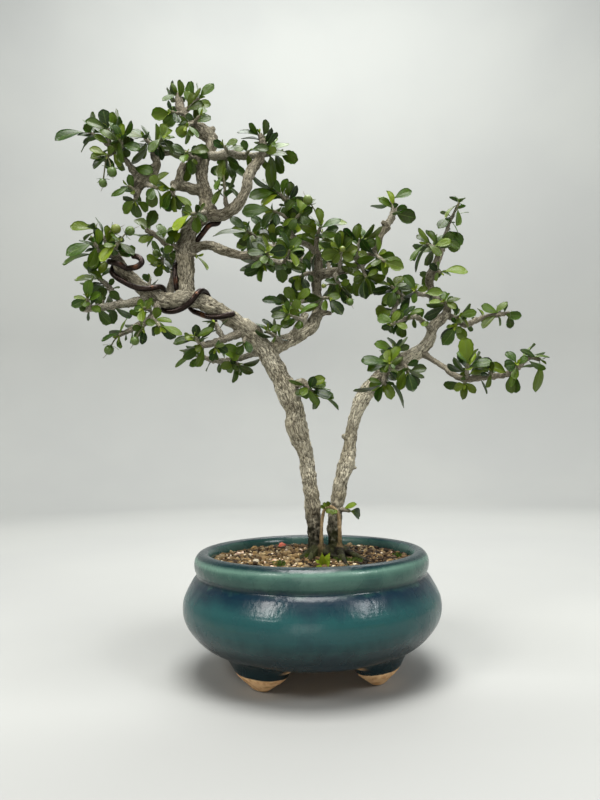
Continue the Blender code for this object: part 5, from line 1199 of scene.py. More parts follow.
    def wood_depth(self, x: float, y: float, side: float) -> float:
        """Find the depth of a wire point on the wood that the sketch shows at (x, y).

        Args:
            x: its place across the sketch.
            y: its place down the sketch.
            side: -1 in front of the wood, 1 behind it, 0 over its edge.

        Returns:
            The depth.
        """
        depths = range(-self.depth_reach, self.depth_reach)
        depth: float = min(depths, key=lambda d: self.wood.nearest(SKETCH.point(x, y, d))[0])
        while side and self.wood.nearest(SKETCH.point(x, y, depth))[0] < self.wire_radius + self.wire_gap:
            depth += self.depth_step * side
        return depth

    def press(self, way: Way, wood: Optional[Wood] = None) -> Way:
        """Move a wire's stations to the wire's distance from the wood.

        Args:
            way: the stations.
            wood: other wood, which only pushes stations out where they are too near.

        Returns:
            The moved stations.
        """
        moved: Way = []
        for point, radius in way:
            distance, place, normal = (wood or self.wood).nearest(point)
            if not wood or distance < radius + self.wire_gap:
                point = place + normal * (radius + self.wire_gap)
            moved.append((point, radius))
        return moved

    def lay_wires(self, twigs: Wood) -> None:
        """Lay the two wires: round the left limb, and from it up the leader.

        Args:
            twigs: the twigs that they keep clear of.
        """
        limb = self.hug(LIMB_WIRE)
        hook = SKETCH.way(tuple((*point, self.wire_radius) for point in LIMB_WIRE_END))
        limb = smooth_way([*hook, limb[0]], self.wire_spacing)[:-1] + limb
        self.wires = [limb, self.hug(LEADER_WIRE)]
        for _ in range(self.wire_rounds[1]):
            self.wires = [self.press(self.press(way, twigs), self.wood) for way in self.wires]

    def work_out(self) -> None:
        """Place everything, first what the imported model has, then the leaves that only the looks have."""
        body, twigs = self.body_ways(), Wood()
        many, few = self.twig_sides
        for way, _ in body:
            self.wood.add(way)
        for way, sides in body:
            self.space.add("tree", plain_tube(way, sides))
        for spray in SPRAYS:
            self.grown[spray.name] = self.grow(spray)
            self.blades[spray.name], self.roots[spray.name] = [], []
        for name, ways in self.grown.items():
            for _, way in ways:
                self.space.add(name, plain_tube(way, many if way[0][1] > self.thick_twig else few))
                twigs.add(way)
            if name == "spray_limb_tip":
                self.wood.add(ways[0][1])
        self.lay_wires(twigs)
        for number, way in enumerate(self.wires):
            self.space.add(f"wire {number}", plain_tube(way, self.wire_sides))
        for place in (self.place_leaves, self.place_back_leaves):
            for spray in SPRAYS:
                place(spray, extra=False)
        self.margin = self.extra_margin
        self.packed = {name: len(blades) for name, blades in self.blades.items()}
        for spray in SPRAYS:
            self.place_leaves(spray, extra=True)
        self.fill_thickets()
        for spray in SPRAYS:
            self.place_back_leaves(spray, extra=True)
        self.place_rosettes()

    def hides(self, blade: Blade) -> bool:
        """Tell whether a leaf stands before wood that the sketch shows bare.

        Args:
            blade: the leaf.

        Returns:
            True if it does.
        """
        for point in (blade.base.lerp(blade.tip, share) for share in self.tested):
            x, y = SKETCH.shown(point)
            for left, top, right, bottom, depth in BARE_WOOD:
                if left < x < right and top < y < bottom and point.y < SKETCH.spread(y, depth):
                    return True
        return False

    def leaves_of(self, name: str) -> list[Blade]:
        """Return a spray's leaves without the extra ones that hide bare wood."""
        count = self.packed[name]
        return self.blades[name][:count] + [b for b in self.blades[name][count:] if not self.hides(b)]

    def place_rosettes(self) -> None:
        """Crowd small leaves round the nodes of every twig, wherever there is room."""
        rng = Rng(f"{SEED} rosettes")
        for name, way in ((name, way) for name, grown in self.grown.items() for _, way in grown):
            fine = smooth_way(way, RULE.step)[2:]
            for index in range(rng.randrange(self.node_step), len(fine) - 1, self.node_step):
                base = fine[index][0]
                ahead = (fine[index + 1][0] - base).normalized()
                turn = rng.uniform(0.0, math.tau)
                for number in range(self.rosette):
                    radial = spoke(ahead, turn + RULE.golden_turn * number)
                    direction = (radial + ahead * rng.uniform(*self.small_ahead)).normalized()
                    length = rng.uniform(*self.small_leaf)
                    normal = ahead + jitter(rng, self.small_sway) + UPWARD * self.small_rise
                    width = length * rng.uniform(*self.small_width)
                    blade = Blade(base, base + direction * length, normal, width, small=True)
                    self.keep(name, self.loose_blade(name, blade, 0.0))

    def fill_thickets(self) -> None:
        """Grow more leaves in the thick places of the crown, each from a twig that is near."""
        rng, eye = Rng(f"{SEED} thickets"), SKETCH.eye()
        ways = [(name, smooth_way(way, RULE.step)) for name, grown in self.grown.items() for _, way in grown]
        for x, y, reach, count in THICKETS:
            left = count
            for _ in range(count * self.fill_tries):
                leaf = (*in_disc(rng, x, y, reach), rng.uniform(*self.fill_width))
                sight, near = SKETCH.sight(*leaf[:2]), []
                for name, fine in ways:
                    gap = min((eye + sight * ((p.y - eye.y) / sight.y) - p).length for p, _ in fine[1:-1])
                    if self.fill_reach[0] < gap < self.fill_reach[1]:
                        near.append((name, fine))
                if near:
                    name, fine = rng.choice(near)
                    left -= self.keep(name, self.seen_blade(name, leaf, fine, rng))
                if left == 0:
                    break
            LOG.info("thicket at %d, %d lacks %d leaves", x, y, left)


def soften(way: Way) -> Way:
    """Return a way with every inner station evened with its neighbours."""
    trios = zip(way, way[1:], way[2:])
    return [way[0], *((a[0] * 0.25 + b[0] * 0.5 + c[0] * 0.25, b[1]) for a, b, c in trios), way[-1]]


class Part(Enum):
    """Finishes that a living piece is made of, in the order of its material slots."""

    WOOD = 0
    LEAF = 1
    FRUIT = 2


class Shape:
    """A mesh that is being put together from skins, with what its finish needs at every point."""

    def __init__(self) -> None:
        """Start with no skins."""
        self.points: list[np.ndarray] = []
        self.faces: Faces = []
        self.slots: list[int] = []
        self.grain: list[np.ndarray] = []
        self.marks: list[np.ndarray] = []
        self.count = 0

    def add(
        self, points: Sequence[Vector], faces: Faces, grain: Optional[Sequence[Row]] = None,
        marks: Sequence[Row] | Row = (0.5, 0.0, 0.0, 0.0), part: Part = Part.WOOD,
    ) -> None:
        """Add a skin.

        Args:
            points: rows of x, y, z in the pot's frame.
            faces: rings of indices into the points.
            grain: where each point lies on the unrolled surface; the points themselves if left out.
            marks: tone, age and two values that the finish names, for the skin or for every point.
            part: what it is made of.
        """
        self.points.append(np.array(points, float))
        self.faces.extend(tuple(index + self.count for index in face) for face in faces)
        self.slots.extend([part.value] * len(faces))
        self.grain.append(np.array(points if grain is None else grain, float))
        self.marks.append(np.broadcast_to(np.asarray(marks, float), (len(points), 4)))
        self.count += len(points)

    def piece(self, name: str, *finishes: Material) -> Thing:
        """Make the mesh an object in the row frame, shaded smooth.

        Args:
            name: the piece's name.
            finishes: its materials, by slot.

        Returns:
            The object.
        """
        mesh = bpy.data.meshes.new(name)
        points = (np.concatenate(self.points) + np.array(SHIFT)) * MM
        mesh.from_pydata(points.tolist(), [], self.faces)
        for finish in finishes:
            mesh.materials.append(finish)
        mesh.polygons.foreach_set("material_index", self.slots)
        write_marks(mesh, np.concatenate(self.grain), np.concatenate(self.marks))
        mesh.shade_smooth()
        mesh.validate()
        return show(name, mesh)


def write_marks(mesh: Mesh, grain: np.ndarray, marks: np.ndarray) -> None:
    """Store the unrolled place and the marks of every point on a mesh.

    Args:
        mesh: the mesh.
        grain: rows of three.
        marks: rows of four.
    """
    run = mesh.attributes.new("grain", "FLOAT_VECTOR", "POINT")
    run.data.foreach_set("vector", np.ascontiguousarray(grain, np.float32).ravel())
    layer = mesh.attributes.new("marks", "FLOAT_COLOR", "POINT")
    layer.data.foreach_set("color", np.ascontiguousarray(marks, np.float32).ravel())


def grid_faces(rows: int, columns: int, closed: bool = True, first: int = 0) -> Faces:
    """List the four-sided faces of a grid of points.

    Args:
        rows: its rows.
        columns: points in a row.
        closed: True if a row's last point joins its first.
        first: index of the grid's first point.

    Returns:
        The faces, row by row.
    """
    faces = []
    for row in range(rows - 1):
        for column in range(columns if closed else columns - 1):
            low, high = first + row * columns, first + (row + 1) * columns
            after = (column + 1) % columns
            faces.append((low + column, low + after, high + after, high + column))
    return faces


def sweep(
    way: Way, sides: int, knob: float = 0.0, seed: float = 0.0
) -> tuple[np.ndarray, Faces, np.ndarray]:
    """Sweep a round section along stations, with rounded ends.

    Args:
        way: the stations.
        sides: points round the section.
        knob: how uneven the surface is, as a share of the radius.
        seed: what makes its unevenness its own.

    Returns:
        Points, faces and the points' places on the unrolled surface.
    """
    rings = list(way)
    for end, inner in ((way[0], way[1]), (way[-1], way[-2])):
        out = (end[0] - inner[0]).normalized()
        caps = [(end[0] + out * end[1] * far, end[1] * size) for far, size in ROUNDED_END]
        rings = [*caps, *rings] if end is way[0] else [*rings, *reversed(caps)]
    side = (way[0][0] - way[1][0]).normalized().orthogonal().normalized()
    points, grain, travelled = [], [], 0.0
    for index, (centre, radius) in enumerate(rings):
        before, after = rings[max(index - 1, 0)][0], rings[min(index + 1, len(rings) - 1)][0]
        ahead = (after - before).normalized()
        side = (side - ahead * side.dot(ahead)).normalized()
        other = ahead.cross(side)
        travelled += (centre - before).length
        for cosine, sine in circle(sides):
            out = cosine * side + sine * other
            size = radius
            if knob:
                place = centre + out * radius
                lumps = noise.noise(place * (LUMP_PITCH / max(radius, 1.0)) + Vector((seed, 0.0, 0.0)))
                size *= 1.0 + knob * (lumps + FINE_SHARE * noise.noise(place * FINE_PITCH))
            points.append(centre + out * size)
            grain.append((radius * cosine + seed, radius * sine, travelled))
    ends = [tuple(reversed(range(sides))), tuple(range(len(points) - sides, len(points)))]
    return np.array(points), grid_faces(len(rings), sides) + ends, np.array(grain)


@dataclass(frozen=True)
class LeafForm:
    """The form of a blunt, faintly toothed leaf with a short stalk."""

    rows: int = 12
    columns: int = 7
    stalk: float = 0.12
    stalk_width: float = 0.07
    widest_at: float = 0.6
    tooth: float = 0.05
    tooth_from: float = 0.55
    tooth_share: Span = (0.2, 1.0)
    half_thickness: float = 0.17
    pointed: bool = False
    fold: Span = (0.04, 0.34)
    curl: Span = (-0.22, 0.10)
    twist: Span = (-0.45, 0.45)
    droop: Span = (-0.05, 0.04)
    wave: float = 0.03
    tip: float = 0.035
    reach: float = 0.985
    swell: float = 1.25
    taper: float = 0.85
    blunt: float = 2.7
    bunch: float = 0.92
    short: float = 6.0
    ripple: float = 5.0
    even_out: float = 0.35
    thin_edge: float = 0.55

    def outline(self, share: float, row: int, tooth: float) -> float:
        """Find how wide the leaf is.

        Args:
            share: share of its length.
            row: number of the row there.
            tooth: how far its teeth stand out.

        Returns:
            The half width, as a share of the widest.
        """
        run = (share - self.stalk) / (1.0 - self.stalk) * self.reach
        beyond = (run - self.widest_at) / (1.0 - self.widest_at)
        if run <= 0.0:
            return self.stalk_width
        if beyond < 0.0:
            width = math.sin(math.pi / 2 * run / self.widest_at) ** self.swell
        elif self.pointed:
            width = ((1.0 - run) / (1.0 - self.widest_at)) ** self.taper
        else:
            width = math.sqrt(max(0.0, 1.0 - beyond**self.blunt))
        if run > self.tooth_from:
            width *= 1.0 + tooth * (-1.0) ** row
        return max(width, self.stalk_width)

    def surface(
        self, blade: Blade, rng: Rng, young: float
    ) -> tuple[list[Vector], Faces, list[Row], list[Row], Part]:
        """Make a leaf's skin.

        Args:
            blade: where the leaf stands.
            rng: random numbers for its own folds.
            young: how fresh it is, from 0 to 1.

        Returns:
            Points, faces, places (across, along, length), marks (tone, age, underside, fold) and part.
        """
        along, normal, side = blade.axes()
        length, half = along.length, blade.width / 2
        fold, curl, twist = (rng.uniform(*span) for span in (self.fold, self.curl, self.twist))
        wave, droop = rng.uniform(0.0, math.tau), rng.uniform(*self.droop)
        tooth, tone = rng.uniform(*self.tooth_share) * self.tooth, rng.random()
        top, grain = [], []
        for row in range(self.rows):
            share = (row / (self.rows - 1)) ** self.bunch
            width = half * self.outline(share, row, tooth)
            turn = twist * share * (1.0 if length > self.short else 0.5)
            across_axis = math.cos(turn) * side + math.sin(turn) * normal
            face_axis = math.cos(turn) * normal - math.sin(turn) * side
            arch = 4 * RULE.arch * length * share * (1 - share) + droop * length * share**2
            spine = blade.base + along * share + normal * arch
            for column in range(self.columns):
                across = 2.0 * column / (self.columns - 1) - 1.0
                rise = width * (fold * abs(across) + curl * abs(across) ** 3 - fold * self.even_out)
                ripple = math.sin(self.ripple * share + wave + across)
                rise += self.wave * length * ripple * across * share
                reach = self.tip * length * (1.0 - across * across) * (row == self.rows - 1)
                point = spine + across_axis * across * width + face_axis * rise + along.normalized() * reach
                thickness = self.half_thickness * (1.0 - self.thin_edge * abs(across) ** 3)
                top.append((point, face_axis * thickness))
                grain.append((across, share, length))
        points = [point + thick for point, thick in top] + [point - thick for point, thick in top]
        count = len(top)
        marks = [(tone, young, float(index >= count), fold) for index in range(2 * count)]
        faces = [tuple(reversed(face)) for face in grid_faces(self.rows, self.columns, closed=False)]
        faces += [tuple(index + count for index in reversed(face)) for face in faces]
        rim = list(range(self.columns))
        rim += [row * self.columns + self.columns - 1 for row in range(1, self.rows)]
        rim += list(range(count - 2, count - self.columns - 1, -1))
        rim += [row * self.columns for row in range(self.rows - 2, 0, -1)]
        faces += [(a, a + count, b + count, b) for a, b in zip(rim, rim[1:] + rim[:1])]
        return points, faces, grain * 2, marks, Part.LEAF


LEAF_FORM = LeafForm()
SMALL_FORM = LeafForm(rows=8, columns=5, half_thickness=0.15)
BUD_FORM = LeafForm(rows=7, columns=5, stalk=0.04, stalk_width=0.2, tooth=0.0, half_thickness=0.14)
SEPAL_FORM = LeafForm(
    rows=7, columns=3, stalk=0.0, stalk_width=0.12, widest_at=0.25, half_thickness=0.1, pointed=True
)
SEEDLING_FORM = LeafForm(widest_at=0.42, tooth=0.12, tooth_from=0.2, pointed=True)
MOSS_FORM = LeafForm(rows=4, columns=3, stalk=0.0, stalk_width=0.5, tooth=0.0, half_thickness=0.1)


@dataclass
class SprayGrowth:
    """A leafy stem as it grows: knobbly twigs, leaves, buds at the tips, and berries on stalks."""

    spray: Spray
    layout: Layout
    ring_spacing: float = 1.1
    twig_sides: int = 9
    knob: float = 0.30
    collar: float = 1.4
    collar_reach: float = 2.2
    node_swelling: float = 0.28
    node_reach: float = 1.1
    twig_share: float = 0.9
    thickest_budding: float = 1.7
    root_depth: Span = (1.2, 3.0)
    root_share: float = 0.5
    root_flare: float = 1.15
    first_step: float = 0.3
    seed_reach: float = 60.0
    node_near: float = 1.5
    fresh: float = 0.35
    young_girth: Span = (0.8, 1.4)
    young_root: float = 0.25
    bud_counts: tuple[int, ...] = (2, 2, 3)
    bud_round: float = 2.6
    bud_stray: float = 0.2
    bud_root: float = 0.4
    bud_lean: float = 0.4
    bud_length: Span = (2.6, 5.2)
    bud_spread: Span = (0.35, 0.9)
    bud_age: Span = (0.45, 0.95)
    bud_width: float = 0.42
    berry_share: float = 0.84
    berry_rows: int = 13
    berry_columns: int = 20
    berry_length: float = 1.06
    lobes: int = 4
    lobe_height: float = 0.025
    stalk: Row = (0.55, 0.42, 0.5)
    stalk_rise: float = 0.12
    stalk_search: float = 1.5
    stalk_end: float = 0.9
    stalk_spacing: float = 1.0
    stalk_sides: int = 7
    stalk_age: float = 0.9
    sepals: int = 5
    sepal_length: Span = (1.2, 1.9)
    sepal_width: float = 0.36
    sepal_stray: Span = (-0.2, 0.2)
    sepal_root: float = 0.93
    sepal_lean: Span = (-0.6, 0.3)
    sepal_age: Span = (0.0, 0.3)
    thread: Row = (0.22, 0.16, 0.12)
    thread_length: Span = (1.6, 3.2)
    thread_sway: float = 1.5
    thread_root: float = 0.95
    thread_bend: float = 0.3
    thread_sides: int = 5
    thread_marks: Row = (0.2, 0.1, 0.0, 0.0)
    shape: Shape = field(default_factory=Shape)

    def build(self, *finishes: Material) -> Thing:
        """Build the piece that stands for the spray's node.

        Args:
            finishes: twig, leaf and berry.

        Returns:
            The piece.
        """
        rng = Rng(f"{SEED} growth {self.spray.name}")
        blades = self.layout.leaves_of(self.spray.name)
        ways = [way for _, way in self.layout.grown[self.spray.name]]
        for way in ways:
            self.add_twig(way, [blade.base for blade in blades], way is ways[0], rng)
        for blade in blades:
            young = max(blade.fresh, self.fresh * rng.random() ** 2)
            self.shape.add(*(SMALL_FORM if blade.small else LEAF_FORM).surface(blade, rng, young))
        for way in ways:
            if way[-1][1] <= self.thickest_budding:
                self.add_buds(way, rng)
        for berry in self.spray.berries:
            self.add_berry(berry, ways, rng)
        return self.shape.piece(f"{self.spray.name}_growth", *finishes)

    def add_twig(self, way: Way, nodes: Sequence[Vector], stem: bool, rng: Rng) -> None:
        """Add a twig that swells at its leaves and flares where it leaves the wood.

        Args:
            way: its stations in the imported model.
            nodes: where the spray's leaves grow.
            stem: True for the stem, which reaches back into the tree.
            rng: the spray's own random numbers.
        """
        if stem:
            (root, radius), (least, most) = way[0], self.root_depth
            _, place, normal = self.layout.wood.nearest(root)
            inside = place - normal * min(least + radius * self.root_share, most)
            ahead = (way[1][0] - root).normalized()
            way = [(inside, radius * self.root_flare), (root + ahead * self.first_step, radius), *way[1:]]
        fine = smooth_way(way, self.ring_spacing)
        near = self.node_near
        nodes = [node for node in nodes if min((node - point).length for point, _ in fine) < near]
        start = way[1][0] if stem else fine[0][0]
        shaped: Way = []
        for point, radius in fine:
            flare = math.exp(-((point - start).length / self.collar_reach) ** 2)
            swell = max((math.exp(-((point - n).length / self.node_reach) ** 2) for n in nodes), default=0.0)
            growth = (self.collar - 1.0) * flare * stem + self.node_swelling * swell
            growth = 1.0 + growth * min(1.0, self.collar / radius)
            shaped.append((point, radius * growth * self.twig_share))
        seed = rng.uniform(0.0, self.seed_reach)
        points, faces, grain = sweep(shaped, self.twig_sides, self.knob, seed)
        travel = grain[:, 2] / max(grain[:, 2].max(), 1.0)
        marks = np.zeros((len(points), 4))
        marks[:, 0] = rng.random()
        slim, span = self.young_girth
        thin = 1.0 - np.clip((np.hypot(grain[:, 0] - seed, grain[:, 1]) - slim) / span, 0.0, 1.0)
        marks[:, 1] = np.clip(thin * (self.young_root + (1.0 - self.young_root) * travel), 0.0, 1.0)
        self.shape.add(points, faces, grain, marks)

    def add_buds(self, way: Way, rng: Rng) -> None:
        """Add two or three small fresh leaves at a twig's tip.

        Args:
            way: the twig's stations.
            rng: the spray's own random numbers.
        """
        tip = way[-1][0]
        ahead = (tip - way[-2][0]).normalized()
        for number in range(rng.choice(self.bud_counts)):
            radial = spoke(ahead, math.tau * (number / self.bud_round + rng.random() * self.bud_stray))
            length = rng.uniform(*self.bud_length)
            direction = (ahead + radial * rng.uniform(*self.bud_spread)).normalized()
            base, normal = tip - ahead * self.bud_root, ahead - radial * self.bud_lean
            blade = Blade(base, tip + direction * length, normal, length * self.bud_width)
            self.shape.add(*BUD_FORM.surface(blade, rng, rng.uniform(*self.bud_age)))

    def add_berry(self, berry: Row, ways: Sequence[Way], rng: Rng) -> None:
        """Add a berry with its stalk, the star of its calyx and the dry thread at its tip.

        Args:
            berry: its x, y, depth and radius.
            ways: the spray's twigs.
            rng: the spray's own random numbers.
        """
        x, y, depth, radius = berry
        radius *= self.berry_share
        centre = SKETCH.point(x, y, SKETCH.spread(y, depth))
        points = [point for way in ways for point, _ in smooth_way(way, self.stalk_search)]
        root = min(points, key=lambda point: (point - centre).length)
        middle = root.lerp(centre, 0.5) + UPWARD * (self.stalk_rise * (centre - root).length)
        out = (centre - middle).normalized()
        stalk = list(zip((root, middle, centre - out * radius * self.stalk_end), self.stalk))
        skin = sweep(smooth_way(stalk, self.stalk_spacing), self.stalk_sides)
        self.shape.add(*skin, (rng.random(), self.stalk_age, 0.0, 0.0))
        self.add_ball(centre, out, radius, rng)
        for number in range(self.sepals):
            radial = spoke(out, math.tau * number / self.sepals + rng.uniform(*self.sepal_stray))
            base = centre - out * radius * self.sepal_root
            lean = (radial - out * rng.uniform(*self.sepal_lean)).normalized()
            reach = lean * radius * rng.uniform(*self.sepal_length)
            blade = Blade(base, base + reach, -out, radius * self.sepal_width)
            self.shape.add(*SEPAL_FORM.surface(blade, rng, rng.uniform(*self.sepal_age)))
        tip, (half, whole) = centre + out * radius * self.thread_root, self.thread_length
        sway = out.orthogonal() * rng.uniform(-self.thread_sway, self.thread_sway)
        bend = tip + out * half + sway * self.thread_bend
        thread = list(zip((tip, bend, tip + out * whole + sway), self.thread))
        self.shape.add(*sweep(thread, self.thread_sides), self.thread_marks)

    def add_ball(self, centre: Vector, out: Vector, radius: float, rng: Rng) -> None:
        """Add the berry itself, a little longer than wide and faintly lobed.

        Args:
            centre: its middle.
            out: where it points.
            radius: its radius.
            rng: the spray's own random numbers.
        """
        rows, columns = self.berry_rows, self.berry_columns
        across = out.orthogonal().normalized()
        other = out.cross(across)
        points, grain = [], []
        for row in range(rows):
            polar = math.pi * (row + 0.25) / (rows - 0.5)
            for column, (cosine, sine) in enumerate(circle(columns)):
                turn = math.tau * column / columns
                lobe = 1.0 + self.lobe_height * math.cos(self.lobes * turn) * math.sin(polar)
                round_it = math.sin(polar) * lobe * (cosine * across + sine * other)
                points.append(centre + (round_it - out * math.cos(polar) * self.berry_length) * radius)
                grain.append((turn, row / rows, radius))
        ends = [tuple(reversed(range(columns))), tuple(range((rows - 1) * columns, rows * columns))]
        ripe = (rng.random(), rng.random(), 0.0, 0.0)
        self.shape.add(points, grid_faces(rows, columns) + ends, grain, ripe, Part.FRUIT)


@dataclass
class TreeWood:
    """The two trunks, the limbs and the roots as one skin of fissured bark."""

    layout: Layout
    tube_spacing: float = 2.0
    tube_sides: int = 14
    tube_knob: float = 0.10
    seed_step: float = 7.0
    voxel: float = 0.68
    settle: int = 3
    evenness: float = 0.5
    uneven: float = 0.09
    ridge: float = 0.85
    ridge_level: float = 0.30
    ridge_pitch: float = 0.60
    ridge_run: float = 0.24
    grit: float = 0.6
    lump: float = 0.75
    lump_pitch: float = 0.13
    shift_back: float = 0.12
    damp_reach: float = 42.0
    root_reach: Span = (2.0, 2.8)
    knot_depth: float = 3.0
    full_girth: float = 5.0
    grit_run: float = 0.4
    grit_seed: float = 9.0
    second_lump: Span = (0.5, 2.3)
    knots: list[tuple[Vector, float, float]] = field(default_factory=list)

    def tubes(self) -> list[Way]:
        """Make the fine ways of the body, uneven in girth like old pruned wood.

        Returns:
            The ways, the roots on the gravel last.
        """
        rough = [way for way, _ in self.layout.body_ways()]
        rough += [[(Vector(place), radius) for *place, radius in root] for root in FRONT_ROOTS]
        ways = []
        for number, way in enumerate(rough):
            fine = smooth_way(way, self.tube_spacing)
            ways.append([(point, self.girth(point, radius, number)) for point, radius in fine])
        return ways

    def girth(self, point: Vector, radius: float, number: int) -> float:
        """Return the radius with the swellings that old cuts leave."""
        bump = noise.noise(point * self.lump_pitch + Vector((number, 0.0, 0.0)))
        return radius * (1.0 + self.uneven * bump) - self.shift_back

    def build(self, finish: Material) -> Thing:
        """Build the piece that stands for the tree's node.

        Args:
            finish: its bark.

        Returns:
            The piece.
        """
        for x, y, reach, rise in KNOTS:
            place = SKETCH.point(x, y, self.layout.wood_depth(x, y, 0) - self.knot_depth)
            self.knots.append((place, reach, rise))
        shape = Shape()
        for number, way in enumerate(self.tubes()):
            shape.add(*sweep(way, self.tube_sides, self.tube_knob, number * self.seed_step)[:2])
        item = shape.piece("tree_wood", finish)
        fuse = item.modifiers.new("fuse", "REMESH")
        fuse.mode, fuse.voxel_size = "VOXEL", self.voxel * MM
        even = item.modifiers.new("even", "SMOOTH")
        even.factor, even.iterations = self.evenness, self.settle
        mesh = worked_out(item)
        item.modifiers.clear()
        item.data = mesh
        paint(item, finish)
        self.carve(mesh)
        mesh.shade_smooth()
        return item

    def carve(self, mesh: Mesh) -> None:
        """Raise ridges and lumps on the fused skin and store the run of its bark.

        Args:
            mesh: the skin.
        """
        count = len(mesh.vertices)
        places, normals = np.empty(count * 3), np.empty(count * 3)
        mesh.vertices.foreach_get("co", places)
        mesh.vertices.foreach_get("normal", normals)
        places = places.reshape(-1, 3) / MM - np.array(SHIFT)
        grain, girth = self.layout.wood.unrolled(places)
        relief = [self.relief(*map(Vector, pair), size) for *pair, size in zip(grain, places, girth)]
        places += normals.reshape(-1, 3) * np.array(relief)[:, None]
        mesh.vertices.foreach_set("co", ((places + np.array(SHIFT)) * MM).ravel())
        gap, (near, far) = np.full(count, self.root_reach[1]), self.root_reach
        for middle, _ in smooth_way(SKETCH.way(AIR_ROOT), self.tube_spacing):
            gap = np.minimum(gap, np.linalg.norm(places - np.array(middle), axis=1))
        marks = np.zeros((count, 4))
        # The first mark is the relief's height; the bark finish paints shade where it is low.
        marks[:, 0] = np.clip(0.5 + np.array(relief), 0.0, 1.0)
        marks[:, 1] = np.clip((places[:, 2] - SOIL_LEVEL) / self.damp_reach, 0.0, 1.0)
        marks[:, 2] = 1.0 - np.clip((gap - near) / (far - near), 0.0, 1.0)
        write_marks(mesh, grain, marks)

    def relief(self, grain: Vector, place: Vector, girth: float) -> float:
        """Find how far the bark stands out at a point.

        Args:
            grain: where the point lies on the unrolled bark.
            place: the point.
            girth: the radius of the wood there.

        Returns:
            The height, in millimetres.
        """
        pitch, run = self.ridge_pitch, self.ridge_run
        lines = noise.noise(Vector((grain.x * pitch, grain.y * pitch, grain.z * run)))
        fine = noise.noise(Vector((grain.x, grain.y, grain.z * self.grit_run + self.grit_seed)))
        share, finer = self.second_lump
        scaled = place * self.lump_pitch
        lumps = noise.noise(scaled) + share * noise.noise(scaled * finer)
        bark = self.ridge * (self.ridge_level - abs(lines)) + self.grit * fine + self.lump * lumps
        knots = (rise * math.exp(-((place - spot).length / reach) ** 2) for spot, reach, rise in self.knots)
        return min(girth / self.full_girth, 1.0) * bark + sum(knots)


@dataclass
class TrainingWire:
    """A soft round wire that winds round a limb and lies on its bark."""

    name: str
    way: Way
    layout: Layout
    spacing: float = 1.0
    sides: int = 16
    gap: float = 0.10
    follow: float = 1.04
    rounds: int = 3
    share: float = 1.04

    def build(self, finish: Material) -> Thing:
        """Build the piece that stands for the wire's node.

        Args:
            finish: its metal.

        Returns:
            The piece.
        """
        fine = smooth_way(self.way, self.spacing)
        for _ in range(self.rounds):
            fine = soften([(self.lie(point, radius), radius) for point, radius in fine])
        fine = [(self.lie(point, radius), radius * self.share) for point, radius in fine]
        shape = Shape()
        shape.add(*sweep(soften(soften(fine)), self.sides))
        return shape.piece(f"{self.name}_winding", finish)

    def lie(self, point: Vector, radius: float) -> Vector:
        """Return a point of the wire laid on the bark where it is near."""
        distance, place, normal = self.layout.wood.nearest(point)
        return place + normal * (radius + self.gap) if distance < radius + self.follow else point


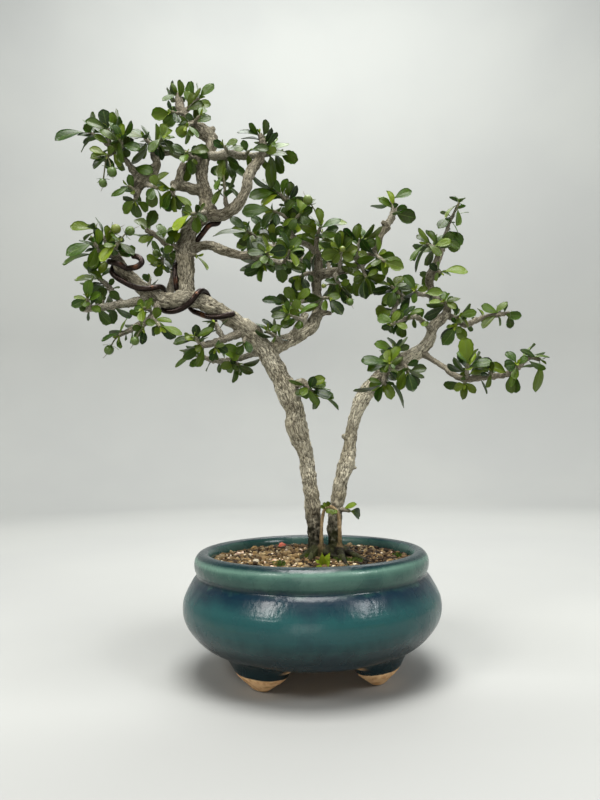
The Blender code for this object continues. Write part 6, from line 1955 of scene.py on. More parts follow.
@dataclass
class GlazedPot:
    """A turned pot with a rolled rim, glazed but for the soles of its four feet."""

    outline: Profile = (
        (63.9, 70.0), (65.2, 71.2), (67.4, 71.7), (70.0, 70.9), (72.2, 68.2), (72.8, 64.7), (72.2, 61.2),
        (71.0, 58.8), (71.2, 57.6), (73.0, 55.9), (76.0, 50.8), (78.1, 46.5), (79.0, 43.6), (79.4, 40.2),
        (79.0, 35.6), (77.4, 31.1), (74.4, 26.6), (70.4, 22.2), (66.0, 18.9), (60.9, 16.6), (55.5, 15.2),
        (50.0, 14.6), (42.0, 14.4), (20.0, 14.4), (6.5, 14.4),
    )
    inside: Profile = (
        (6.5, 20.0), (30.0, 20.0), (51.0, 20.0), (60.0, 22.6), (66.5, 26.0), (71.4, 31.6), (73.4, 38.0),
        (72.9, 44.4), (70.8, 50.0), (66.2, 56.8), (63.0, 62.0), (62.7, 65.0), (63.2, 68.0), (63.9, 70.0),
    )
    foot: Profile = (
        (0.0, 0.0), (3.6, 0.0), (5.2, 0.2), (6.6, 0.9), (8.4, 2.2), (10.6, 3.7), (13.2, 5.3), (15.6, 7.0),
        (17.8, 9.2), (20.0, 12.2), (22.6, 16.4), (22.6, 19.2), (0.0, 19.2),
    )
    feet: int = 4
    foot_ring: float = 47.6
    first_angle: float = -38.0
    foot_squash: float = 0.62
    steps: int = 180
    foot_steps: int = 44
    spacing: float = 1.5
    hand_wave: float = 0.22
    wave_from: float = 30.0
    wave_twist: float = 0.05
    tall: float = 70.0
    seam_heights: Span = (7.0, 21.0)
    seam_angle: float = 14.0
    seam_reach: float = 3.2
    seam_rounds: int = 12

    def build(self, finish: Material) -> Thing:
        """Build the piece that stands for the pot's node.

        Args:
            finish: its glaze.

        Returns:
            The piece.
        """
        pot = self.turned("pot_glazed", [*self.fine(self.outline), *self.fine(self.inside)[:-1]], self.steps)
        group = bpy.data.collections.new("feet")
        squash = Matrix.Diagonal((1.0, self.foot_squash, 1.0, 1.0))
        for number in range(self.feet):
            foot = self.turned("foot", self.foot, self.foot_steps)
            angle = math.radians(self.first_angle + 360 / self.feet * number)
            place = Matrix.Translation(Vector((0.0, -self.foot_ring * MM, 0.0)))
            foot.data.transform(Matrix.Rotation(angle, 4, "Z") @ place @ squash)
            group.objects.link(foot)
        join = pot.modifiers.new("join", "BOOLEAN")
        join.operation, join.solver, join.operand_type = "UNION", "EXACT", "COLLECTION"
        join.collection = group
        mesh = worked_out(pot)
        pot.modifiers.clear()
        pot.data = mesh
        for foot in list(group.objects):
            bpy.data.objects.remove(foot)
        self.soften_seams(mesh)
        mesh.transform(Matrix.Translation(SHIFT * MM))
        paint(pot, finish)
        points = np.array([vertex.co for vertex in mesh.vertices]) / MM - np.array(SHIFT)
        write_marks(mesh, points, np.zeros((len(points), 4)))
        mesh.shade_smooth()
        return pot

    def fine(self, profile: Profile) -> list[Span]:
        """Return more points along a smooth curve through a profile of (radius, height)."""
        way = smooth_way([(Vector((radius, height, 0.0)), 1.0) for radius, height in profile], self.spacing)
        return [(point.x, point.y) for point, _ in way]

    def turned(self, name: str, profile: Profile, steps: int) -> Thing:
        """Turn a form with the slight unevenness of a hand-made one.

        Args:
            name: its name.
            profile: (radius, height) from point to point; one that starts off the axis is closed.
            steps: facets round it.

        Returns:
            The object, in metres in the pot's frame.
        """
        shell = bmesh.new()
        rings = []
        for radius, height in profile:
            if not radius:
                rings.append([shell.verts.new((0.0, 0.0, height * MM))] * steps)
                continue
            ring = []
            for step, (cosine, sine) in enumerate(circle(steps)):
                wave = self.hand_wave * math.sin(2 * math.tau * step / steps + height * self.wave_twist)
                wave *= radius > self.wave_from
                reach = (radius + wave * (height / self.tall)) * MM
                ring.append(shell.verts.new((reach * cosine, reach * sine, height * MM)))
            rings.append(ring)
        if profile[0][0]:
            rings.append(rings[0])
        for low, high in zip(rings, rings[1:]):
            for step in range(steps):
                after = (step + 1) % steps
                shell.faces.new(list(dict.fromkeys((low[step], low[after], high[after], high[step]))))
        bmesh.ops.recalc_face_normals(shell, faces=shell.faces)
        mesh = bpy.data.meshes.new(name)
        shell.to_mesh(mesh)
        shell.free()
        return show(name, mesh)

    def soften_seams(self, mesh: Mesh) -> None:
        """Round the seams where the feet run into the pot's underside.

        Args:
            mesh: the pot's mesh, in metres.
        """
        shell = bmesh.new()
        shell.from_mesh(mesh)
        shell.normal_update()
        low, high = (height * MM for height in self.seam_heights)
        seam = [v.co.copy() for v in shell.verts if low < v.co.z < high and self.is_crease(v)]
        hair = (Vector((0.0, 0.0, 0.0)), Vector((1e-5, 0.0, 0.0)), Vector((0.0, 1e-5, 0.0)))
        corners = [place + step for place in seam for step in hair]
        tree = BVHTree.FromPolygons(corners, [(i, i + 1, i + 2) for i in range(0, len(corners), 3)])
        near = [v for v in shell.verts if tree.find_nearest(v.co, self.seam_reach * MM)[0] is not None]
        for _ in range(self.seam_rounds):
            bmesh.ops.smooth_vert(
                shell, verts=near, factor=0.5, use_axis_x=True, use_axis_y=True, use_axis_z=True
            )
        shell.to_mesh(mesh)
        shell.free()

    def is_crease(self, vertex: bmesh.types.BMVert) -> bool:
        """Tell whether a point lies on a hollow crease."""
        least, edges = math.radians(self.seam_angle), vertex.link_edges
        return any(e.is_manifold and not e.is_convex and e.calc_face_angle(0.0) > least for e in edges)


@dataclass
class GravelBed:
    """Loose gravel and clay granules over dark soil, with moss and a seedling by the trunks.

    grains are (name, how many, least and most radius, fineness, lift in millimetres), and roll_noise is
    (size, seed, pitch).
    """

    layout: Layout
    level: float = SOIL_LEVEL
    edge: float = 61.0
    mound: float = 2.4
    roll: float = 0.9
    roll_noise: tuple[Place, ...] = ((1.0, 0.21, 0.21), (0.6, 0.47, 0.09))
    crumb: float = 0.7
    crumb_noise: Span = (3.0, 0.7)
    bed_depth: float = 0.9
    bed_reach: float = 62.4
    bed_rings: int = 40
    bed_steps: int = 120
    bed_side: Profile = ((62.0, 62.0), (69.0, 52.0), (72.6, 38.0), (65.8, 26.6), (50.6, 20.4), (0.01, 20.4))
    grains: tuple[tuple[str, int, float, float, int, float], ...] = (
        ("coarse", 230, 1.5, 2.4, 2, 0.0), ("middle", 2100, 0.85, 1.5, 2, 0.0),
        ("fine", 3400, 0.45, 0.85, 1, 0.35),
    )
    grain_reach: float = 62.6
    grain_room: float = 0.9
    special_lift: float = 1.6
    rough: float = 0.384
    rough_pitch: float = 1.1
    seed_reach: float = 50.0
    tip: Span = (-0.5, 0.5)
    clearance: float = 0.5
    lie: Span = (-0.3, 0.55)
    sink: float = 0.4
    squash: tuple[Span, ...] = ((0.8, 1.2), (0.75, 1.1), (0.6, 0.9))
    tone: float = 0.40
    tone_cloud: float = 0.25
    cloud_noise: Span = (7.0, 0.05)
    tone_lean: float = 0.6
    tone_shift: float = 0.05
    tone_spread: float = 0.25
    tone_pull: float = 0.0024
    palest: float = 0.93
    tuft_lean: float = 0.7
    tuft_length: Span = (1.2, 2.6)
    tuft_width: float = 0.32
    tuft_sink: float = 0.2
    tuft_age: Span = (0.0, 0.3)
    moss_lift: float = 1.5
    seedling_lift: float = 0.8
    seedling_age: float = 0.75
    arch_age: float = 0.25
    arch_depth: float = -6.0
    leaf_lift: float = 150.0
    leaf_lean: float = 2.5

    def height(self, x: float, y: float) -> float:
        """Find how high the bed lies.

        Args:
            x: place across the pot.
            y: place towards its back.

        Returns:
            The height there.
        """
        rolls = (size * noise.noise(Vector((x, y, seed)) * pitch) for size, seed, pitch in self.roll_noise)
        share = min(math.hypot(x, y) / self.edge, 1.0)
        return self.level + self.mound * (1 - share**2) + self.roll * sum(rolls)

    def bed(self, finish: Material) -> Thing:
        """Build the dark soil under the gravel, which stands for the soil's node.

        Args:
            finish: the soil.

        Returns:
            The piece.
        """
        steps, rings = self.bed_steps, self.bed_rings + len(self.bed_side)
        seed, pitch = self.crumb_noise
        points = [(0.0, 0.0, self.height(0.0, 0.0) - self.bed_depth)]
        for ring in range(1, self.bed_rings + 1):
            radius = self.bed_reach * ring / self.bed_rings
            for x, y in ((radius * cosine, radius * sine) for cosine, sine in circle(steps)):
                crumb = self.crumb * noise.noise(Vector((x, y, seed)) * pitch)
                points.append((x, y, self.height(x, y) - self.bed_depth + crumb))
        for radius, height in self.bed_side:
            points += [(radius * cosine, radius * sine, height) for cosine, sine in circle(steps)]
        faces = [(0, 1 + step, 1 + (step + 1) % steps) for step in range(steps)]
        faces += grid_faces(rings, steps, first=1)
        faces.append(tuple(reversed(range(1 + (rings - 1) * steps, 1 + rings * steps))))
        shape = Shape()
        shape.add(points, faces)
        return shape.piece("soil_bed", finish)

    def gravel(self, finish: Material) -> list[Thing]:
        """Scatter the grains, largest first, so that they lie beside and on each other.

        Args:
            finish: the granules.

        Returns:
            A piece for each size.
        """
        rng = Rng(f"{SEED} gravel")
        pieces = []
        for name, count, least, most, detail, lift in self.grains:
            shape, ball = Shape(), self.ball(detail)
            for _ in range(count):
                size = rng.uniform(least, most)
                x, y = in_disc(rng, 0.0, 0.0, self.grain_reach - size * self.grain_room)
                place = Vector((x, y, self.height(x, y) - self.sink + rng.uniform(*self.lie) * size + lift))
                if self.layout.wood.nearest(place)[0] >= size * self.clearance:
                    self.add_grain(shape, ball, place, size, self.kind(x, y, rng), rng)
            for x, y, size, kind in SPECIAL_GRAINS if name == "coarse" else ():
                place = SKETCH.level_point(x, y, self.level + self.special_lift)
                self.add_grain(shape, ball, place, size, kind, rng)
            pieces.append(shape.piece(f"gravel_{name}", finish))
        return pieces

    def kind(self, x: float, y: float, rng: Rng) -> float:
        """Draw a grain's colour number: paler towards the front left, darker towards the back.

        Args:
            x: place across the pot.
            y: place towards its back.
            rng: random numbers.

        Returns:
            The number, from 0 for the darkest.
        """
        seed, pitch = self.cloud_noise
        cloud = self.tone_cloud * noise.noise(Vector((x, y, seed)) * pitch)
        pull = self.tone + cloud - self.tone_pull * (self.tone_lean * y + x)
        return min(max(rng.gauss(pull - self.tone_shift, self.tone_spread), 0.0), self.palest)

    def ball(self, detail: int) -> tuple[np.ndarray, Faces]:
        """Make a round grain of radius 1.

        Args:
            detail: how fine its faces are.

        Returns:
            Its points and faces.
        """
        shell = bmesh.new()
        bmesh.ops.create_icosphere(shell, subdivisions=detail, radius=1.0)
        points = np.array([vertex.co for vertex in shell.verts])
        faces = [tuple(vertex.index for vertex in face.verts) for face in shell.faces]
        shell.free()
        return points, faces

    def add_grain(
        self, shape: Shape, ball: tuple[np.ndarray, Faces], place: Vector, size: float, kind: float, rng: Rng
    ) -> None:
        """Add one uneven grain.

        Args:
            shape: the mesh that it joins.
            ball: points and faces of a round grain.
            place: where its middle lies.
            size: its radius, roughly.
            kind: its colour number.
            rng: random numbers.
        """
        points, seed = ball[0], jitter(rng, self.seed_reach)
        lumps = [noise.noise(Vector(point) * self.rough_pitch + seed) for point in points]
        swell = np.array([1.0 + self.rough * lump for lump in lumps])
        scale = np.array([rng.uniform(*span) for span in self.squash]) * size
        spin = Matrix.Rotation(rng.uniform(0, math.tau), 3, "Z")
        tip = Matrix.Rotation(rng.uniform(*self.tip), 3, "X")
        skin = (points * swell[:, None] * scale) @ np.array(spin @ tip).T + np.array(place)
        shape.add(skin, ball[1], marks=(kind, rng.random(), 0.0, 0.0))

    def greens(self, *finishes: Material) -> Thing:
        """Grow moss cushions at the trunks, a seedling in front of them and leaves on the air root.

        Args:
            finishes: twig and leaf.

        Returns:
            The piece.
        """
        rng = Rng(f"{SEED} greens")
        shape = Shape()
        for px, py, reach, count in MOSS_PATCHES:
            middle = SKETCH.level_point(px, py, self.level + self.moss_lift)
            for _ in range(count):
                x, y = in_disc(rng, middle.x, middle.y, reach)
                if math.hypot(x, y) > self.edge:
                    continue
                base = Vector((x, y, self.height(x, y) - self.tuft_sink))
                lean = [rng.uniform(-self.tuft_lean, self.tuft_lean) for _ in range(2)]
                out, length = Vector((*lean, 1.0)).normalized(), rng.uniform(*self.tuft_length)
                blade = Blade(base, base + out * length, out.orthogonal(), length * self.tuft_width)
                shape.add(*MOSS_FORM.surface(blade, rng, rng.uniform(*self.tuft_age)))
        root, high = self.level + self.seedling_lift, self.arch_depth
        leaves = [(row, SKETCH.level_point(*row[:2], root), SEEDLING_FORM) for row in SEEDLING]
        leaves += [(row, SKETCH.point(*row[:2], high), SMALL_FORM) for row in ARCH_LEAVES]
        for (_, _, x, y, width), base, form in leaves:
            young = self.arch_age if form is SMALL_FORM else self.seedling_age
            facing = SKETCH.eye() - base + UPWARD * self.leaf_lift
            blade = Blade(base, SKETCH.point(x, y, base.y - self.leaf_lean), facing, width)
            shape.add(*form.surface(blade, rng, young))
        return shape.piece("moss_and_seedling", *finishes)


@dataclass(frozen=True)
class Lamp:
    """A soft square lamp: where it hangs, its width, its power in watts and what it faces."""

    name: str
    place: Place
    size: float
    power: float
    colour: Colour
    aim: Place = (0.0, 0.0, 0.18)

    def hang(self) -> None:
        """Hang the lamp."""
        light = bpy.data.lights.new(self.name, "AREA")
        light.size, light.energy, light.color = self.size, self.power, self.colour
        item = show(self.name, light)
        item.location, item.rotation_mode = self.place, "QUATERNION"
        item.rotation_quaternion = (Vector(self.aim) - item.location).to_track_quat("-Z", "Y")


@dataclass
class Studio:
    """A pale bowl of a floor, soft lamps and the camera, in metres."""

    floor_rings: Row = (0.0, 0.4, 0.8, 1.3)
    wall_height: float = 2.6
    wall_round: float = 0.55
    bend_steps: int = 12
    steps: int = 96
    drop: float = 0.0001
    sky: Colour = (0.80, 0.82, 0.83, 1.0)
    sky_strength: float = 0.30
    lamps: tuple[Lamp, ...] = (
        Lamp("lamp_over", (0.0, -0.32, 1.45), 0.8, 31.0, (1.0, 0.99, 0.965)),
        Lamp("lamp_left", (-0.80, -0.80, 1.0), 0.36, 7.5, (1.0, 0.98, 0.95)),
        Lamp("lamp_right", (0.95, -0.75, 0.95), 0.32, 6.5, (0.97, 0.98, 1.0)),
        Lamp("lamp_low", (-0.1, -1.15, 0.22), 0.5, 1.6, (1.0, 0.98, 0.95), (0.0, 0.0, 0.05)),
        Lamp("lamp_back", (0.2, 0.95, 1.2), 0.8, 4.0, (1.0, 1.0, 1.0)),
        Lamp("lamp_wall", (0.0, 0.8, 1.9), 1.2, 35.0, (0.98, 1.0, 0.99), (0.0, 1.85, 0.6)),
    )

    def build(self, finish: Material) -> None:
        """Build the floor, the lamps, the sky and the camera.

        Args:
            finish: the floor's paper.
        """
        profile, edge = [(reach, 0.0) for reach in self.floor_rings], self.floor_rings[-1]
        for step in range(1, self.bend_steps + 1):
            turn = math.pi / 2 * step / self.bend_steps
            height = self.wall_round * (1.0 - math.cos(turn))
            profile.append((edge + self.wall_round * math.sin(turn), height))
        profile.append((edge + self.wall_round, self.wall_height))
        ring = circle(self.steps)
        points = [(reach * x, reach * y, height - self.drop) for reach, height in profile for x, y in ring]
        mesh = bpy.data.meshes.new("studio_floor")
        mesh.from_pydata(points, [], grid_faces(len(profile), self.steps))
        mesh.materials.append(finish)
        mesh.validate()
        mesh.shade_smooth()
        floor = show("studio_floor", mesh)
        for lamp in self.lamps:
            lamp.hang()
        world = bpy.data.worlds.new("studio")
        world.use_nodes = True
        sky = world.node_tree.nodes["Background"]
        sky.inputs["Color"].default_value = self.sky
        sky.inputs["Strength"].default_value = self.sky_strength
        scene = bpy.context.scene
        scene.world, scene.camera = world, SKETCH.camera()
        scene.view_settings.view_transform = "Standard"


def srgb(red: float, green: float, blue: float) -> Colour:
    """Return a linear colour for red, green and blue from 0 to 255 as a screen shows them."""
    shares = (part / 255 for part in (red, green, blue))
    return (*(c / 12.92 if c <= 0.0404 else ((c + 0.055) / 1.055) ** 2.4 for c in shares), 1.0)


class Value:
    """What a node puts out. The usual signs for numbers add a node for each sum and product."""

    def __init__(self, graph: "Graph", socket: Socket) -> None:
        """Stand for a node's output."""
        self.graph, self.socket = graph, socket

    def math(self, operation: str, other: "Value | float" = 0.0) -> "Value":
        """Return the result of an operation on numbers."""
        return self.graph.node("Math", {0: self, 1: other}, operation=operation)

    def __add__(self, other: "Value | float") -> "Value":
        """Return a sum."""
        return self.math("ADD", other)

    def __sub__(self, other: float) -> "Value":
        """Return the value less a number."""
        return self.math("ADD", -other)

    def __mul__(self, other: "Value | float") -> "Value":
        """Return a product."""
        return self.math("MULTIPLY", other)

    def __or__(self, other: "Value") -> "Value":
        """Return the larger of two masks."""
        return self.math("MAXIMUM", other)

    def __abs__(self) -> "Value":
        """Return the size without the sign."""
        return self.math("ABSOLUTE")

    def mix(self, low: "Value | Colour", high: "Value | Colour") -> "Value":
        """Return the first colour where the value is 0 and the second where it is 1."""
        return self.graph.node("Mix", {0: self, 6: low, 7: high}, 2, data_type="RGBA")

    def between(self, low: float, high: float, start: float = 0.0, end: float = 1.0) -> "Value":
        """Return the value moved smoothly from low..high to start..end."""
        inputs = {0: self, 1: low, 2: high, 3: start, 4: end}
        return self.graph.node("MapRange", inputs, interpolation_type="SMOOTHSTEP")

    def noise(self, scale: "Value | float", detail: float, rough: float) -> "Value":
        """Return a cloudy number from 0 to 1 over a place."""
        inputs = {"Vector": self, "Scale": scale, "Detail": detail, "Roughness": rough}
        return self.graph.node("TexNoise", inputs, "Fac")

    def cells(self, scale: "Value | float", feature: str) -> "Value":
        """Return how far a place is from a cell's middle (F1) or its edge."""
        return self.graph.node("TexVoronoi", {"Vector": self, "Scale": scale}, "Distance", feature=feature)

    def stretch(self, *scale: float) -> "Value":
        """Return a place scaled along each axis."""
        return self.graph.node("Mapping", {"Vector": self, "Scale": scale})

    def parts(self) -> list["Value"]:
        """Return the three parts of a place or colour."""
        return self.graph.node("SeparateXYZ", {0: self}).siblings()

    def siblings(self) -> list["Value"]:
        """Return everything that the same node puts out."""
        return [Value(self.graph, socket) for socket in self.socket.node.outputs]

    def ramp(self, *stops: tuple[float, Colour]) -> "Value":
        """Turn the value into a colour.

        Args:
            stops: positions and their colours.

        Returns:
            The colour.
        """
        result = self.graph.node("ValToRGB", {0: self})
        row = result.socket.node.color_ramp.elements
        for _ in stops[2:]:
            row.new(0.5)
        for element, (position, colour) in zip(row, stops):
            element.position, element.color = position, colour
        return result

    def bump(self, strength: float, distance: float) -> "Value":
        """Return a normal from a height; the distance is in millimetres."""
        inputs = {"Height": self, "Strength": strength, "Distance": distance * MM}
        return self.graph.node("Bump", inputs)


class Graph:
    """The nodes and links of one node group."""

    def __init__(self, tree: NodeTree) -> None:
        """Work on a node tree."""
        self.tree = tree

    def feed(self, socket: Socket, value: object) -> None:
        """Link a value to an input, or set the input's own value.

        Args:
            socket: the input.
            value: a node's output or a plain value.
        """
        if isinstance(value, Value):
            self.tree.links.new(value.socket, socket)
        else:
            socket.default_value = value

    def node(self, kind: str, inputs: Inputs, output: int | str = 0, **settings: object) -> Value:
        """Add a node.

        Args:
            kind: its type without the ShaderNode in front.
            inputs: values or plain numbers for its inputs, by name or index.
            output: which output is wanted, by name or index.
            settings: its own properties.

        Returns:
            That output.
        """
        item = self.tree.nodes.new(f"ShaderNode{kind}")
        for name, setting in settings.items():
            setattr(item, name, setting)
        for name, value in inputs.items():
            self.feed(item.inputs[name], value)
        return Value(self, item.outputs[output])


class Effect(Graph):
    """A node group that varies a surface over its place, for more than one finish."""

    def __init__(self, name: str, **numbers: float) -> None:
        """Start the group.

        Args:
            name: its name.
            numbers: its number inputs after the place, with their values.
        """
        super().__init__(bpy.data.node_groups.new(name, "ShaderNodeTree"))
        self.tree.interface.new_socket("Place", in_out="INPUT", socket_type="NodeSocketVector")
        for label, number in numbers.items():
            socket = self.tree.interface.new_socket(label, in_out="INPUT", socket_type="NodeSocketFloat")
            socket.default_value = number
        given = self.tree.nodes.new("NodeGroupInput")
        self.place, *self.numbers = Value(self, given.outputs[0]).siblings()[:1 + len(numbers)]

    def finish(self, **results: Value) -> NodeTree:
        """Name what the group puts out.

        Args:
            results: its values.

        Returns:
            The finished group.
        """
        for label in results:
            self.tree.interface.new_socket(label, in_out="OUTPUT", socket_type="NodeSocketFloat")
        out = self.tree.nodes.new("NodeGroupOutput")
        for label, value in results.items():
            self.feed(out.inputs[label], value)
        return self.tree


def bark_fissures() -> NodeTree:
    """Build the group that breaks bark into long flakes with dark cracks between them.

    Returns:
        The group.
    """
    effect = Effect("bark_fissures", Pitch=1.0, Run=0.3)
    pitch, run = effect.numbers
    x, y, z = effect.place.parts()
    long = effect.node("CombineXYZ", {0: x, 1: y, 2: z * run})
    place = effect.node("VectorMath", {0: long, "Scale": pitch}, operation="SCALE")
    warp = effect.node("TexNoise", {"Vector": place, "Scale": 0.9, "Detail": 2.0}, "Color")
    bent = effect.node("VectorMath", {0: place, 1: warp}, operation="ADD")
    flakes, scales = (bent.cells(scale, "DISTANCE_TO_EDGE") for scale in (0.9, 2.1))
    splits = bent.stretch(1.0, 1.0, 0.55).noise(0.62, 3.0, 0.6)
    blotch = bent.noise(1.5, 4.0, 0.7)
    crack = abs(splits - 0.5).between(0.035, 0.004)
    crack = crack | flakes.between(0.13, 0.02) * blotch.between(0.62, 0.42)
    crack = crack | scales.between(0.09, 0.0) * blotch.between(0.56, 0.40, 0.0, 0.8)
    fleck = place.noise(3.4, 3.0, 0.7)
    return effect.finish(Crack=crack, Fleck=fleck, Height=fleck * 0.35 + crack * -1.0)


def mottle() -> NodeTree:
    """Build the group of slow and fine clouds that vary a surface's colour and gloss.

    Returns:
        The group.
    """
    effect = Effect("mottle", Scale=100.0)
    place, scale = effect.place, effect.numbers[0]
    faster = scale * 6.0
    speck = place.cells(faster, "F1").between(0.16, 0.06)
    return effect.finish(Slow=place.noise(scale, 3.0, 0.5), Fine=place.noise(faster, 4.0, 0.5), Speck=speck)


@dataclass(frozen=True)
class Effects:
    """The node groups that more than one finish uses."""

    fissures: NodeTree = field(default_factory=bark_fissures)
    mottle: NodeTree = field(default_factory=mottle)


class Coat(Graph):
    """The nodes of one material, round its Principled shader."""

    def __init__(self, name: str) -> None:
        """Start a material.

        Args:
            name: its name.
        """
        self.material = bpy.data.materials.new(name)
        self.material.use_nodes = True
        super().__init__(self.material.node_tree)

    def place(self) -> Value:
        """Return the place in the scene."""
        return self.node("NewGeometry", {}, "Position")

    def stored(self, name: str, output: str) -> Value:
        """Return what is stored on the mesh, as a Vector or a Color."""
        return self.node("Attribute", {}, output, attribute_name=name)

    def marks(self) -> list[Value]:
        """Return the first three marks of the mesh."""
        return self.stored("marks", "Color").parts()

    def group(self, effect: NodeTree, place: Value, **numbers: float) -> list[Value]:
        """Place an effect over a place and return what it puts out."""
        return self.node("Group", {"Place": place, **numbers}, node_tree=effect).siblings()

    def finish(self, colour: Value, rough: Value | float, normal: Value, **own: object) -> Material:
        """Feed the shader.

        Args:
            colour: its base colour.
            rough: its roughness.
            normal: its normal.
            own: values that are the same all over, for its own sockets.

        Returns:
            The material.
        """
        shader = self.tree.nodes["Principled BSDF"]
        fed = {"Base Color": colour, "Roughness": rough, "Normal": normal}
        for name, value in (*fed.items(), *own.items()):
            self.feed(shader.inputs[name.replace("_", " ")], value)
        return self.material


@dataclass(frozen=True)
class BarkFinish:
    """Pale weathered bark with dark cracks and painted shade in the hollows of its relief, green and dark near
    the soil.
    """

    pale: Colour = srgb(232, 224, 200)
    middle: Colour = srgb(166, 157, 132)
    weathered: Colour = srgb(104, 98, 80)
    crack: Colour = srgb(50, 42, 28)
    damp: Colour = srgb(17, 14, 5)
    algae: Colour = srgb(44, 47, 18)
    root: Colour = srgb(180, 150, 108)
    pitch: float = 0.86
    run: float = 0.34
    clouds: float = 70.0
    relief: Span = (0.9, 0.7)
    gloss: float = 0.14
    weathered_height: Span = (0.195, 0.245)
    hollow_shade_from: float = 0.40
    damp_edge: Span = (0.95, 0.22)
    rough: Span = (0.88, 0.7)

    def material(self, effects: Effects) -> Material:
        """Mix the finish.

        Args:
            effects: the shared node groups.

        Returns:
            The material.
        """
        coat = Coat("bark_weathered")
        raised, low, rooted = coat.marks()
        grain, place = coat.stored("grain", "Vector"), coat.place()
        crack, fleck, height = coat.group(effects.fissures, grain, Pitch=self.pitch, Run=self.run)
        slow, fine, _ = coat.group(effects.mottle, place, Scale=self.clouds)
        colour = (slow * 0.8 + fleck * 0.5).ramp((0.46, self.middle), (0.78, self.pale))
        colour = place.parts()[2].between(*self.weathered_height, 0.0, 0.62).mix(colour, self.weathered)
        # Cracks darken the bark, more where the relief is low, and the low parts of the relief get painted
        # shade in the crack colour.
        deep_and_shaded = crack * raised.between(1.0, 0.35, 0.55, 1.0)
        colour = (deep_and_shaded * 0.9 | raised.between(self.hollow_shade_from, 0.0, 0.0, 0.42)).mix(colour, self.crack)
        wet = (low + (fine - 0.5) * 0.9).between(*self.damp_edge)
        soaked = slow.between(0.42, 0.6).mix(self.damp, self.algae)
        colour = (wet * 0.985).mix(colour, soaked)
        root = rooted * low.between(0.05, 0.50, 0.15, 1.0)
        colour = (root * fleck.between(0.38, 0.60, 0.35, 0.95)).mix(colour, self.root)
        rough = wet.between(0.0, 1.0, *self.rough)
        return coat.finish(colour, rough, height.bump(*self.relief), Specular_IOR_Level=self.gloss)


@dataclass(frozen=True)
class TwigFinish:
    """Grey twig bark that turns brown and green towards young tips."""

    pale: Colour = srgb(196, 190, 170)
    brown: Colour = srgb(122, 112, 92)
    dark: Colour = srgb(56, 48, 36)
    green: Colour = srgb(84, 88, 44)
    pitch: float = 1.7
    run: float = 0.38
    young_from: Span = (0.45, 1.0)
    rough: float = 0.8
    relief: Span = (0.8, 0.3)
    gloss: float = 0.25

    def material(self, effects: Effects) -> Material:
        """Mix the finish.

        Args:
            effects: the shared node groups.

        Returns:
            The material.
        """
        coat = Coat("twig_bark")
        tone, young, _ = coat.marks()
        grain = coat.stored("grain", "Vector")
        crack, fleck, height = coat.group(effects.fissures, grain, Pitch=self.pitch, Run=self.run)
        colour = (fleck * 0.9 + tone * 0.22).ramp((0.38, self.brown), (0.72, self.pale))
        colour = (crack * 0.85).mix(colour, self.dark)
        colour = young.between(*self.young_from, 0.0, 0.8).mix(colour, self.green)
        return coat.finish(colour, self.rough, height.bump(*self.relief), Specular_IOR_Level=self.gloss)


@dataclass(frozen=True)
class LeafFinish:
    """Dark green leaves with a low gloss and pale veins, lighter when young and matt beneath."""

    dark: Colour = srgb(10, 25, 3)
    green: Colour = srgb(32, 56, 8)
    light: Colour = srgb(72, 98, 20)
    young: Colour = srgb(136, 154, 34)
    beneath: Colour = srgb(66, 86, 34)
    vein: Colour = srgb(92, 112, 44)
    glow: Place = (0.5, 1.0, 0.2)
    midrib: Span = (0.09, 0.02)
    ribs: float = 6.5
    slant: float = -1.5
    rib_width: Span = (0.09, 0.01)
    rib_reach: Span = (0.95, 0.5)
    rough: float = 0.29
    clouds: float = 260.0
    relief: Span = (0.5, 0.18)
    gloss: float = 0.25
    glow_share: float = 0.08
    glow_reach: float = 0.0012

    def material(self, effects: Effects) -> Material:
        """Mix the finish.

        Args:
            effects: the shared node groups.

        Returns:
            The material.
        """
        coat = Coat("leaf_waxy")
        tone, young, under = coat.marks()
        across, along, _ = coat.stored("grain", "Vector").parts()
        slow, fine, speck = coat.group(effects.mottle, coat.place(), Scale=self.clouds)
        shade = tone * 0.7 + slow * 0.3
        colour = shade.ramp((0.10, self.dark), (0.50, self.green), (0.95, self.light))
        off = abs(across)
        side = abs((along * self.ribs + off * self.slant).math("FRACT") - 0.5)
        ribs = side.between(*self.rib_width) * off.between(*self.rib_reach)
        veins = off.between(*self.midrib) | ribs * 0.45
        colour = (under * 0.6).mix(young.mix(colour, self.young), self.beneath)
        for vein in (veins * 0.45, speck * 0.08):
            colour = vein.mix(colour, self.vein)
        rough = under * 0.25 + fine * 0.16 + self.rough
        normal = (fine * 0.25 + veins * -1.0).bump(*self.relief)
        return coat.finish(
            colour, rough, normal, Subsurface_Weight=self.glow_share, Subsurface_Scale=self.glow_reach,
            Subsurface_Radius=self.glow, Specular_IOR_Level=self.gloss,
        )


@dataclass(frozen=True)
class BerryFinish:
    """Smooth green berries that turn yellow and red as they ripen."""

    green: Colour = srgb(74, 96, 32)
    yellow: Colour = srgb(122, 130, 42)
    red: Colour = srgb(124, 62, 32)
    clouds: float = 300.0
    rough: Span = (0.3, 0.5)
    relief: Span = (0.2, 0.1)
    glow_share: float = 0.1
    glow_reach: float = 0.002

    def material(self, effects: Effects) -> Material:
        """Mix the finish.

        Args:
            effects: the shared node groups.

        Returns:
            The material.
        """
        coat = Coat("berry_skin")
        slow, fine, speck = coat.group(effects.mottle, coat.place(), Scale=self.clouds)
        shade = coat.marks()[0] * 0.75 + slow * 0.3
        colour = shade.ramp((0.42, self.green), (0.88, self.yellow), (1.0, self.red))
        colour = (speck * 0.2).mix(colour, self.yellow)
        return coat.finish(
            colour, fine.between(0.2, 0.8, *self.rough), fine.bump(*self.relief),
            Subsurface_Weight=self.glow_share, Subsurface_Scale=self.glow_reach,
        )


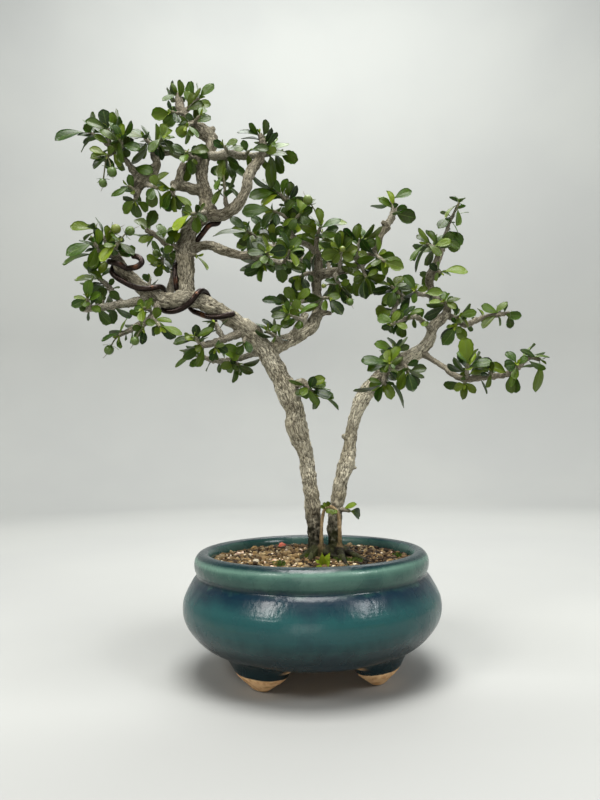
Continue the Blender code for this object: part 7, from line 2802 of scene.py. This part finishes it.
@dataclass(frozen=True)
class GlazeFinish:
    """Teal glaze, greener on the rim and bluer below it, that stops short of the feet's soles, with a painted
    highlight along the outer rim and painted shade towards the bottom.

    Heights and radii are in millimetres. A noise is (scale, detail, roughness), relief is (strength, depth)
    and every other pair is where a change begins and where it ends.
    """

    rim: Colour = srgb(38, 72, 66)
    rim_thin: Colour = srgb(60, 92, 82)
    painted_rim_highlight: Colour = srgb(98, 130, 116)
    rim_top: Colour = srgb(14, 48, 56)
    blue: Colour = srgb(8, 34, 48)
    belly: Colour = srgb(28, 70, 71)
    deep_and_shaded: Colour = srgb(3, 31, 35)
    clay: Colour = srgb(240, 198, 146)
    clay_dark: Colour = srgb(206, 156, 108)
    chip: Colour = srgb(214, 208, 190)
    chip_place: Place = (63.0, -33.5, 65.0)
    chip_size: Span = (1.3, 0.91)
    body_height: Span = (14.0, 60.0)
    lip_height: Span = (56.0, 60.5)
    top_height: Span = (69.6, 71.4)
    rim_highlight_low: Span = (64.6, 67.6)
    rim_highlight_high: Span = (70.6, 68.8)
    rim_highlight_out: Span = (66.0, 69.0)
    inner_wall: tuple[Span, Span] = ((72.2, 70.4), (64.2, 65.6))
    sole_height: Span = (9.2, 8.7)
    foot_ring: Span = (57.0, 52.0)
    foot_top: Span = (22.0, 20.5)
    rough: Span = (0.20, 0.32)
    clouds: float = 0.045
    run_stretch: Place = (1.0, 1.0, 0.5)
    run_noise: Place = (0.10, 4.0, 0.6)
    turn_stretch: Place = (0.03, 0.03, 1.0)
    turn_noise: Place = (0.20, 2.0, 0.5)
    speck_noise: Place = (1.5, 2.0, 0.5)
    wander: Place = (12.0, 3.0, 2.0)
    relief: Span = (0.45, 1.0)
    bend: float = 1.40

    def material(self, effects: Effects) -> Material:
        """Mix the finish.

        Args:
            effects: the shared node groups.

        Returns:
            The material.
        """
        coat = Coat("glaze_teal")
        place = coat.stored("grain", "Vector")
        z = place.parts()[2]
        slow, fine, _ = coat.group(effects.mottle, place, Scale=self.clouds)
        runs = place.stretch(*self.run_stretch).noise(*self.run_noise)
        turns = place.stretch(*self.turn_stretch).noise(*self.turn_noise)
        run = runs - 0.5
        level, edge, sole = (z + run * reach for reach in self.wander)
        radius = coat.node("VectorMath", {0: place.stretch(1.0, 1.0, 0.0)}, "Value", operation="LENGTH")
        # Towards the bottom the body darkens to the deep teal: partly the glaze's own colour, partly painted
        # shade under the belly.
        stops = ((0.16, self.deep_and_shaded), (0.50, self.belly), (0.80, self.belly), (0.97, self.blue))
        body = level.between(*self.body_height).ramp(*stops)
        body = slow.between(0.46, 0.72, 0.0, 0.5).mix(body, self.blue)
        sheen = turns.between(0.46, 0.66) * runs.between(0.42, 0.60, 0.05, 0.45) * z.between(24.0, 34.0)
        body = sheen.mix(body, self.rim)
        lip = slow.between(0.36, 0.66).mix(self.rim, self.rim_thin)
        # A pale band along the outer rim below its top edge is a painted highlight of the lamp over the pot.
        rim_highlight_band = edge.between(*self.rim_highlight_low) * edge.between(*self.rim_highlight_high)
        rim_highlight_band = rim_highlight_band * radius.between(*self.rim_highlight_out)
        lip = (rim_highlight_band * turns.between(0.30, 0.55, 0.25, 0.8)).mix(lip, self.painted_rim_highlight)
        lip = edge.between(*self.top_height, 0.0, 0.9).mix(lip, self.rim_top)
        outer, inner = self.inner_wall
        inside = radius.between(*outer, 0.0, 0.92) * radius.between(*inner, 0.2, 1.0)
        lip = (inside * level.between(40.0, 50.0)).mix(lip, self.deep_and_shaded)
        colour = level.between(*self.lip_height).mix(body, lip)
        specks = place.noise(*self.speck_noise).between(0.60, 0.70, 0.0, 0.45)
        colour = (specks * z.between(40.0, 56.0)).mix(colour, self.blue)
        gap = coat.node("VectorMath", {0: place, 1: self.chip_place}, "Value", operation="DISTANCE")
        colour = (gap + (fine - 0.5) * 2.0).between(*self.chip_size).mix(colour, self.chip)
        under = radius.between(*self.foot_ring) * z.between(*self.foot_top) * z.between(12.0, 13.6)
        bare = sole.between(*self.sole_height) | under
        clay = fine.between(0.40, 0.66).mix(self.clay, self.clay_dark)
        colour = (sole.between(11.0, 9.0) * bare.between(1.0, 0.0, 0.0, 0.6)).mix(colour, self.deep_and_shaded)
        rough = slow.between(0.35, 0.65, *self.rough) + bare * 0.6
        ripple = slow * 1.6 + runs * 0.8 + (turns * 0.6 + fine * 0.20) + fine * bare * 0.3
        return coat.finish(bare.mix(colour, clay), rough, ripple.bump(*self.relief), IOR=self.bend)


@dataclass(frozen=True)
class GravelFinish:
    """Granules from dark brown through tan and grey to near white, one of them reddish."""

    name: str = "gravel_mixed"
    dull: float = 0.0
    clouds: float = 180.0
    rough: Span = (0.7, 0.95)
    relief: Span = (0.7, 0.35)
    gloss: float = 0.2
    stops: tuple[tuple[float, Colour], ...] = (
        (0.0, srgb(24, 17, 9)), (0.22, srgb(60, 44, 25)), (0.40, srgb(98, 77, 48)),
        (0.55, srgb(130, 106, 68)), (0.68, srgb(110, 98, 76)), (0.80, srgb(168, 144, 98)),
        (0.92, srgb(212, 202, 178)), (0.96, srgb(196, 104, 84)),
    )

    def material(self, effects: Effects) -> Material:
        """Mix the finish.

        Args:
            effects: the shared node groups.

        Returns:
            The material.
        """
        coat = Coat(self.name)
        kind, wet, _ = coat.marks()
        slow, fine, speck = coat.group(effects.mottle, coat.place(), Scale=self.clouds)
        colour = (kind + (fine - 0.5) * 0.12 - self.dull).ramp(*self.stops)
        colour = slow.between(0.45, 0.7, 0.0, 0.45).mix(colour, self.stops[0][1])
        colour = (speck * 0.3).mix(colour, self.stops[1][1])
        rough = wet.between(0.0, 1.0, *self.rough)
        return coat.finish(colour, rough, fine.bump(*self.relief), Specular_IOR_Level=self.gloss)


@dataclass(frozen=True)
class WireFinish:
    """Brown anodised aluminium, worn to copper here and there, the copper patches partly a painted sheen."""

    brown: Colour = srgb(40, 29, 24)
    copper_wear_and_sheen: Colour = srgb(132, 84, 52)
    clouds: float = 120.0
    rough: Span = (0.24, 0.42)
    relief: Span = (0.15, 0.1)
    metal: float = 0.7

    def material(self, effects: Effects) -> Material:
        """Mix the finish.

        Args:
            effects: the shared node groups.

        Returns:
            The material.
        """
        coat = Coat("wire_anodised")
        slow, fine, _ = coat.group(effects.mottle, coat.place(), Scale=self.clouds)
        # Copper patches at random: partly wear, partly a painted copper sheen.
        colour = slow.between(0.57, 0.74, 0.0, 0.5).mix(self.brown, self.copper_wear_and_sheen)
        rough = fine.between(0.3, 0.7, *self.rough)
        return coat.finish(colour, rough, fine.bump(*self.relief), Metallic=self.metal)


@dataclass(frozen=True)
class PlainFinish:
    """A quiet finish with a faint cloud in it, for the floor and the drain screen."""

    name: str
    colour: Colour
    shade: Colour
    rough: float
    scale: float
    relief: Span = (0.1, 0.1)

    def material(self, effects: Effects) -> Material:
        """Mix the finish.

        Args:
            effects: the shared node groups.

        Returns:
            The material.
        """
        coat = Coat(self.name)
        slow, fine, _ = coat.group(effects.mottle, coat.place(), Scale=self.scale)
        colour = slow.between(0.3, 0.7).mix(self.colour, self.shade)
        return coat.finish(colour, self.rough, fine.bump(*self.relief))


def settle(item: Thing, slot: str, *nodes: str) -> None:
    """Tie a piece to the body and hide the nodes that it stands for.

    Args:
        item: the piece.
        slot: the slot's name, which is not used.
        nodes: the nodes that it replaces.
    """
    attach(item, "root")
    if nodes:
        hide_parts(*nodes)
    LOG.info("%s: %d triangles", item.name, sum(len(face.vertices) - 2 for face in item.data.polygons))


def main() -> None:
    """Build the studio and every piece of the bonsai."""
    logging.basicConfig(level=logging.INFO, format="%(name)s %(message)s")
    effects = Effects()
    kinds = (BarkFinish, TwigFinish, LeafFinish, BerryFinish, GravelFinish, WireFinish, GlazeFinish)
    bark, twig, leaf, berry, gravel, wire, glaze = (kind().material(effects) for kind in kinds)
    floor = PlainFinish("studio_paper", srgb(160, 161, 158), srgb(155, 156, 154), rough=0.9, scale=2.0)
    Studio().build(floor.material(effects))

    layout = Layout()
    layout.work_out()
    settle(GlazedPot().build(glaze), "glaze", "pot")
    bed = GravelBed(layout)
    soil = GravelFinish("soil_dark", dull=0.32)
    settle(bed.bed(soil.material(effects)), "soil", "soil")
    for item in bed.gravel(gravel):
        settle(item, "soil")
    settle(bed.greens(twig, leaf), "leaf")
    plastic = PlainFinish("screen_plastic", srgb(34, 34, 34), srgb(48, 48, 46), rough=0.55, scale=300.0)
    paint(frame["nodes"]["drain_screen"], plastic.material(effects))

    settle(TreeWood(layout).build(bark), "bark", "tree")
    for name, way in zip(("limb_wire", "leader_wire"), layout.wires):
        settle(TrainingWire(name, way, layout).build(wire), "wire", name)
    for spray in SPRAYS:
        settle(SprayGrowth(spray, layout).build(twig, leaf, berry), "leaf", spray.name)


if __name__ == "__main__":
    main()
